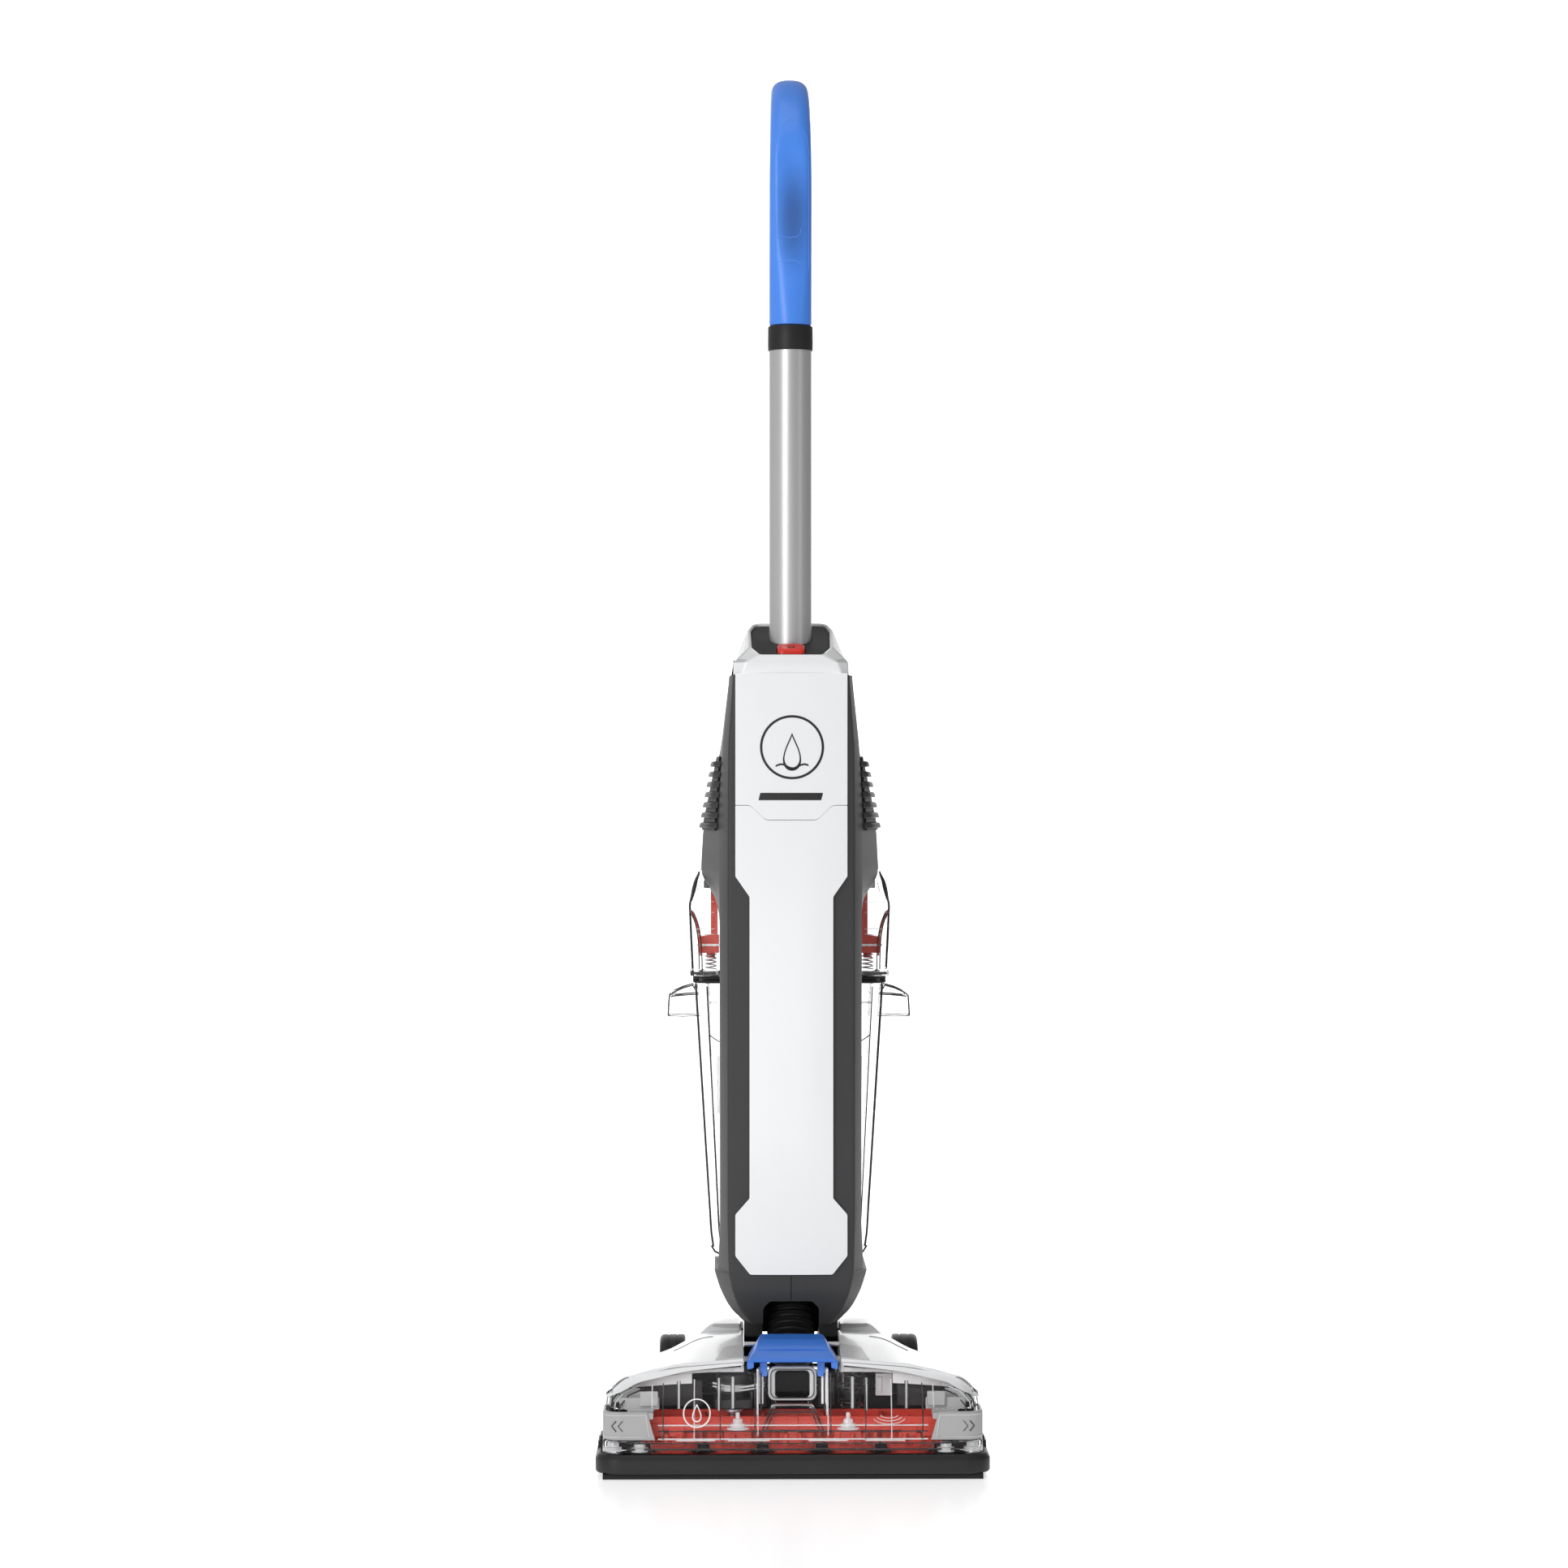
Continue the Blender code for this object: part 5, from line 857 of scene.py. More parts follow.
# float cage inside and behind the dirty tank
make("tank_float_cage", join_all([tube([(x, 0.0980, z) for z in frange(0.300, 0.372, 4)], 0.0009, 8) for x in (-0.018, -0.006, 0.006, 0.018)] +
                                 [lathe([(0.0185, z), (0.0205, z), (0.0205, z + 0.0016), (0.0185, z + 0.0016)], (0, 0.0980), "Z", 40) for z in (0.300, 0.334, 0.3688)]),
     M_CLEAR_E, "tanks", ())
# level scale of raised bars on the rear of the dirty tank
scale = []
for k in range(9):
    z = 0.1980 + 0.0180 * k
    hx, y1 = smoothed(DIRTY, z, 0.004)
    w = 0.0090 if k % 2 == 0 else 0.0055
    scale.append(tube([(-0.0500, y1 + 0.0001, z), (-0.0500 + w, y1 + 0.0001, z)], 0.0004, 6))
make("tank_level_bars", join_all(scale), M_MARK, "tanks", ())

SEAL_Z = [(0.3724, 0.0012), (0.3732, 0.0), (0.3748, 0.0), (0.3752, 0.0009), (0.3758, 0.0), (0.3772, 0.0), (0.3780, 0.0010)]
seal = make("tank_seal_skin", loft([rrect(0.0785 - d, 0.0374 + d, 0.1310 - d, z, 0.014, 9) for z, d in SEAL_Z]), M_BLACK, "tanks", ("tank_seal",), sharp=50)
ha = make("seal_a_tmp", loft([rrect(0.0640, 0.0400, 0.0620, z, 0.004, 5) for z in (0.3600, 0.3900)]), M_BLACK, "tanks")
hb_ = make("seal_b_tmp", loft([rrect(0.0735, 0.0690, 0.1260, z, 0.010, 7) for z in (0.3600, 0.3900)]), M_BLACK, "tanks")
for other in (ha, hb_):
    b = seal.modifiers.new("cut", "BOOLEAN")
    b.operation, b.solver, b.object = "DIFFERENCE", "EXACT", other
bake(seal, ha, hb_)
seal.data.shade_smooth()
seal.data.set_sharp_from_angle(angle=math.radians(50))

LID = [(0.3784, 0.0795, 0.1320), (0.4360, 0.0822, 0.1330), (0.4560, 0.0775, 0.1240), (0.4650, 0.0732, 0.1100)]
lo, li = [], []
lz = [0.3784, 0.3790, 0.3830, 0.3834] + frange(0.3860, 0.4300, 8) + frange(0.4325, 0.4640, 16) + [0.4648]
for z in lz:
    hx, y1 = smoothed(LID, z, 0.0022)
    flange = 0.0012 if z < 0.3832 else 0.0
    d = 0.0012 if z == 0.4648 else 0.0
    lo.append(rrect(hx + flange - d, 0.0376 + d, y1 + flange * 0.6 - d, z, 0.014, 9))
for z in frange(0.3784, 0.4622, 28):
    hx, y1 = smoothed(LID, z, 0.0022)
    li.append(rrect(hx - 0.0026, 0.0402, y1 - 0.0026, z, 0.0115, 9))
make("tank_lid_skin", shell(lo, li, True, False), M_CLEAR, "tanks", ("tank_lid",), sharp=40)
for s, side in SIDES:
    dark = []
    # the wall seen edge-on along the upper slopes and the shoulder, drawn dark as painted shade
    for yy, r in ((0.0415, 0.0013), (0.1190, 0.0012)):
        path = [(smoothed(LID, z, 0.002)[0] - 0.0016, yy if yy < 0.1 else min(yy, smoothed(LID, z, 0.002)[1] - 0.010), z) for z in frange(0.4385, 0.4615, 12)]
        dark.append(tube([(s * x, y, z) for x, y, z in path], lambda f, r=r: r * (0.45 + 0.9 * math.sin(math.pi * min(1, max(0, f)))), 8))
    low = [(smoothed(LID, z, 0.002)[0] - 0.0010, 0.0450, z) for z in frange(0.3980, 0.4180, 8)]
    dark.append(tube([(s * x, y, z) for x, y, z in low], 0.0007, 8))
    make("lid_edge_dark_" + side, join_all(dark), M_CLEAR_EDGE_SHADE, "tanks", ())
    # the lid's inner rib is drawn as two dark lines, painted shade
    curve = catmull([(0.0808, 0.0480, 0.4320), (0.0792, 0.0480, 0.4288), (0.0762, 0.0480, 0.4200), (0.0742, 0.0480, 0.4080), (0.0735, 0.0480, 0.3950), (0.0733, 0.0480, 0.3835)], 6)
    ribs = [tube([(s * p.x, p.y, p.z) for p in curve], 0.0005, 8), tube([(s * (p.x - 0.0024), p.y, p.z - 0.0012) for p in curve], 0.0005, 8)]
    make("lid_inner_rib_" + side, join_all(ribs), M_CLEAR_EDGE_SHADE, "tanks", ())
    rr = [tube([(s * (p.x - 0.0012), p.y + 0.0010, p.z - 0.0006) for p in curve[:-6]], 0.0006, 8)]
    make("lid_red_tint_" + side, join_all(rr), M_RED, "tanks", ())
    # horizontal stiffening lines, spring seat and the small grey lock block
    hz = [tube([(s * 0.0610, 0.0402, z), (s * (smoothed(LID, z, 0.002)[0] - 0.004), 0.0402, z)], 0.00035, 6) for z in (0.4300, 0.4385, 0.4165, 0.4122)]
    make("lid_cross_lines_" + side, join_all(hz), M_CLEAR_E, "tanks", ())
    make("lid_lock_block_" + side, box(*sorted((s * 0.0585, s * 0.0695)), 0.0420, 0.0520, 0.4495, 0.4560), M_LGREY if s > 0 else M_GREY, "tanks", (), bevel=0.0008)
    seat = [lathe([(0.0030, 0.3784), (0.0066, 0.3784), (0.0066, 0.3812), (0.0030, 0.3812)], (s * 0.0640, 0.0690), "Z", 32)]
    make("lid_spring_seat_" + side, join_all(seat), M_CLEAR_E, "tanks", ())
    # flange lines drawn dark as painted shade
    fl = [box(*sorted((s * 0.0600, s * 0.0790)), 0.0390, 0.0402, 0.3796, 0.3818), box(*sorted((s * 0.0640, s * 0.0735)), 0.0392, 0.0408, 0.3738, 0.3772)]
    make("lid_flange_lines_" + side, join_all(fl), M_CLEAR_EDGE_SHADE, "tanks", (), bevel=0.0003, seg=2)
    # coil spring
    pts = []
    for k in range(4 * 24 + 1):
        a = 2 * math.pi * k / 24
        pts.append((s * 0.0640 + 0.0046 * math.cos(a), 0.0690 + 0.0046 * math.sin(a), 0.3825 + 0.0124 * k / 96))
    make("latch_spring_skin_" + side, tube(pts, 0.0006, 8), M_STEEL, "tanks", ("latch_spring_" + side,))
    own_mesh(bpy.data.objects["latch_spring_skin_" + side])

# red yoke on the springs
yk = [tube([(x, 0.0680, 0.4510 + 0.0016 * math.cos(x / 0.064 * math.pi / 2)) for x in frange(-0.0615, 0.0615, 24)], 0.0030, 12, flat=1.25)]
for s in (-1, 1):
    leg = prism(rounded([(0.0590, 0.4090), (0.0640, 0.4090), (0.0640, 0.4490), (0.0628, 0.4535), (0.0602, 0.4535), (0.0590, 0.4490)], 0.0008, 4), 0.0600, 0.0760, "Y")
    yk.append(sided(leg, s))
    foot = prism(rounded([(0.0572, 0.3962), (0.0745, 0.3962), (0.0745, 0.4092), (0.0650, 0.4110), (0.0572, 0.4110)], 0.0010, 4), 0.0590, 0.0790, "Y")
    yk.append(sided(foot, s))
    stub = lathe([(0.0, 0.3920), (0.0032, 0.3920), (0.0036, 0.3926), (0.0036, 0.3965), (0.0, 0.3965)], (s * 0.0640, 0.0690), "Z", 32, closed=False)
    yk.append(stub)
make("lid_latch_skin", join_all(yk), M_RED, "lid_latch", ("lid_latch",), sharp=40, bevel=0.0005, seg=2)
for s, side in SIDES:
    band = [box(*sorted((s * 0.0560, s * 0.0760)), 0.0578, 0.0592, 0.4020, 0.4036)]
    win = [box(*sorted((s * x, s * (x + 0.0026))), 0.0570, 0.0580, 0.4018, 0.4038) for x in (0.0590, 0.0640, 0.0690)]
    make("lid_latch_band_" + side, join_all(band + win), M_MARK_W, "lid_latch", (), bevel=0.0003, seg=2)
    arc = catmull([(0.0615, 0.0570, 0.4555), (0.0602, 0.0500, 0.4520), (0.0588, 0.0440, 0.4460), (0.0582, 0.0420, 0.4370), (0.0581, 0.0415, 0.4200), (0.0581, 0.0415, 0.4050)], 5)
    make("lid_latch_arch_" + side, tube([(s * (p.x + 0.0010), p.y, p.z) for p in arc], 0.0009, 8), M_RED, "lid_latch", ())

# =============================================================== HOSE: a ribbed tube
HOSE_0, HOSE_DIR = Vector((0, -0.0280, 0.0860)), Vector((0, 0.0320, 0.0540)).normalized()
HN = Vector((0, HOSE_DIR.z, -HOSE_DIR.y))


def hose_ring(t, r, n=56):
    c = HOSE_0 + HOSE_DIR * t
    return [c + Vector((1, 0, 0)) * (r * math.cos(q)) + HN * (r * math.sin(q)) for q in [2 * math.pi * k / n for k in range(n)]]


ho, RIBS, HL = [], 11, 0.0600
for k in range(RIBS):
    for f in range(8):
        a = 2 * math.pi * f / 8
        ho.append(hose_ring(HL * (k + f / 8) / RIBS, 0.0170 + 0.0016 * (-math.cos(a)) + 0.0003 * math.cos(2 * a)))
ho.append(hose_ring(HL, 0.0158))
hi = [hose_ring(HL * k / 88, 0.0147) for k in range(89)]
hose_bm = shell(ho, hi, True, True)
bmesh.ops.recalc_face_normals(hose_bm, faces=hose_bm.faces[:])
hme = bpy.data.meshes.new("suction_hose_skin")
hose_bm.to_mesh(hme)
hose_bm.free()
hose = bpy.data.objects.new("suction_hose_skin", hme)
bpy.context.scene.collection.objects.link(hose)
hme.materials.append(M_BLACK)
hme.shade_smooth()
hme.set_sharp_from_angle(angle=math.radians(70))
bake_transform(hose)
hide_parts("suction_hose")

# black plate behind the hose, closing the gaps at its sides: painted shade seen through them
make("neck_gap_shade_plate", box(-0.0235, 0.0235, 0.0300, 0.0312, 0.0915, 0.1240), M_BLACK, "upright_body", ())

# =============================================================== BASE
ZT = [(0, 0.0848), (0.034, 0.0842), (0.087, 0.0803), (0.115, 0.0760), (0.133, 0.0709), (0.1455, 0.0575), (0.150, 0.0560)]


def ztop(x):
    """Height of the nozzle window's upper edge, with its corners eased."""
    x = abs(x)
    acc = 0
    for k in (-1, -0.5, 0, 0.5, 1):
        acc += lerp_rows(ZT, max(0.0, min(0.150, x + k * 0.0035)))[0]
    return acc / 5


def u_path(hx, yf, yr, rc, seg=12, n_front=40, n_side=10):
    right = [(hx, yr + (yf + rc - yr) * k / n_side) for k in range(n_side)]
    for k in range(seg + 1):
        a = math.radians(-90 * k / seg)
        right.append((hx - rc + rc * math.cos(a), yf + rc + rc * math.sin(a)))
    x1 = hx - rc
    right += [(x1 * (1 - k / n_front), yf) for k in range(1, n_front)]
    return right + [(0.0, yf)] + [(-x, y) for x, y in reversed(right)]


WIN = [(0.00, 0.1468, -0.1348, 0.014), (0.40, 0.1465, -0.1335, 0.014), (0.72, 0.1455, -0.1240, 0.015), (1.00, 0.1440, -0.1035, 0.016)]
WALL = 0.0024
win_bm = bmesh.new()
rows = []
ts = [0.0, 0.015] + frange(0.05, 0.95, 15) + [0.985, 1.0]
for t in ts:
    hx, yf, rc = smoothed(WIN, t, 0.06)
    ins = 0.0006 if t in (0.0, 1.0) else 0.0
    out, inn_ = u_path(hx - ins, yf + ins, -0.0600, rc), u_path(hx - WALL + ins, yf + WALL - ins, -0.0600, rc - WALL * 0.6)
    rows.append([[win_bm.verts.new((p[0], p[1], 0.0195 + (ztop(q[0]) - 0.0195) * t)) for p, q in zip(sd, out)] for sd in (out, inn_)])
n = len(rows[0][0])
for a, b in zip(rows, rows[1:]):
    for k in (0, 1):
        for i in range(n - 1):
            win_bm.faces.new((a[k][i], a[k][i + 1], b[k][i + 1], b[k][i]))
    for i in (0, n - 1):
        win_bm.faces.new((a[0][i], a[1][i], b[1][i], b[0][i]))
for r in (rows[0], rows[-1]):
    for i in range(n - 1):
        win_bm.faces.new((r[0][i], r[0][i + 1], r[1][i + 1], r[1][i]))
win = make("nozzle_window_skin", win_bm, M_CLEAR, "nozzle", ("nozzle_window",), sharp=45)
gaps = []
for s in (-1, 1):
    out = rounded([(s * 0.1010, 0.0285), (s * 0.1700, 0.0285), (s * 0.1700, 0.0525), (s * 0.1060, 0.0525)], [0.0015, 0, 0, 0.004], 5)
    gaps.append(prism(out, -0.150, -0.0895, "Y"))
gp = make("gaps_tmp", join_all(gaps), M_CLEAR, "nozzle")
b = win.modifiers.new("tab_gaps", "BOOLEAN")
b.operation, b.solver, b.object = "DIFFERENCE", "EXACT", gp
bake(win, gp)
win.data.shade_smooth()
win.data.set_sharp_from_angle(angle=math.radians(45))


def win_y(x, z):
    """Front face of the window at height z, inside."""
    t = (z - 0.0195) / (ztop(x) - 0.0195)
    return smoothed(WIN, t, 0.06)[1] + WALL


# ribs, posts and studs moulded inside the window: some drawn pale as painted highlights, the rest as dark lines painted
# as shade
dark_shade_lines, ribs, bright = [], [], []
top_line = [(x, win_y(x, ztop(x) - 0.0016) + 0.0004, ztop(x) - 0.0016) for x in frange(0.0400, 0.1400, 40)]
for s in (-1, 1):
    dark_shade_lines.append(tube([(s * x, y, z) for x, y, z in top_line], 0.0007, 8))
    bright.append(tube([(s * x, y + 0.0004, z - 0.0024) for x, y, z in top_line[2:]], 0.00045, 6))
    # corner boss and side steps
    for x, z0, z1 in ((0.0270, 0.0330, 0.0780), (0.0292, 0.0330, 0.0775), (0.0560, 0.0300, 0.0740), (0.0760, 0.0300, 0.0730), (0.1000, 0.0300, 0.0700), (0.1085, 0.0530, 0.0690)):
        m_ = tube([(s * x, win_y(x, z) + 0.0012, z) for z in frange(z0, z1, 10)], 0.00045, 6)
        (bright if x in (0.0270, 0.0760, 0.1085) else dark_shade_lines).append(m_)
    for x0, x1, z0, z1, dy in ((0.1180, 0.1340, 0.0540, 0.0655, 0.004), (0.0450, 0.0476, 0.0500, 0.0745, 0.003), (0.0560, 0.0582, 0.0480, 0.0735, 0.005), (0.0870, 0.0892, 0.0500, 0.0715, 0.003), (0.1280, 0.1390, 0.0535, 0.0600, 0.010)):
        y0 = win_y(x1, z1) + dy
        ribs.append(box(*sorted((s * x0, s * x1)), y0, y0 + 0.0012, z0, z1))
        fr = [(x0, z0), (x1, z0), (x1, z1), (x0, z1), (x0, z0)]
        dark_shade_lines.append(tube([(s * x, y0 - 0.0003, z) for x, z in fr], 0.0004, 6))
    c = (s * 0.0425, -0.1265)
    stud = [(0.0, 0.0500), (0.0012, 0.0500), (0.0016, 0.0490), (0.0017, 0.0455), (0.0034, 0.0450), (0.0038, 0.0440), (0.0038, 0.0418), (0.0055, 0.0414), (0.0058, 0.0404), (0.0058, 0.0388), (0.0082, 0.0384), (0.0086, 0.0374), (0.0, 0.0374)]
    bright.append(lathe(stud, c, "Z", 32, closed=False))
    corner = [(0.0, 0.0270), (0.0040, 0.0270), (0.0044, 0.0262), (0.0044, 0.0235), (0.0066, 0.0230), (0.0066, 0.0200), (0.0, 0.0200)]
    bright.append(lathe(corner, (s * 0.1385, -0.1215), "Z", 28, closed=False))
    bright.append(lathe(corner, (s * 0.1180, -0.1255), "Z", 28, closed=False))
    # sloping side buttress near the top corner
    for k, (dx, dz) in enumerate(((0.0, 0.0), (0.0028, -0.0022), (0.0062, -0.0046))):
        p = [(0.1200 - dx, 0.0705 + dz), (0.1330 - dx, 0.0650 + dz), (0.1395 - dx, 0.0580 + dz), (0.1402 - dx, 0.0535 + dz)]
        tb = tube([(s * x, win_y(min(x, 0.132), z) + 0.0030 + 0.003 * k, z) for x, z in p], 0.0006, 8)
        (dark_shade_lines if k != 1 else bright).append(tb)
# lower shelf lines running across
for z, r, grp in ((0.0405, 0.00055, bright), (0.0360, 0.0005, dark_shade_lines), (0.0300, 0.0007, bright), (0.0268, 0.0005, dark_shade_lines), (0.0222, 0.0008, dark_shade_lines)):
    grp.append(tube([(x, win_y(0, z) + 0.0018, z) for x in frange(-0.104 if z > 0.0285 else -0.128, 0.104 if z > 0.0285 else 0.128, 60)], r, 6))
for x0, x1 in ((-0.0900, -0.0600), (-0.0500, -0.0180), (0.0120, 0.0420), (0.0560, 0.0860)):
    bright.append(tube([(x, win_y(0, 0.0290) + 0.0022, 0.0290) for x in frange(x0, x1, 12)], 0.0008, 8))
make("window_ribs_painted_highlight", join_all(bright), M_CLEAR_E, "nozzle", (), sharp=45)
make("window_ribs_painted_shade", join_all(dark_shade_lines), M_CLEAR_EDGE_SHADE, "nozzle", (), sharp=45)
make("window_ribs_steps", join_all(ribs), M_CLEAR_E, "nozzle", (), bevel=0.0003, seg=2)

# small plain marks printed on the window, in place of lettering
def win_mark(name, pts, w=0.00045):
    """A thin printed line on the outside of the window."""
    o = make(name, tube([(x, smoothed(WIN, (z - 0.0195) / (ztop(x) - 0.0195), 0.06)[1] - 0.00005, z) for x, z in pts], w, 6, flat=0.4), M_MARK_W, "nozzle", ())
    return o


win_mark("window_mark_ring", [(-0.0740 + 0.0102 * math.cos(2 * math.pi * k / 48), 0.0500 + 0.0102 * math.sin(2 * math.pi * k / 48)) for k in range(49)], 0.00055)
dp = [(-0.0740 + 0.0046 * (math.sin(2 * math.pi * i / 40) * math.sin(math.pi * i / 40) ** 1.5), 0.0502 + 0.0062 * math.cos(2 * math.pi * i / 40)) for i in range(41)]
win_mark("window_mark_drop", dp, 0.0005)
for k in range(3):
    win_mark(f"window_mark_arc_{k+1}", [(0.0740 + (0.0128 - 0.0028 * k) * math.cos(math.radians(200 + 140 * i / 30)), 0.0478 + 0.0008 * k + (0.0058 - 0.0014 * k) * math.sin(math.radians(200 + 140 * i / 30))) for i in range(31)], 0.0005)

# white trim along the window's upper edge, running down the outer corners
ZB = [(0, 0.0832), (0.0380, 0.0834), (0.0824, 0.0790), (0.1208, 0.0706), (0.1330, 0.0640), (0.1440, 0.0585), (0.1500, 0.0560)]


def trim_row(u, off):
    """One ring of the trim: u from its lower edge to its top, pushed out by off from the window's skin."""
    ring = []
    base = u_path(0.1460, -0.1300, -0.0640, 0.015, 12, 40, 10)
    for x0, y0 in base:
        zt = ztop(x0) + 0.0016
        zb = smoothed(ZB, abs(x0), 0.003)[0]
        z = zb + (zt - zb) * u
        t = min(1.0, (z - 0.0195) / (ztop(x0) - 0.0195))
        hx, yf, rc = smoothed(WIN, t, 0.06)
        k = (hx + off) / 0.1460
        front = max(0.0, min(1.0, (-0.0640 - y0) / (0.1300 - 0.0640)))
        ring.append((x0 * k, -0.0640 + (yf - off + 0.0640) * front, z))
    return ring


tb_out = [trim_row(u, o_) for u, o_ in ((0.0, 0.0004), (0.02, 0.0009), (0.10, 0.0011), (0.35, 0.0011), (0.65, 0.0010), (0.92, 0.0009), (1.0, 0.0003))]
tb_in = [trim_row(u, -0.0004) for u in (0.0, 0.02, 0.10, 0.35, 0.65, 0.92, 1.0)]
trim = bmesh.new()
vo_ = [[trim.verts.new(p) for p in r] for r in tb_out]
vi_ = [[trim.verts.new(p) for p in r] for r in tb_in]
n_ = len(vo_[0])
keep = [not (abs(tb_out[3][i][0]) < 0.0372 and tb_out[3][i][1] < -0.09) for i in range(n_)]
for g in (vo_, vi_):
    for a, b in zip(g, g[1:]):
        for i in range(n_ - 1):
            if keep[i] and keep[i + 1]:
                trim.faces.new((a[i], a[i + 1], b[i + 1], b[i]))
for k in (0, -1):
    for i in range(n_ - 1):
        if keep[i] and keep[i + 1]:
            trim.faces.new((vo_[k][i], vo_[k][i + 1], vi_[k][i + 1], vi_[k][i]))
for e in [v for v in trim.verts if not v.link_faces]:
    trim.verts.remove(e)
make("window_white_trim", trim, M_WHITE, "nozzle", (), sharp=40)

# ---- duct behind the window, flared to the floor, and its gasket
def rect_ring(hx, z0, z1, y, r=0.003, seg=8):
    pts = []
    for sx, sz, a0 in ((1, -1, -90), (1, 1, 0), (-1, 1, 90), (-1, -1, 180)):
        ox, oz = sx * (hx - r), (z0 + r if sz < 0 else z1 - r)
        for k in range(seg + 1):
            a = math.radians(a0 + 90 * k / seg)
            pts.append((ox + r * math.cos(a), y, oz + r * math.sin(a)))
    return pts


duct_parts = [shell([rect_ring(0.0155, 0.0547, 0.0800, y, 0.004) for y in frange(-0.0950, -0.0580, 6)],
                    [rect_ring(0.0130, 0.0572, 0.0777, y) for y in frange(-0.0950, -0.0580, 6)], True, True)]
fl = catmull([(0.0150, -0.0880, 0.0538), (0.0155, -0.0945, 0.0520), (0.0165, -0.1060, 0.0500), (0.0182, -0.1150, 0.0470), (0.0206, -0.1195, 0.0415), (0.0235, -0.1212, 0.0350)], 5)
fb = []
for i, p in enumerate(fl):
    t = (fl[min(i + 1, len(fl) - 1)] - fl[max(i - 1, 0)]).normalized()
    nn = Vector((0, -t.z, t.y)).normalized() * -0.0018
    if nn.z < 0 and i < 8:
        nn = -nn
    fb.append([(-p.x, p.y, p.z), (p.x, p.y, p.z), (p.x, p.y + abs(nn.y), p.z + abs(nn.z)), (-p.x, p.y + abs(nn.y), p.z + abs(nn.z))])
duct_parts.append(loft(fb))
make("nozzle_duct_skin", join_all(duct_parts), M_CLEAR, "nozzle", ("nozzle_duct",), sharp=40)
# edges of the duct's clear flare drawn as dark lines, painted shade
de = []
for s in (-1, 1):
    de.append(tube([(s * p.x, p.y - 0.0006, p.z + 0.0004) for p in fl], 0.0007, 8))
    de.append(tube([(s * (p.x - 0.0030), p.y - 0.0008, p.z + 0.0004) for p in fl[6:]], 0.0005, 8))
    de.append(tube([(s * 0.0245, -0.1180 + 0.001 * k, z) for k, z in enumerate(frange(0.0500, 0.0780, 8))], 0.0007, 8))
de.append(tube([(x, -0.1216, 0.0353) for x in frange(-0.0235, 0.0235, 20)], 0.0006, 8))
de.append(tube([(x, -0.1140, 0.0482) for x in frange(-0.0178, 0.0178, 20)], 0.0005, 8))
make("duct_flare_edges", join_all(de), M_CLEAR_EDGE_SHADE, "nozzle", ())
seal_o = [rect_ring(0.0188 - d, 0.0548 + d, 0.0810 - d, y, 0.0055) for y, d in ((-0.0986, 0.0009), (-0.0983, 0.0003), (-0.0977, 0.0), (-0.0955, 0.0))]
seal_i = [rect_ring(0.0134 + d, 0.0566 - d, 0.0781 + d, y, 0.0035) for y, d in ((-0.0986, 0.0007), (-0.0983, 0.0002), (-0.0977, 0.0), (-0.0955, 0.0))]
make("duct_seal_skin", shell(seal_o, seal_i, True, True), M_PALE_GREY_AND_SHADE, "nozzle", ("duct_seal",), sharp=60)
# the gasket's groove drawn as a dark line, painted shade
groove = [tube([Vector(p) + Vector((0, -0.0990 + 0.0986, 0)) for p in rect_ring(0.0168, 0.0570, 0.0792, -0.0988, 0.0048)] + [Vector(rect_ring(0.0168, 0.0570, 0.0792, -0.0992, 0.0048)[0])], 0.0004, 6)]
make("duct_seal_groove", join_all(groove), M_CLEAR_EDGE_SHADE, "nozzle", ())
# the two bright posts either side of the duct mouth
posts = []
for s in (-1, 1):
    posts.append(box(*sorted((s * 0.0262, s * 0.0278)), -0.1030, -0.0960, 0.0440, 0.0800))
    posts.append(box(*sorted((s * 0.0225, s * 0.0262)), -0.0975, -0.0960, 0.0520, 0.0800))
make("duct_side_posts", join_all(posts), M_MARK_W, "nozzle", (), bevel=0.0004, seg=2)
# near-black sleeve and plate painted as the shade inside the duct, seen through it
sleeve = shell([rect_ring(0.01295, 0.05725, 0.07765, y) for y in (-0.0948, -0.0590)], [rect_ring(0.0123, 0.0579, 0.0770, y) for y in (-0.0948, -0.0590)], True, True)
make("duct_throat", sleeve, M_SHADE_FILL, "nozzle", (), sharp=60)
make("duct_dark", prism(rounded([(-0.0122, 0.0580), (0.0122, 0.0580), (0.0122, 0.0769), (-0.0122, 0.0769)], 0.003, 6), -0.0880, -0.0865, "Y"), M_SHADE_FILL, "nozzle", ())

# ---- bumper, lips
def bumper_ring(dx, z, di=0.0):
    out = u_path(0.1522 - dx, -0.1400 + dx, -0.0580, 0.019 - min(dx, 0.004), 14, 30, 8)
    inn2 = u_path(0.1436 + di, -0.1316 - di, -0.0580, 0.010, 14, 30, 8)
    return [(x, y, z) for x, y in out] + [(x, y, z) for x, y in reversed(inn2)]


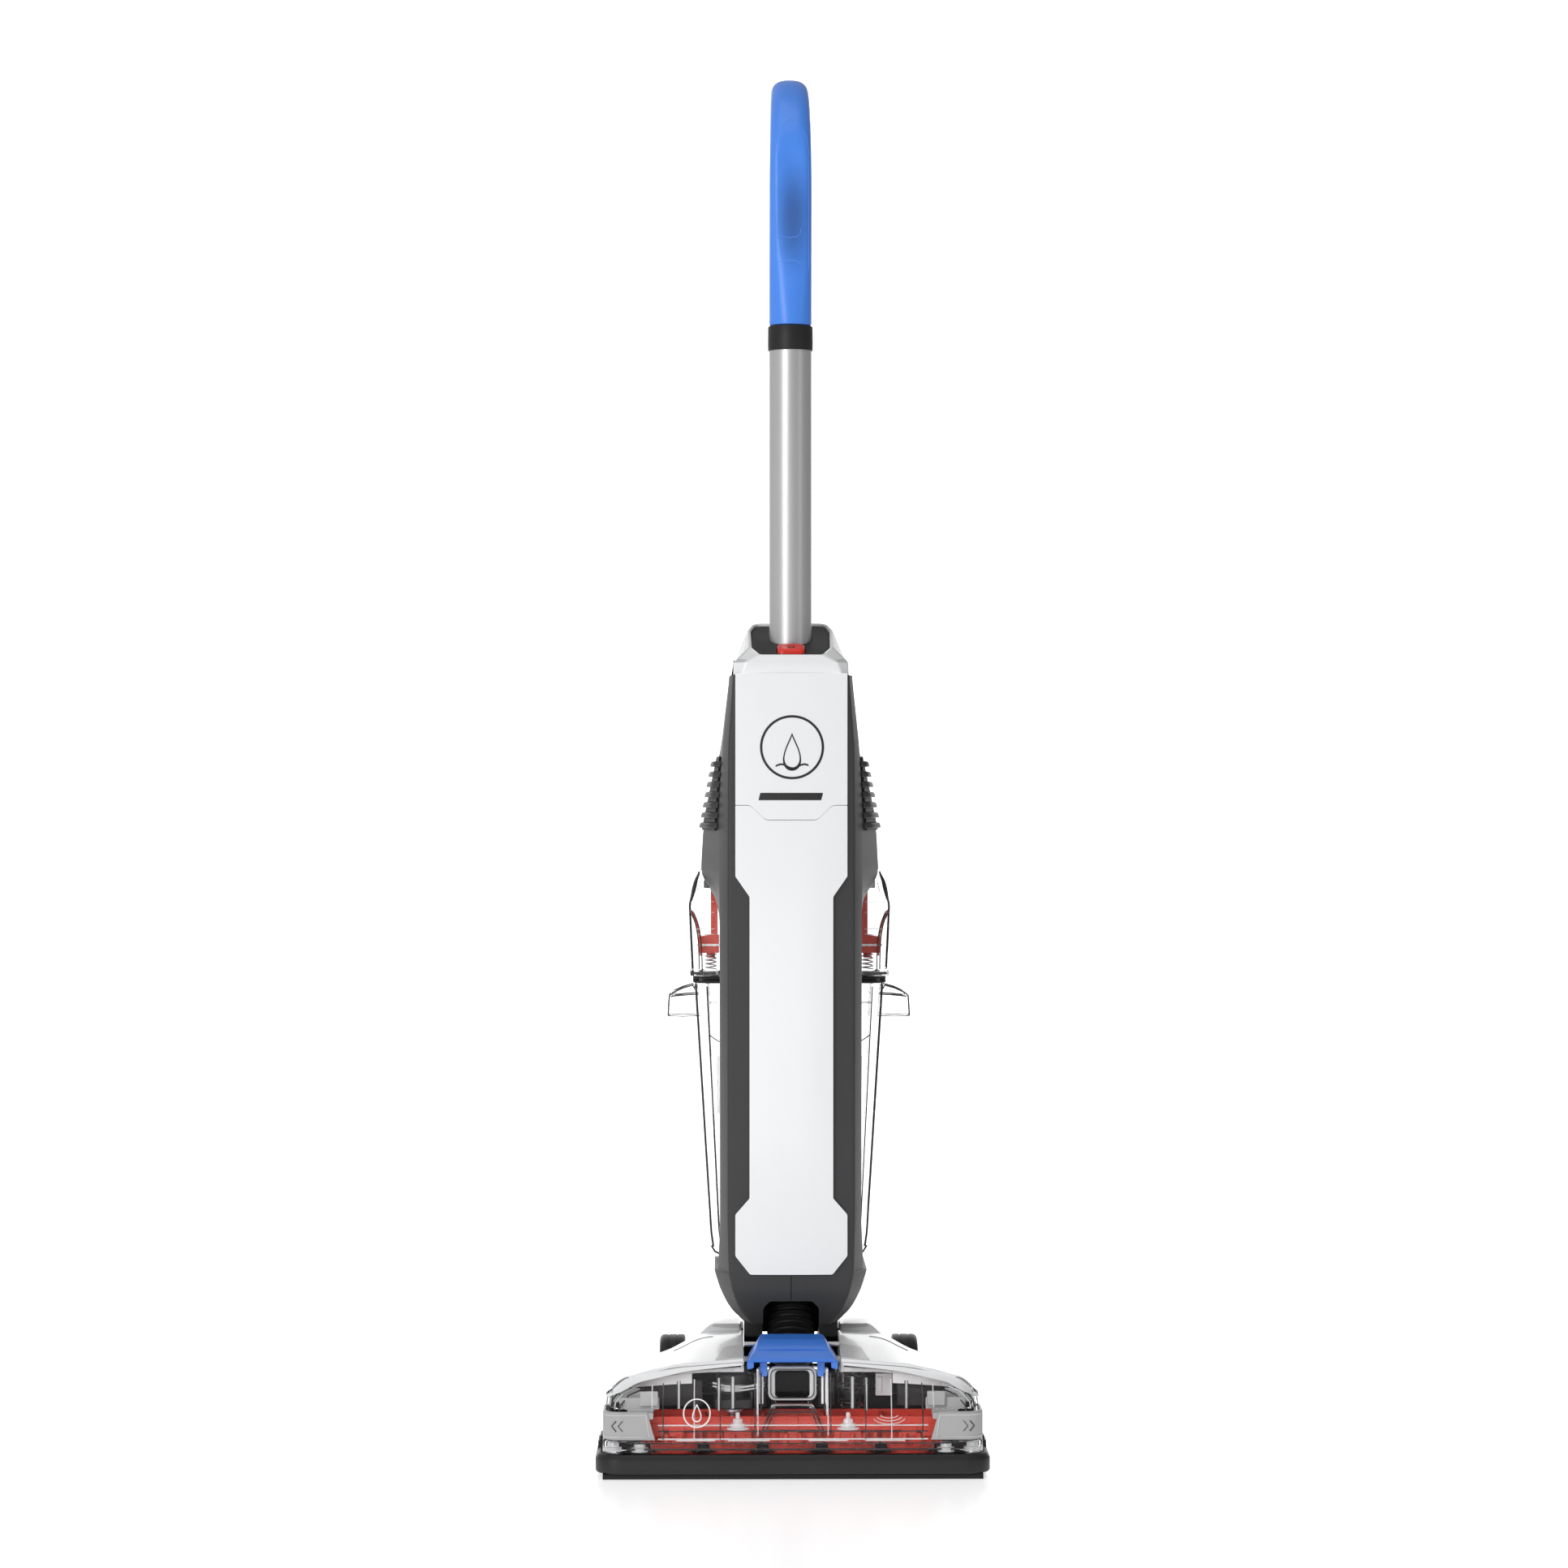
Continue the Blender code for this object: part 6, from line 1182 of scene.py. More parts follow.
bz = [(0.0022, 0.0042), (0.0008, 0.0046), (0.0002, 0.0054), (0.0, 0.0066), (0.0, 0.0146), (0.0002, 0.0153), (0.0008, 0.0162), (0.0022, 0.0182), (0.0030, 0.0190), (0.0038, 0.0192), (0.0046, 0.0188), (0.0052, 0.0180)]
make("bumper_skin", loft([bumper_ring(dx, z) for dx, z in bz]), M_BUMP, "nozzle", ("bumper",), sharp=45)
ends = []
for s in (-1, 1):
    ends.append(prism(rounded([(-0.0990, 0.0150), (-0.0590, 0.0150), (-0.0590, 0.0215), (-0.0640, 0.0232), (-0.0930, 0.0232)], 0.0015, 4), *sorted((s * 0.1478, s * 0.1510)), "X"))
    ends.append(prism(rounded([(-0.0940, 0.0165), (-0.0905, 0.0265), (-0.0620, 0.0265), (-0.0590, 0.0165)], 0.0015, 4), *sorted((s * 0.1480, s * 0.1496)), "X"))
make("bumper_ears", join_all(ends), M_BUMP, "nozzle", (), bevel=0.0006)
lip_p = rounded([(-0.1360, 0.0), (-0.1348, 0.0), (-0.1340, 0.0020), (-0.1312, 0.0030), (-0.1290, 0.0), (-0.1280, 0.0), (-0.1280, 0.0034), (-0.1360, 0.0038)], 0.0004, 3)
lips = [prism(lip_p, -0.1462, 0.1462, "X"), box(-0.1325, 0.1325, -0.1311, -0.1285, 0.0028, 0.0150)]
for s in (-1, 1):
    lips.append(box(*sorted((s * 0.1452, s * 0.1463)), -0.1362, -0.1290, 0.0, 0.0042))
    lips.append(box(*sorted((s * 0.1436, s * 0.1441)), -0.1362, -0.1345, 0.0, 0.0038))
make("front_squeegee_skin", join_all(lips), M_BLACK, "nozzle", ("front_squeegee",), sharp=40, bevel=0.0002, seg=2)
rs = rounded([(-0.0650, 0.0), (-0.0612, 0.0), (-0.0582, 0.0060), (-0.0582, 0.0096), (-0.0670, 0.0096), (-0.0670, 0.0060)], 0.0006, 4)
make("rear_squeegee_skin", prism(rs, -0.1378, 0.1378, "X"), M_BLACK, "base", ("rear_squeegee",), sharp=50)

# ---- release tabs with a recessed panel and a chevron
for s, side in SIDES:
    body = "tab_" + side
    hx, yf, rc = 0.1466, -0.1340, 0.0140
    def tab_path(off):
        o = [(hx + off, -0.0915)] + [(hx + off, -0.0915 - 0.0285 * k / 6) for k in range(1, 6)]
        for k in range(13):
            a = math.radians(-90 * k / 12)
            o.append((hx - rc + (rc + off) * math.cos(a), yf + rc + (rc + off) * math.sin(a)))
        o += [(0.1326 - (0.1326 - 0.1060) * k / 10, yf - off) for k in range(1, 11)]
        return o
    rows_t = []
    zs_t = [0.0295, 0.0299, 0.0306, 0.0325, 0.0360, 0.0420, 0.0460, 0.0490, 0.0505, 0.0511, 0.0515]
    for z in zs_t:
        e = {0.0295: -0.0011, 0.0299: -0.0004, 0.0306: 0.0, 0.0505: 0.0, 0.0511: -0.0004, 0.0515: -0.0011}.get(z, 0.0)
        inset = max(0.0, (z - 0.0295) * 0.28)
        outp = tab_path(e)
        outp = [(x + (inset if x < 0.1200 else 0.0) * max(0.0, (0.1200 - x) / 0.014), y) for x, y in outp]
        inp = tab_path(-WALL)
        inp = [(x + (inset if x < 0.1200 else 0.0) * max(0.0, (0.1200 - x) / 0.014), y) for x, y in inp]
        rows_t.append([(s * x, y, z) for x, y in outp + inp[::-1]])
    tb = loft(rows_t)
    t_o = make("release_tab_skin_" + side, tb, M_LGREY, body, ("release_tab_" + side,), sharp=35, bevel=0.0004, seg=2)
    # raised border round a recessed touch panel, as a closed bead on the front and round the corner
    bead = []
    zl, zh = 0.0322, 0.0490
    path = [(0.1105, -0.1341, zl), (0.1130, -0.1341, zh)]
    front = [(x, -0.1341) for x in frange(0.1130, 0.1326, 10)]
    corner = [(hx - rc + (rc + 0.0001) * math.cos(math.radians(-90 + 70 * k / 8)), yf + rc + (rc + 0.0001) * math.sin(math.radians(-90 + 70 * k / 8))) for k in range(9)]
    loop = [(x, y, zh) for x, y in front + corner[1:]] + [(corner[-1][0], corner[-1][1], z) for z in frange(zh, zl, 6)[1:-1]] + [(x, y, zl) for x, y in reversed([(0.1105, -0.1341)] + front[1:] + corner[1:])]
    loop.append(loop[0])
    bead.append(tube([(s * x, y, z) for x, y, z in loop], 0.00055, 6))
    make("release_tab_bead_" + side, join_all(bead), M_PALE_GREY_AND_SHADE, body, ())
    chev = [(0.1360, -0.1336, 0.0445), (0.1395, -0.1322, 0.0405), (0.1360, -0.1336, 0.0365)]
    make("release_tab_chevron_" + side, tube([(s * x, y - 0.0005, z) for x, y, z in chev], 0.0004, 6), M_MARK, body, ())
    chev2 = [(0.1310, -0.1340, 0.0445), (0.1345, -0.1338, 0.0405), (0.1310, -0.1340, 0.0365)]
    make("release_tab_chevron2_" + side, tube([(s * x, y - 0.0004, z) for x, y, z in chev2], 0.0003, 6), M_MARK, body, ())
    armb = prism(rounded([(0.1075, 0.0456), (0.1280, 0.0456), (0.1280, 0.0505), (0.1075, 0.0505)], 0.001, 3), -0.1328, -0.1130, "Y")
    make("release_tab_arm_" + side, sided(armb, s), M_LGREY, body, (), bevel=0.0005)
    # grey catch plates on the nozzle behind each tab
    cp = [box(*sorted((s * 0.1030, s * 0.1340)), -0.1120, -0.1100, 0.0500, 0.0590), box(*sorted((s * 0.1040, s * 0.1180)), -0.1150, -0.1105, 0.0530, 0.0640)]
    make("catch_plate_" + side, join_all(cp), M_LGREY, "nozzle", (), bevel=0.0008)

# ---- white cover: crowned wings, raised shoulders, bridge
CR = [(-0.1055, 0.1290), (-0.1030, 0.1345), (-0.0980, 0.1415), (-0.0930, 0.1450), (-0.0875, 0.1465), (-0.0600, 0.1478), (-0.0300, 0.1478),
      (-0.0050, 0.1270), (0.0200, 0.1060), (0.0430, 0.0850), (0.0655, 0.0830)]
ACROSS = [(0.0, 0.0980), (0.0700, 0.0955), (0.0810, 0.0900), (0.0900, 0.0838), (0.1044, 0.0782), (0.1245, 0.0712), (0.1478, 0.0600)]


def cover_z(x, y):
    rim = ztop(x) + 0.0040 - 0.0020 * max(0.0, min(1.0, (x - 0.09) / 0.03))
    z = smoothed(ACROSS, min(x, 0.1478), 0.008)[0]
    f = min(1.0, max(0.0, (y + 0.1055) / 0.085))
    f = 1 - (1 - f) ** 1.7
    if y > 0.0:
        z -= 0.0022 * (y / 0.02) ** 1.5
    return max(rim + (z - rim) * f, 0.0585)


def wing(s, inset=0.0, low=None):
    bm = bmesh.new()
    nx, ny = 44, 46
    y_a, y_b = (-0.1055, 0.0655) if low is None else (-0.0960, 0.0629)
    top, bot = [], []
    for j in range(ny + 1):
        t = j / ny
        y = y_a + (y_b - y_a) * (t ** 1.25)
        w = smoothed(CR, y, 0.0045 if y > -0.085 else 0.0015)[0] - inset * 1.2
        x_in = 0.0378 + inset
        ra, rb = [], []
        for i in range(nx + 1):
            f = 1 - (1 - i / nx) ** 1.35
            x = x_in + (w - x_in) * f
            z = cover_z(x, y) - inset
            if low is None:
                zl = ztop(x) + 0.0020 if y < -0.0970 else (max(0.0552, ztop(x) + 0.0020) if x > 0.139 and y < -0.05 else 0.0552)
                # rounded outer edges
                for d, r in ((w - x, 0.0022), (y - y_a, 0.0016), (x - x_in, 0.0012), (y_b - y, 0.0016)):
                    if d < r:
                        z -= r * 0.75 * (1 - math.sqrt(max(0.0, 1 - ((r - d) / r) ** 2)))
            else:
                zl = low
            ra.append(bm.verts.new((s * x, y, max(z, zl + 0.0006))))
            rb.append(bm.verts.new((s * x, y, zl)))
        top.append(ra)
        bot.append(rb)
    for g in (top, bot):
        for r0, r1 in zip(g, g[1:]):
            for i in range(nx):
                bm.faces.new((r0[i], r0[i + 1], r1[i + 1], r1[i]))
    for i in range(nx):
        for k in (0, -1):
            bm.faces.new((top[k][i], top[k][i + 1], bot[k][i + 1], bot[k][i]))
    for j in range(ny):
        for k in (0, -1):
            bm.faces.new((top[j][k], top[j + 1][k], bot[j + 1][k], bot[j][k]))
    return bm


for s, side in SIDES:
    w = make("base_cover_wing_" + side, wing(s), M_WHITE, "base", ("base_cover",), sharp=32)
    tools = [make("wing_hollow_tmp", wing(s, 0.0026, 0.0400), M_WHITE, "base"),
             make("drive_way_tmp", box(*sorted((s * 0.0100, s * 0.0780)), -0.1000, -0.0560, 0.0500, 0.0768), M_WHITE, "base")]
    for other in tools:
        b = w.modifiers.new("cut", "BOOLEAN")
        b.operation, b.solver, b.object = "DIFFERENCE", "EXACT", other
    bake(w, *tools)
    w.data.shade_smooth()
    w.data.set_sharp_from_angle(angle=math.radians(32))
    # raised shoulder over each recline pin, with an eased crown
    rings = []
    for z, a, b_, y0, y1, r in ((0.0700, 0.0380, 0.0790, -0.0100, 0.0650, 0.003), (0.0860, 0.0380, 0.0783, -0.0066, 0.0642, 0.003), (0.0895, 0.0380, 0.0778, -0.0058, 0.0640, 0.003),
                                (0.0910, 0.0382, 0.0762, -0.0042, 0.0634, 0.003), (0.0985, 0.0396, 0.0668, 0.0060, 0.0590, 0.003), (0.1000, 0.0400, 0.0646, 0.0078, 0.0580, 0.003), (0.1005, 0.0412, 0.0630, 0.0092, 0.0570, 0.003)):
        cx, hx = (a + b_) / 2, (b_ - a) / 2
        rings.append([(x, y, z) for x, y, _ in rrect(hx, y0, y1, 0, r, 5, cx)])
    make("base_cover_shoulder_" + side, sided(loft(rings), s), M_WHITE, "base", (), sharp=26, bevel=0.0006, seg=3)
    # pale grey plates painted as shade on the white cover: on the shoulder's front, and beside the latch
    fa = loft([[(s * x, y, z) for x, y, z in ((0.0398, 0.0024, 0.0955), (0.0640, 0.0040, 0.0965), (0.0620, 0.0086, 0.1010), (0.0412, 0.0086, 0.1010))],
               [(s * x, y + 0.0016, z - 0.0030) for x, y, z in ((0.0398, 0.0024, 0.0955), (0.0640, 0.0040, 0.0965), (0.0620, 0.0086, 0.1010), (0.0412, 0.0086, 0.1010))]])
    make("base_cover_neck_shade_plate_" + side, fa, M_PALE_GREY_AND_SHADE, "base", (), bevel=0.0005)
    q = [(0.0382, -0.1030), (0.0600, -0.1030), (0.0545, -0.0720), (0.0382, -0.0640)]
    up = [(x, y, cover_z(x, y) + 0.0009) for x, y in q]
    dn = [(x, y, cover_z(x, y) - 0.0014) for x, y in q]
    make("base_cover_latch_shade_plate_" + side, sided(loft([up, dn]), s), M_PALE_GREY_AND_SHADE, "base", (), bevel=0.0005)
    # bright rim bead along the front edge and a fine groove above it, the groove drawn as a light grey line painted as
    # its shade
    bead = [(x, -0.1050, cover_z(x, -0.1050) - 0.0006) for x in frange(0.0382, 0.1270, 40)]
    make("base_cover_rim_" + side, tube([(s * x, y, z) for x, y, z in bead], 0.0011, 10), M_WHITE, "base", ())
    gr = [(x, -0.0300 + 0.0200 * ((x - 0.0600) / 0.05) ** 2, 0) for x in frange(0.0620, 0.0930, 20)]
    make("base_cover_groove_shade_line_" + side, tube([(s * x, y, cover_z(x, y) + 0.0001) for x, y, _ in gr], 0.00045, 6), M_LGREY, "base", ())
    # dark cheek between neck and cover
    make("neck_cheek_" + side, box(*sorted((s * 0.0376, s * 0.0404)), 0.0120, 0.0560, 0.0600, 0.0965), M_GREY_D, "base", (), bevel=0.0008)
make("base_cover_bridge", box(-0.0440, 0.0440, -0.0720, -0.0660, 0.0812, 0.0852), M_WHITE, "base", (), bevel=0.0008)

# ---- chassis tray keeps its own form, with rounded edges
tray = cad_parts["base_frame"]


def tray_outline(d, yf, yr, z):
    half = [(0.1455 - d, yf), (0.1455 - d, -0.0300 + d * 0.4), (0.0820 - d, 0.0450 + d * 0.4), (0.0820 - d, yr)]
    pts = half + [(-x, y) for x, y in reversed(half)]
    return [(x, y, z) for x, y in rounded(pts, 0.003, 4)]


tr = make("base_frame_skin", loft([tray_outline(0, -0.0570, 0.1310, z) for z in (0.0100, 0.0540)]), M_GREY_D, "base", ("base_frame",))
tt = [make("t1_tmp", loft([tray_outline(0.003, -0.0540, 0.0620, z) for z in (0.0130, 0.0800)]), M_BLACK, "base"),
      make("t2_tmp", box(-0.1, 0.1, 0.0660, 0.2, 0.0470, 0.0900), M_BLACK, "base"),
      make("t3_tmp", box(-0.0790, 0.0790, 0.0500, 0.1280, 0.0135, 0.0440), M_BLACK, "base")]
for other in tt:
    b = tr.modifiers.new("cut", "BOOLEAN")
    b.operation, b.solver, b.object = "DIFFERENCE", "EXACT", other
adds = []
for s in (-1, 1):
    for x0, x1 in ((0.0408, 0.0442), (0.0560, 0.0592)):
        adds.append(prism(rounded([(0.016, 0.0115), (0.060, 0.0115), (0.056, 0.0800), (0.048, 0.0860), (0.032, 0.0860), (0.024, 0.0800)], [0, 0, 0.004, 0.006, 0.006, 0.004], 5), *sorted((s * x0, s * x1)), "X"))
    adds.append(box(*sorted((s * 0.1365, s * 0.1408)), -0.0885, -0.0550, 0.0197, 0.0530))
tw = make("towers_tmp", join_all(adds), M_BLACK, "base")
b = tr.modifiers.new("towers", "BOOLEAN")
b.operation, b.solver, b.object = "UNION", "EXACT", tw
tt.append(tw)
holes = [lathe([(0.0, -0.07), (0.0064, -0.07), (0.0064, 0.07), (0.0, 0.07)], (0.0400, 0.0720), "X", 32, closed=False),
         lathe([(0.0, -0.09), (0.0043, -0.09), (0.0043, 0.09), (0.0, 0.09)], (0.1000, 0.0400), "X", 28, closed=False)]
for k, hbm in enumerate(holes + [box(-0.0182, 0.0182, -0.0600, -0.0500, 0.0515, 0.0700)]):
    hh = make(f"bore{k}_tmp", hbm, M_BLACK, "base")
    b = tr.modifiers.new("bore", "BOOLEAN")
    b.operation, b.solver, b.object = "DIFFERENCE", "EXACT", hh
    tt.append(hh)
bake(tr, *tt)
tr.data.shade_smooth()
tr.data.set_sharp_from_angle(angle=math.radians(35))
b = tr.modifiers.new("edge_round", "BEVEL")
b.width, b.segments, b.limit_method, b.angle_limit, b.harden_normals = 0.0006, 2, "ANGLE", math.radians(45), True
under = [box(-0.1300, 0.1300, y, y + 0.0012, 0.0092, 0.0102) for y in (-0.0400, -0.0250, -0.0100)] + [box(-0.0700, 0.0700, y, y + 0.0012, 0.0092, 0.0102) for y in (0.0500, 0.0700, 0.0900)]
make("base_frame_underside_ribs", join_all(under), M_GREY_D, "base", (), bevel=0.0003, seg=2)

# ---- pins, axle, wheels
for s, side in SIDES:
    pin = lathe([(0.0, s * 0.0240), (0.0054, s * 0.0240), (0.0060, s * 0.0246), (0.0060, s * 0.0594), (0.0054, s * 0.0600), (0.0, s * 0.0600)], (0.0400, 0.0720), "X", 40, closed=False)
    make("pivot_pin_skin_" + side, pin, M_STEEL, "base", ("pivot_pin_" + side,))
    x0, x1 = 0.0850, 0.1060
    hub = [(0.0044, x0), (0.0110, x0), (0.0130, x0 + 0.0004), (0.0150, x0 + 0.0035), (0.0290, x0 + 0.0060), (0.0330, x0 + 0.0030), (0.0340, x0 + 0.0012), (0.0352, x0 + 0.0010),
           (0.0352, x1 - 0.0020), (0.0340, x1 - 0.0012), (0.0320, x1 - 0.0006), (0.0310, x1 - 0.0012), (0.0290, x1 - 0.0050), (0.0150, x1 - 0.0052), (0.0130, x1 - 0.0030), (0.0118, x1 - 0.0016), (0.0060, x1 - 0.0010), (0.0044, x1 - 0.0012)]
    hb = [lathe([(r, s * t) for r, t in hub], (0.1000, 0.0400), "X", 72)]
    for k in range(6):
        a = math.pi * k / 3
        c, sn = math.cos(a), math.sin(a)
        sp = []
        for r in (0.0125, 0.0300):
            hw = 0.0018
            sp.append([(s * xx, 0.1000 + r * c - v * sn, 0.0400 + r * sn + v * c) for xx, v in ((x1 - 0.0054, -hw), (x1 - 0.0024, -hw * 0.7), (x1 - 0.0024, hw * 0.7), (x1 - 0.0054, hw))])
        hb.append(loft(sp))
    make("wheel_hub_skin_" + side, join_all(hb), M_GREY_D, "wheel_" + side, ("wheel_" + side,), sharp=40)
    tyre = [(0.0356, x0), (0.0378, x0 + 0.0001), (0.0393, x0 + 0.0006), (0.0400, x0 + 0.0018), (0.0400, x0 + 0.0060), (0.0394, x0 + 0.0063), (0.0394, x0 + 0.0071), (0.0400, x0 + 0.0074), (0.0400, x0 + 0.0130), (0.0394, x0 + 0.0133), (0.0394, x0 + 0.0141), (0.0400, x0 + 0.0144),
            (0.0400, x1 - 0.0042), (0.0397, x1 - 0.0026), (0.0388, x1 - 0.0012), (0.0374, x1 - 0.0003), (0.0356, x1)]
    make("tyre_skin_" + side, lathe([(r, s * t) for r, t in tyre], (0.1000, 0.0400), "X", 96), M_BUMP, "wheel_" + side, ("tyre_" + side,), sharp=40)
ax = lathe([(0.0, -0.1040), (0.0034, -0.1040), (0.0040, -0.1034), (0.0040, 0.1034), (0.0034, 0.1040), (0.0, 0.1040)], (0.1000, 0.0400), "X", 36, closed=False)
make("rear_axle_skin", ax, M_STEEL, "base", ("rear_axle",))

# ---- brush drive
BY, PITCH, TEETH = -0.0950, 0.0460, 14
BX = [(-2 + i) * PITCH for i in range(5)]
mo = [(0.0, 0.0530), (0.0128, 0.0530), (0.0135, 0.0536), (0.0135, 0.0580), (0.0131, 0.0583), (0.0131, 0.0590), (0.0135, 0.0593), (0.0135, 0.0690), (0.0131, 0.0694), (0.0131, 0.0700), (0.0135, 0.0703), (0.0135, 0.0735), (0.0126, 0.0745), (0.0060, 0.0745), (0.0055, 0.0740), (0.0, 0.0740)]
make("brush_motor_skin", lathe(mo, (BX[1], -0.0800), "Z", 64, closed=False), M_MOTOR, "base", ("brush_motor",), sharp=40)
gc = prism(rounded([(BX[1] - 0.0150, -0.1040), (BX[1] + 0.0150, -0.1040), (BX[1] + 0.0150, -0.0574), (BX[1] - 0.0150, -0.0574)], 0.004, 6), 0.0492, 0.0560, "Z")
make("brush_gear_case", gc, M_MOTOR, "base", (), bevel=0.0006)
make("brush_motor_band", lathe([(0.0136, 0.0610), (0.0139, 0.0610), (0.0139, 0.0660), (0.0136, 0.0660)], (BX[1], -0.0800), "Z", 64), M_STEEL, "base", ())
arc = [(-0.0620 + 0.0050 * k, -0.1010, 0.0690 - 0.0035 * math.sin(math.pi * k / 8)) for k in range(9)]
make("motor_clear_yoke", join_all([tube([(x, y, z) for x, y, z in catmull(arc, 4)], 0.0008, 8), tube([(x, y, z - 0.0024) for x, y, z in catmull(arc, 4)], 0.0006, 8)]), M_CLEAR_E, "base", ())
cp_ = [(0.0070, 0.0500), (0.0096, 0.0484), (0.0099, 0.0490), (0.0100, 0.0600), (0.0102, 0.0735), (0.0099, 0.0745), (0.0090, 0.0745), (0.0088, 0.0738), (0.0084, 0.0520)]
make("solution_diffuser_skin", lathe(cp_, (BX[3], -0.0860), "Z", 56), M_CLEAR, "base", ("solution_diffuser",), sharp=40)
# dark rings on the clear diffuser, painted shade
make("solution_diffuser_rings", join_all([lathe([(0.0100, z), (0.0105, z), (0.0105, z + 0.0007), (0.0100, z + 0.0007)], (BX[3], -0.0860), "Z", 56) for z in (0.0520, 0.0640, 0.0728)]), M_CLEAR_EDGE_SHADE, "base", ())
dc = [(0.0, 0.0200), (0.0032, 0.0200), (0.0038, 0.0206), (0.0038, 0.0460), (0.0074, 0.0460), (0.0078, 0.0464), (0.0078, 0.0484), (0.0074, 0.0488), (0.0, 0.0488)]
make("drive_coupler_skin", lathe(dc, (BX[1], BY), "Z", 40, closed=False), M_STEEL, "drive_coupler", ("drive_coupler",))
# light blocks and dark valve body behind the window, on the chassis side
lb = [box(0.0650, 0.0780, -0.0890, -0.0840, 0.0570, 0.0745), box(0.0660, 0.0700, -0.0900, -0.0890, 0.0600, 0.0720)]
make("valve_block_pale", join_all(lb), M_PALE_GREY_AND_SHADE, "base", (), bevel=0.0008)
db = [box(-0.1180, -0.0700, -0.0820, -0.0780, 0.0480, 0.0680), box(0.0820, 0.1180, -0.0820, -0.0780, 0.0480, 0.0680), box(-0.0300, -0.0200, -0.0860, -0.0820, 0.0480, 0.0700), box(0.0200, 0.0330, -0.0860, -0.0820, 0.0480, 0.0700)]
make("chamber_back_plates", join_all(db), M_GREY, "base", (), bevel=0.0008)

blk = [prism(rounded([(-0.1180, -0.1160), (0.1180, -0.1160), (0.1180, -0.0740), (-0.1180, -0.0740)], 0.006, 6), 0.0345, 0.0385, "Z"),
       box(-0.1180, 0.1180, -0.1160, -0.1120, 0.0380, 0.0450), box(-0.1180, 0.1180, -0.0780, -0.0740, 0.0380, 0.0450)]
for x in (-0.0690, -0.0230, 0.0230, 0.0690):
    blk.append(box(x - 0.0014, x + 0.0014, -0.1130, -0.0770, 0.0380, 0.0440))
for x in (-0.0425, 0.0425):
    blk.append(box(x - 0.0105, x + 0.0105, -0.1172, -0.1158, 0.0240, 0.0440))
blk.append(box(-0.0040, 0.0040, -0.1172, -0.1158, 0.0240, 0.0450))
for x0, x1 in ((-0.1180, -0.1000), (-0.0960, -0.0840), (0.0840, 0.0960), (0.1000, 0.1180)):
    blk.append(box(x0, x1, -0.1170, -0.1158, 0.0300, 0.0400))
for i, x in enumerate(BX):
    if i != 1:
        blk.append(lathe([(0.0, 0.0200), (0.0032, 0.0200), (0.0038, 0.0206), (0.0038, 0.0420), (0.0030, 0.0426), (0.0, 0.0426)], (x, BY), "Z", 32, closed=False))
blkb = join_all(blk)
block = make("brush_block_skin", blkb, M_RED, "brush_block", ("brush_block",), sharp=35, bevel=0.0005, seg=2)


def gear_profile(teeth, pitch_r, phase):
    m = 2 * pitch_r / teeth
    ra, rf, rb = pitch_r + 0.72 * m, pitch_r - 0.98 * m, pitch_r * math.cos(math.radians(20))
    inv = lambda r: math.tan(math.acos(min(1, rb / r))) - math.acos(min(1, rb / r))
    half = 0.205 * 2 * math.pi / teeth
    pts = []
    for k in range(teeth):
        c = phase + 2 * math.pi * k / teeth
        radii = [max(rb, rf) + (ra - max(rb, rf)) * q for q in (0.0, 0.33, 0.66, 1.0)]
        lo_ = [(r, c - (half + inv(pitch_r) - inv(r))) for r in radii]
        hi_ = [(r, c + (half + inv(pitch_r) - inv(r))) for r in reversed(radii)]
        pts += [(rf, c - half * 1.62)] + lo_ + hi_ + [(rf, c + half * 1.62)]
    return [(r * math.cos(a), r * math.sin(a)) for r, a in pts]


for i, x in enumerate(BX):
    phase = 0.0 if i % 2 == 0 else math.pi / TEETH
    prof = gear_profile(TEETH, PITCH / 2, phase)
    rings = [[(x + u * k, BY + v * k, z) for u, v in prof] for k, z in ((0.975, 0.0235), (1.0, 0.0241), (1.0, 0.0319), (0.975, 0.0325))]
    parts = [loft(rings), lathe([(0.0050, 0.0178), (0.0176, 0.0175), (0.0182, 0.0181), (0.0190, 0.0240), (0.0050, 0.0240)], (x, BY), "Z", 48)]
    make(f"brush_gear_skin_{i+1}", join_all(parts), M_RED, f"brush_{i+1}", (f"brush_{i+1}",), sharp=35, bevel=0.0002, seg=2)
    make(f"brush_disc_{i+1}", lathe([(0.0060, 0.0166), (0.0184, 0.0166), (0.0186, 0.0176), (0.0060, 0.0178)], (x, BY), "Z", 48), M_BLACK, f"brush_{i+1}", ())
    tufts = []
    for cnt, r0, r1, off in ((12, 0.0125, 0.0134, 0.0), (17, 0.0162, 0.0178, 0.1)):
        for k in range(cnt):
            a = phase + off + 2 * math.pi * k / cnt
            for j in range(3):
                da = (j - 1) * 0.055
                p0 = (x + r0 * math.cos(a), BY + r0 * math.sin(a), 0.0172)
                p1 = (x + (r1 + 0.0004 * (j % 2)) * math.cos(a + da), BY + (r1 + 0.0004 * (j % 2)) * math.sin(a + da), 0.0009 + 0.0004 * ((k + j) % 3))
                mid = tuple((p + q) / 2 for p, q in zip(p0, p1))
                tufts.append(tube([p0, mid, p1], lambda f: 0.00105 - 0.0002 * f, 5))
    make(f"brush_tufts_{i+1}", join_all(tufts), M_BRISTLE if i % 2 == 0 else M_BLACK, f"brush_{i+1}", ())

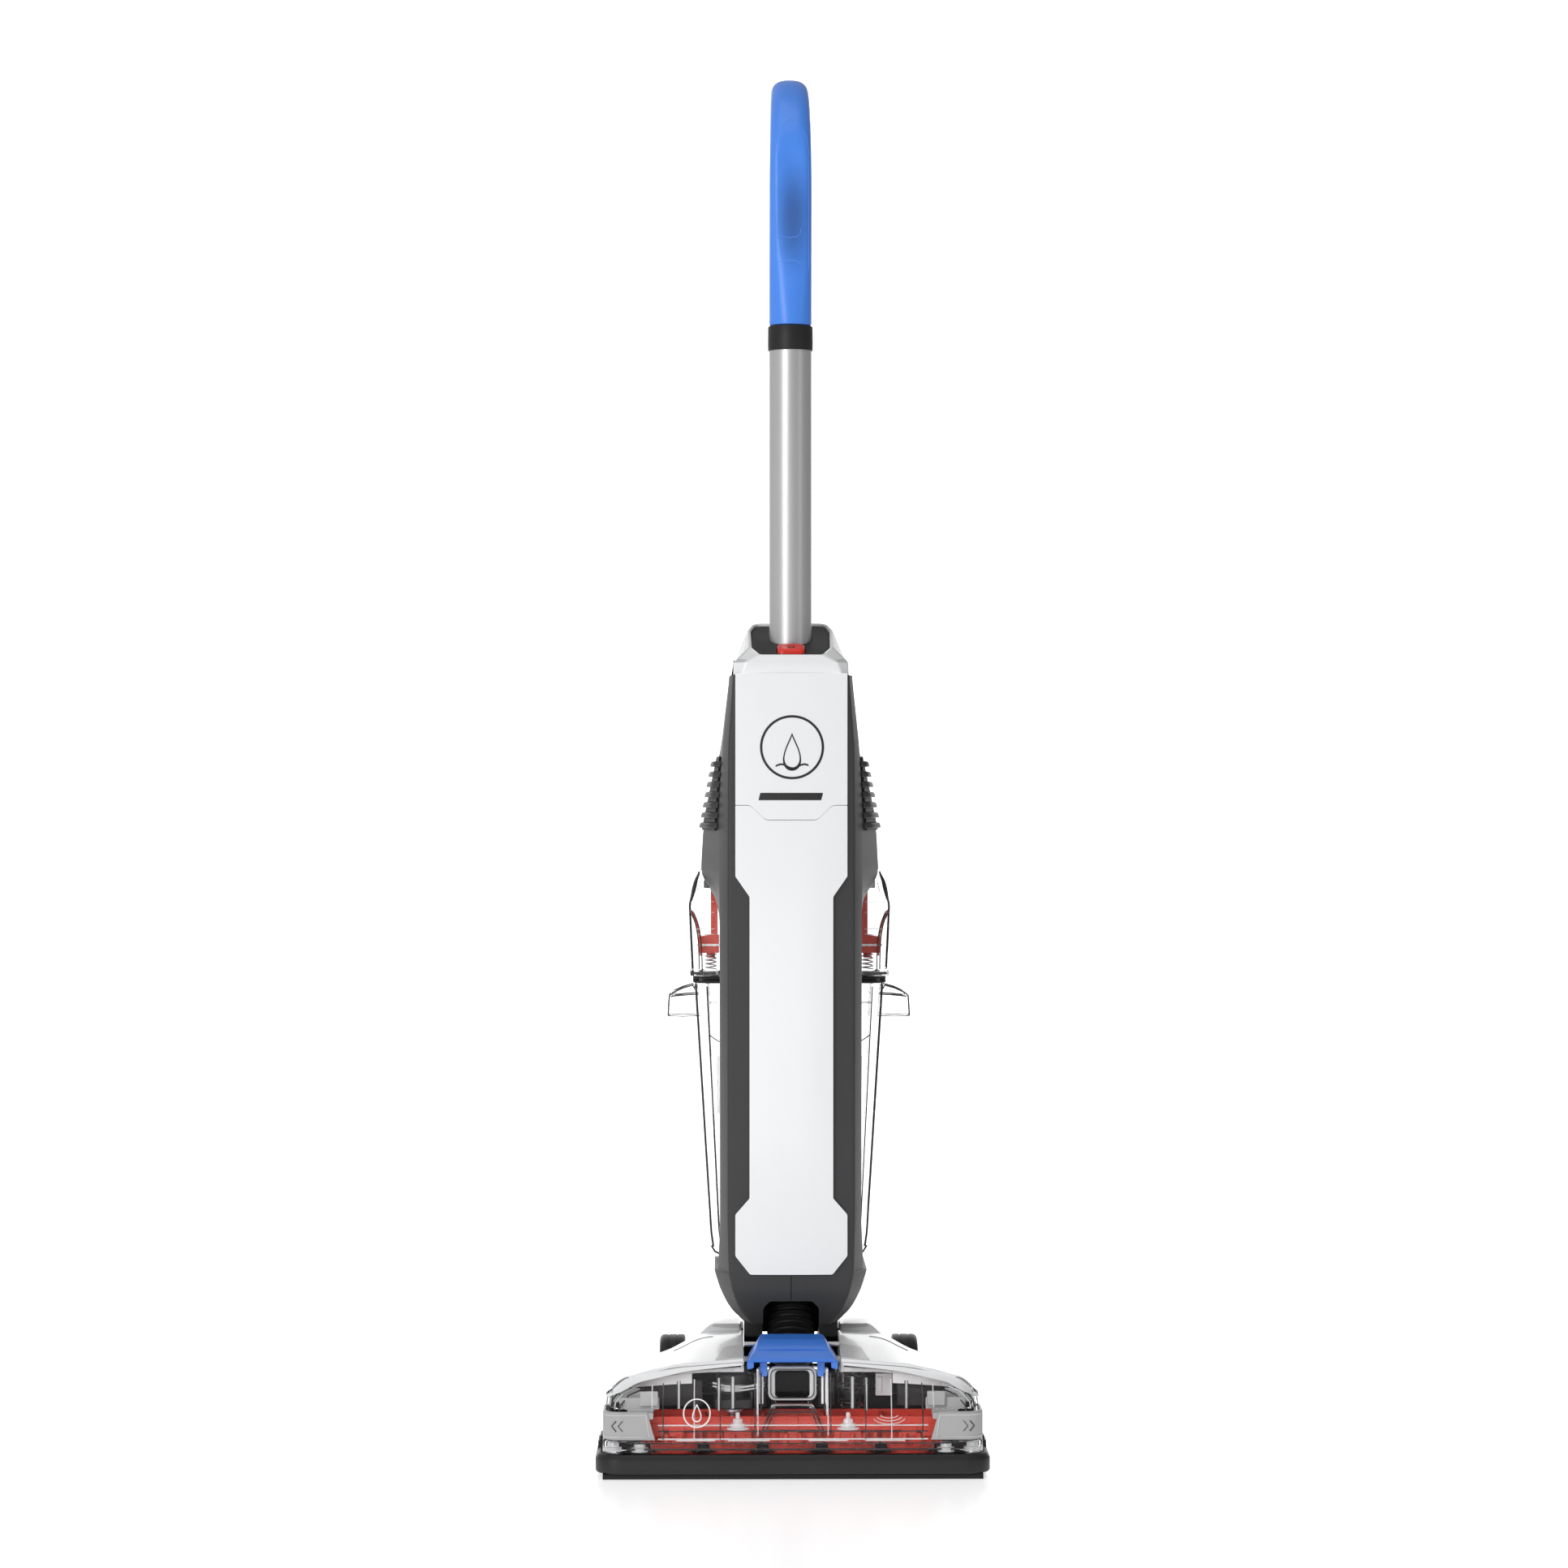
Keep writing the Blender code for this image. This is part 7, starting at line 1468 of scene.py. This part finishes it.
# ---- elbow, latch and its pin
def oval_ring(c, d, a, b, n=48, e=2.0):
    nrm = Vector((0, d.z, -d.y))
    out = []
    for k in range(n):
        an = 2 * math.pi * (k + 0.5) / n
        ca, sa = math.cos(an), math.sin(an)
        out.append(c + Vector((a * math.copysign(abs(ca) ** (2 / e), ca), 0, 0)) + nrm * (b * math.copysign(abs(sa) ** (2 / e), sa)))
    return out


def elbow(w):
    cs = catmull([(0, -0.0570, 0.0655), (0, -0.0480, 0.0660), (0, -0.0380, 0.0700), tuple(HOSE_0 - HOSE_DIR * 0.0006)], 6)
    out = []
    for i, c in enumerate(cs):
        f = i / (len(cs) - 1)
        d = (cs[min(i + 1, len(cs) - 1)] - cs[max(i - 1, 0)]).normalized()
        if i == 0:
            d = Vector((0, 1, 0))
        if i == len(cs) - 1:
            d = HOSE_DIR
        a, bb, e = lerp_rows([(0, 0.0175, 0.0135, 4.0), (0.33, 0.0175, 0.0138, 3.5), (0.66, 0.0175, 0.0150, 2.6), (1.0, 0.0165, 0.0165, 2.0)], f)
        out.append(oval_ring(c, d, a - w, bb - w, e=e))
    return out


make("base_duct_skin", shell(elbow(0), elbow(0.0022), True, True), M_GREY_D, "base", ("base_duct",), sharp=50)
LR = sorted([(-0.0625, 0.0930, 0.1018, 0.0300, 0.0240), (-0.0800, 0.0880, 0.0998, 0.0345, 0.0262), (-0.0900, 0.0866, 0.0966, 0.0353, 0.0276), (-0.0960, 0.0862, 0.0940, 0.0354, 0.0290),
      (-0.1050, 0.0860, 0.0900, 0.0352, 0.0325), (-0.1085, 0.0858, 0.0880, 0.0350, 0.0338)])
lr = []
for y in [-0.1085, -0.1080] + frange(-0.1070, -0.0640, 22) + [-0.0630, -0.0625]:
    zl, zh, xl, xh = smoothed(LR, y, 0.0022)
    e = 0.0006 if y in (-0.1085, -0.0625) else 0.0
    poly = [(-xl + e, zl + e), (xl - e, zl + e), (xh - e, zh - e), (-xh + e, zh - e)]
    pts = rounded(poly, [0.0009, 0.0009, 0.0022, 0.0022], 5)
    lr.append([(px, y, pz + (0.0006 * max(0.0, 1 - (px / 0.03) ** 2) if pz > (zl + zh) / 2 else 0.0)) for px, pz in pts])
la = make("nozzle_latch_skin", loft(lr), M_BLUE, "nozzle_latch", ("nozzle_latch",), sharp=30)
ls = [make("latch_slot_tmp", box(-0.05, 0.05, -0.0776, -0.0676, 0.0926, 0.0974), M_BLUE, "nozzle_latch")]
b = la.modifiers.new("slot", "BOOLEAN")
b.operation, b.solver, b.object = "DIFFERENCE", "EXACT", ls[0]
bake(la, *ls)
la.data.shade_smooth()
la.data.set_sharp_from_angle(angle=math.radians(30))
legs = []
for s in (-1, 1):
    lg = prism(rounded([(0.0195, 0.0735), (0.0252, 0.0735), (0.0252, 0.0885), (0.0195, 0.0885)], [0.0018, 0.0018, 0, 0], 5), -0.0998, -0.0965, "Y")
    legs.append(sided(lg, s))
    hk_ = prism(rounded([(0.0300, 0.0815), (0.0352, 0.0800), (0.0352, 0.0872), (0.0300, 0.0872)], [0.001, 0.0012, 0, 0], 4), -0.1080, -0.1060, "Y")
    legs.append(sided(hk_, s))
make("nozzle_latch_legs", join_all(legs), M_BLUE, "nozzle_latch", (), bevel=0.0005)
grips = [tube([(x, -0.1087, 0.0868) for x in frange(-0.0320, 0.0320, 30)], 0.0004, 6), tube([(x, y, smoothed(LR, y, 0.0022)[1] + 0.0006 * max(0, 1 - (x / 0.03) ** 2)) for x, y in [(x, -0.0965) for x in frange(-0.0262, 0.0262, 24)]], 0.0004, 6)]
make("nozzle_latch_edges", join_all(grips), M_BLUE, "nozzle_latch", ())
make("latch_pin_skin", lathe([(0.0, -0.0374), (0.0017, -0.0374), (0.0020, -0.0371), (0.0020, 0.0371), (0.0017, 0.0374), (0.0, 0.0374)], (-0.0700, 0.0950), "X", 28, closed=False), M_STEEL, "base", ("latch_pin",))

# hidden machinery keeps its frame shape, with real finishes
for name, m in (("riser_pipe", M_GREY_D), ("suction_motor", M_MOTOR), ("solution_pump", M_MOTOR), ("suction_fan", M_STEEL)):
    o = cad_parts[name]
    o.data.materials.clear()
    o.data.materials.append(m)

# =============================================================== STUDIO
sc = bpy.context.scene
sc.view_settings.view_transform = "Standard"
sc.view_settings.look = "None"

world = bpy.data.worlds.new("studio_soft")
sc.world = world
world.use_nodes = True
wn = world.node_tree
bg = wn.nodes["Background"]
wc = wn.nodes.new("ShaderNodeTexCoord")
sep = wn.nodes.new("ShaderNodeSeparateXYZ")
wn.links.new(wc.outputs["Generated"], sep.inputs["Vector"])
mx = wn.nodes.new("ShaderNodeMapRange")
mx.inputs["From Min"].default_value, mx.inputs["From Max"].default_value = -0.8, 0.8
mx.inputs["To Min"].default_value, mx.inputs["To Max"].default_value = 0.54, 0.25
wn.links.new(sep.outputs["X"], mx.inputs["Value"])
wn.links.new(mx.outputs["Result"], bg.inputs["Strength"])
bg.inputs["Color"].default_value = (1.0, 1.0, 1.0, 1)

fm = mat("studio_floor", (0.90, 0.90, 0.90), 0.24, grain=0.0, vary=0.003, spec=0.5, rough_vary=0.02)
fb_ = fm.node_tree.nodes["Principled BSDF"]
fb_.inputs["Emission Color"].default_value = (1.0, 1.0, 1.0, 1)
fb_.inputs["Emission Strength"].default_value = 0.52
wm = mat("studio_backdrop", (0.9, 0.9, 0.9), 0.8, vary=0.003, spec=0.2)
wb_ = wm.node_tree.nodes["Principled BSDF"]
wb_.inputs["Emission Color"].default_value = (1.0, 1.0, 1.0, 1)
wb_.inputs["Emission Strength"].default_value = 1.0


def strip(name, prof, m, half):
    bm = bmesh.new()
    va = [bm.verts.new((-half, y, z)) for y, z in prof]
    vb = [bm.verts.new((half, y, z)) for y, z in prof]
    for i in range(len(prof) - 1):
        bm.faces.new((va[i], vb[i], vb[i + 1], va[i + 1]))
    me = bpy.data.meshes.new(name)
    bm.to_mesh(me)
    bm.free()
    me.shade_smooth()
    o = bpy.data.objects.new(name, me)
    sc.collection.objects.link(o)
    me.materials.append(m)
    return o


strip("floor", [(-4.0, 0.0), (1.8, 0.0)], fm, 2.2)
strip("backdrop", [(1.8, 0.0)] + [(1.8 + 1.0 * math.sin(a), 1.0 - 1.0 * math.cos(a)) for a in [math.radians(6 * k) for k in range(1, 16)]] + [(2.8, 1.95)], wm, 1.5)


def area(name, loc, target, size, power, size_y=None):
    d = bpy.data.lights.new(name, "AREA")
    d.energy, d.size = power, size
    if size_y:
        d.shape, d.size_y = "RECTANGLE", size_y
    o = bpy.data.objects.new(name, d)
    sc.collection.objects.link(o)
    o.location = loc
    o.rotation_euler = (Vector(target) - Vector(loc)).to_track_quat("-Z", "Y").to_euler()
    return o


area("key_left", (-1.5, -2.6, 1.5), (0, 0, 0.5), 1.1, 29, 2.2)
area("fill_right", (2.2, -1.6, 1.0), (0, 0, 0.4), 0.5, 2.5, 2.2)
area("top_soft", (-0.2, -0.6, 2.6), (0, 0, 0.5), 1.4, 5)
area("low_front", (-0.3, -1.6, 0.25), (0, 0, 0.05), 0.9, 1.2, 0.3)

cam = bpy.data.cameras.new("camera")
cam.lens, cam.sensor_width = 94.6, 36
co_ = bpy.data.objects.new("camera", cam)
sc.collection.objects.link(co_)
co_.location = (-0.0512, -3.3, 0.534)
co_.rotation_euler = (math.radians(90), 0, math.radians(-0.8))
sc.camera = co_
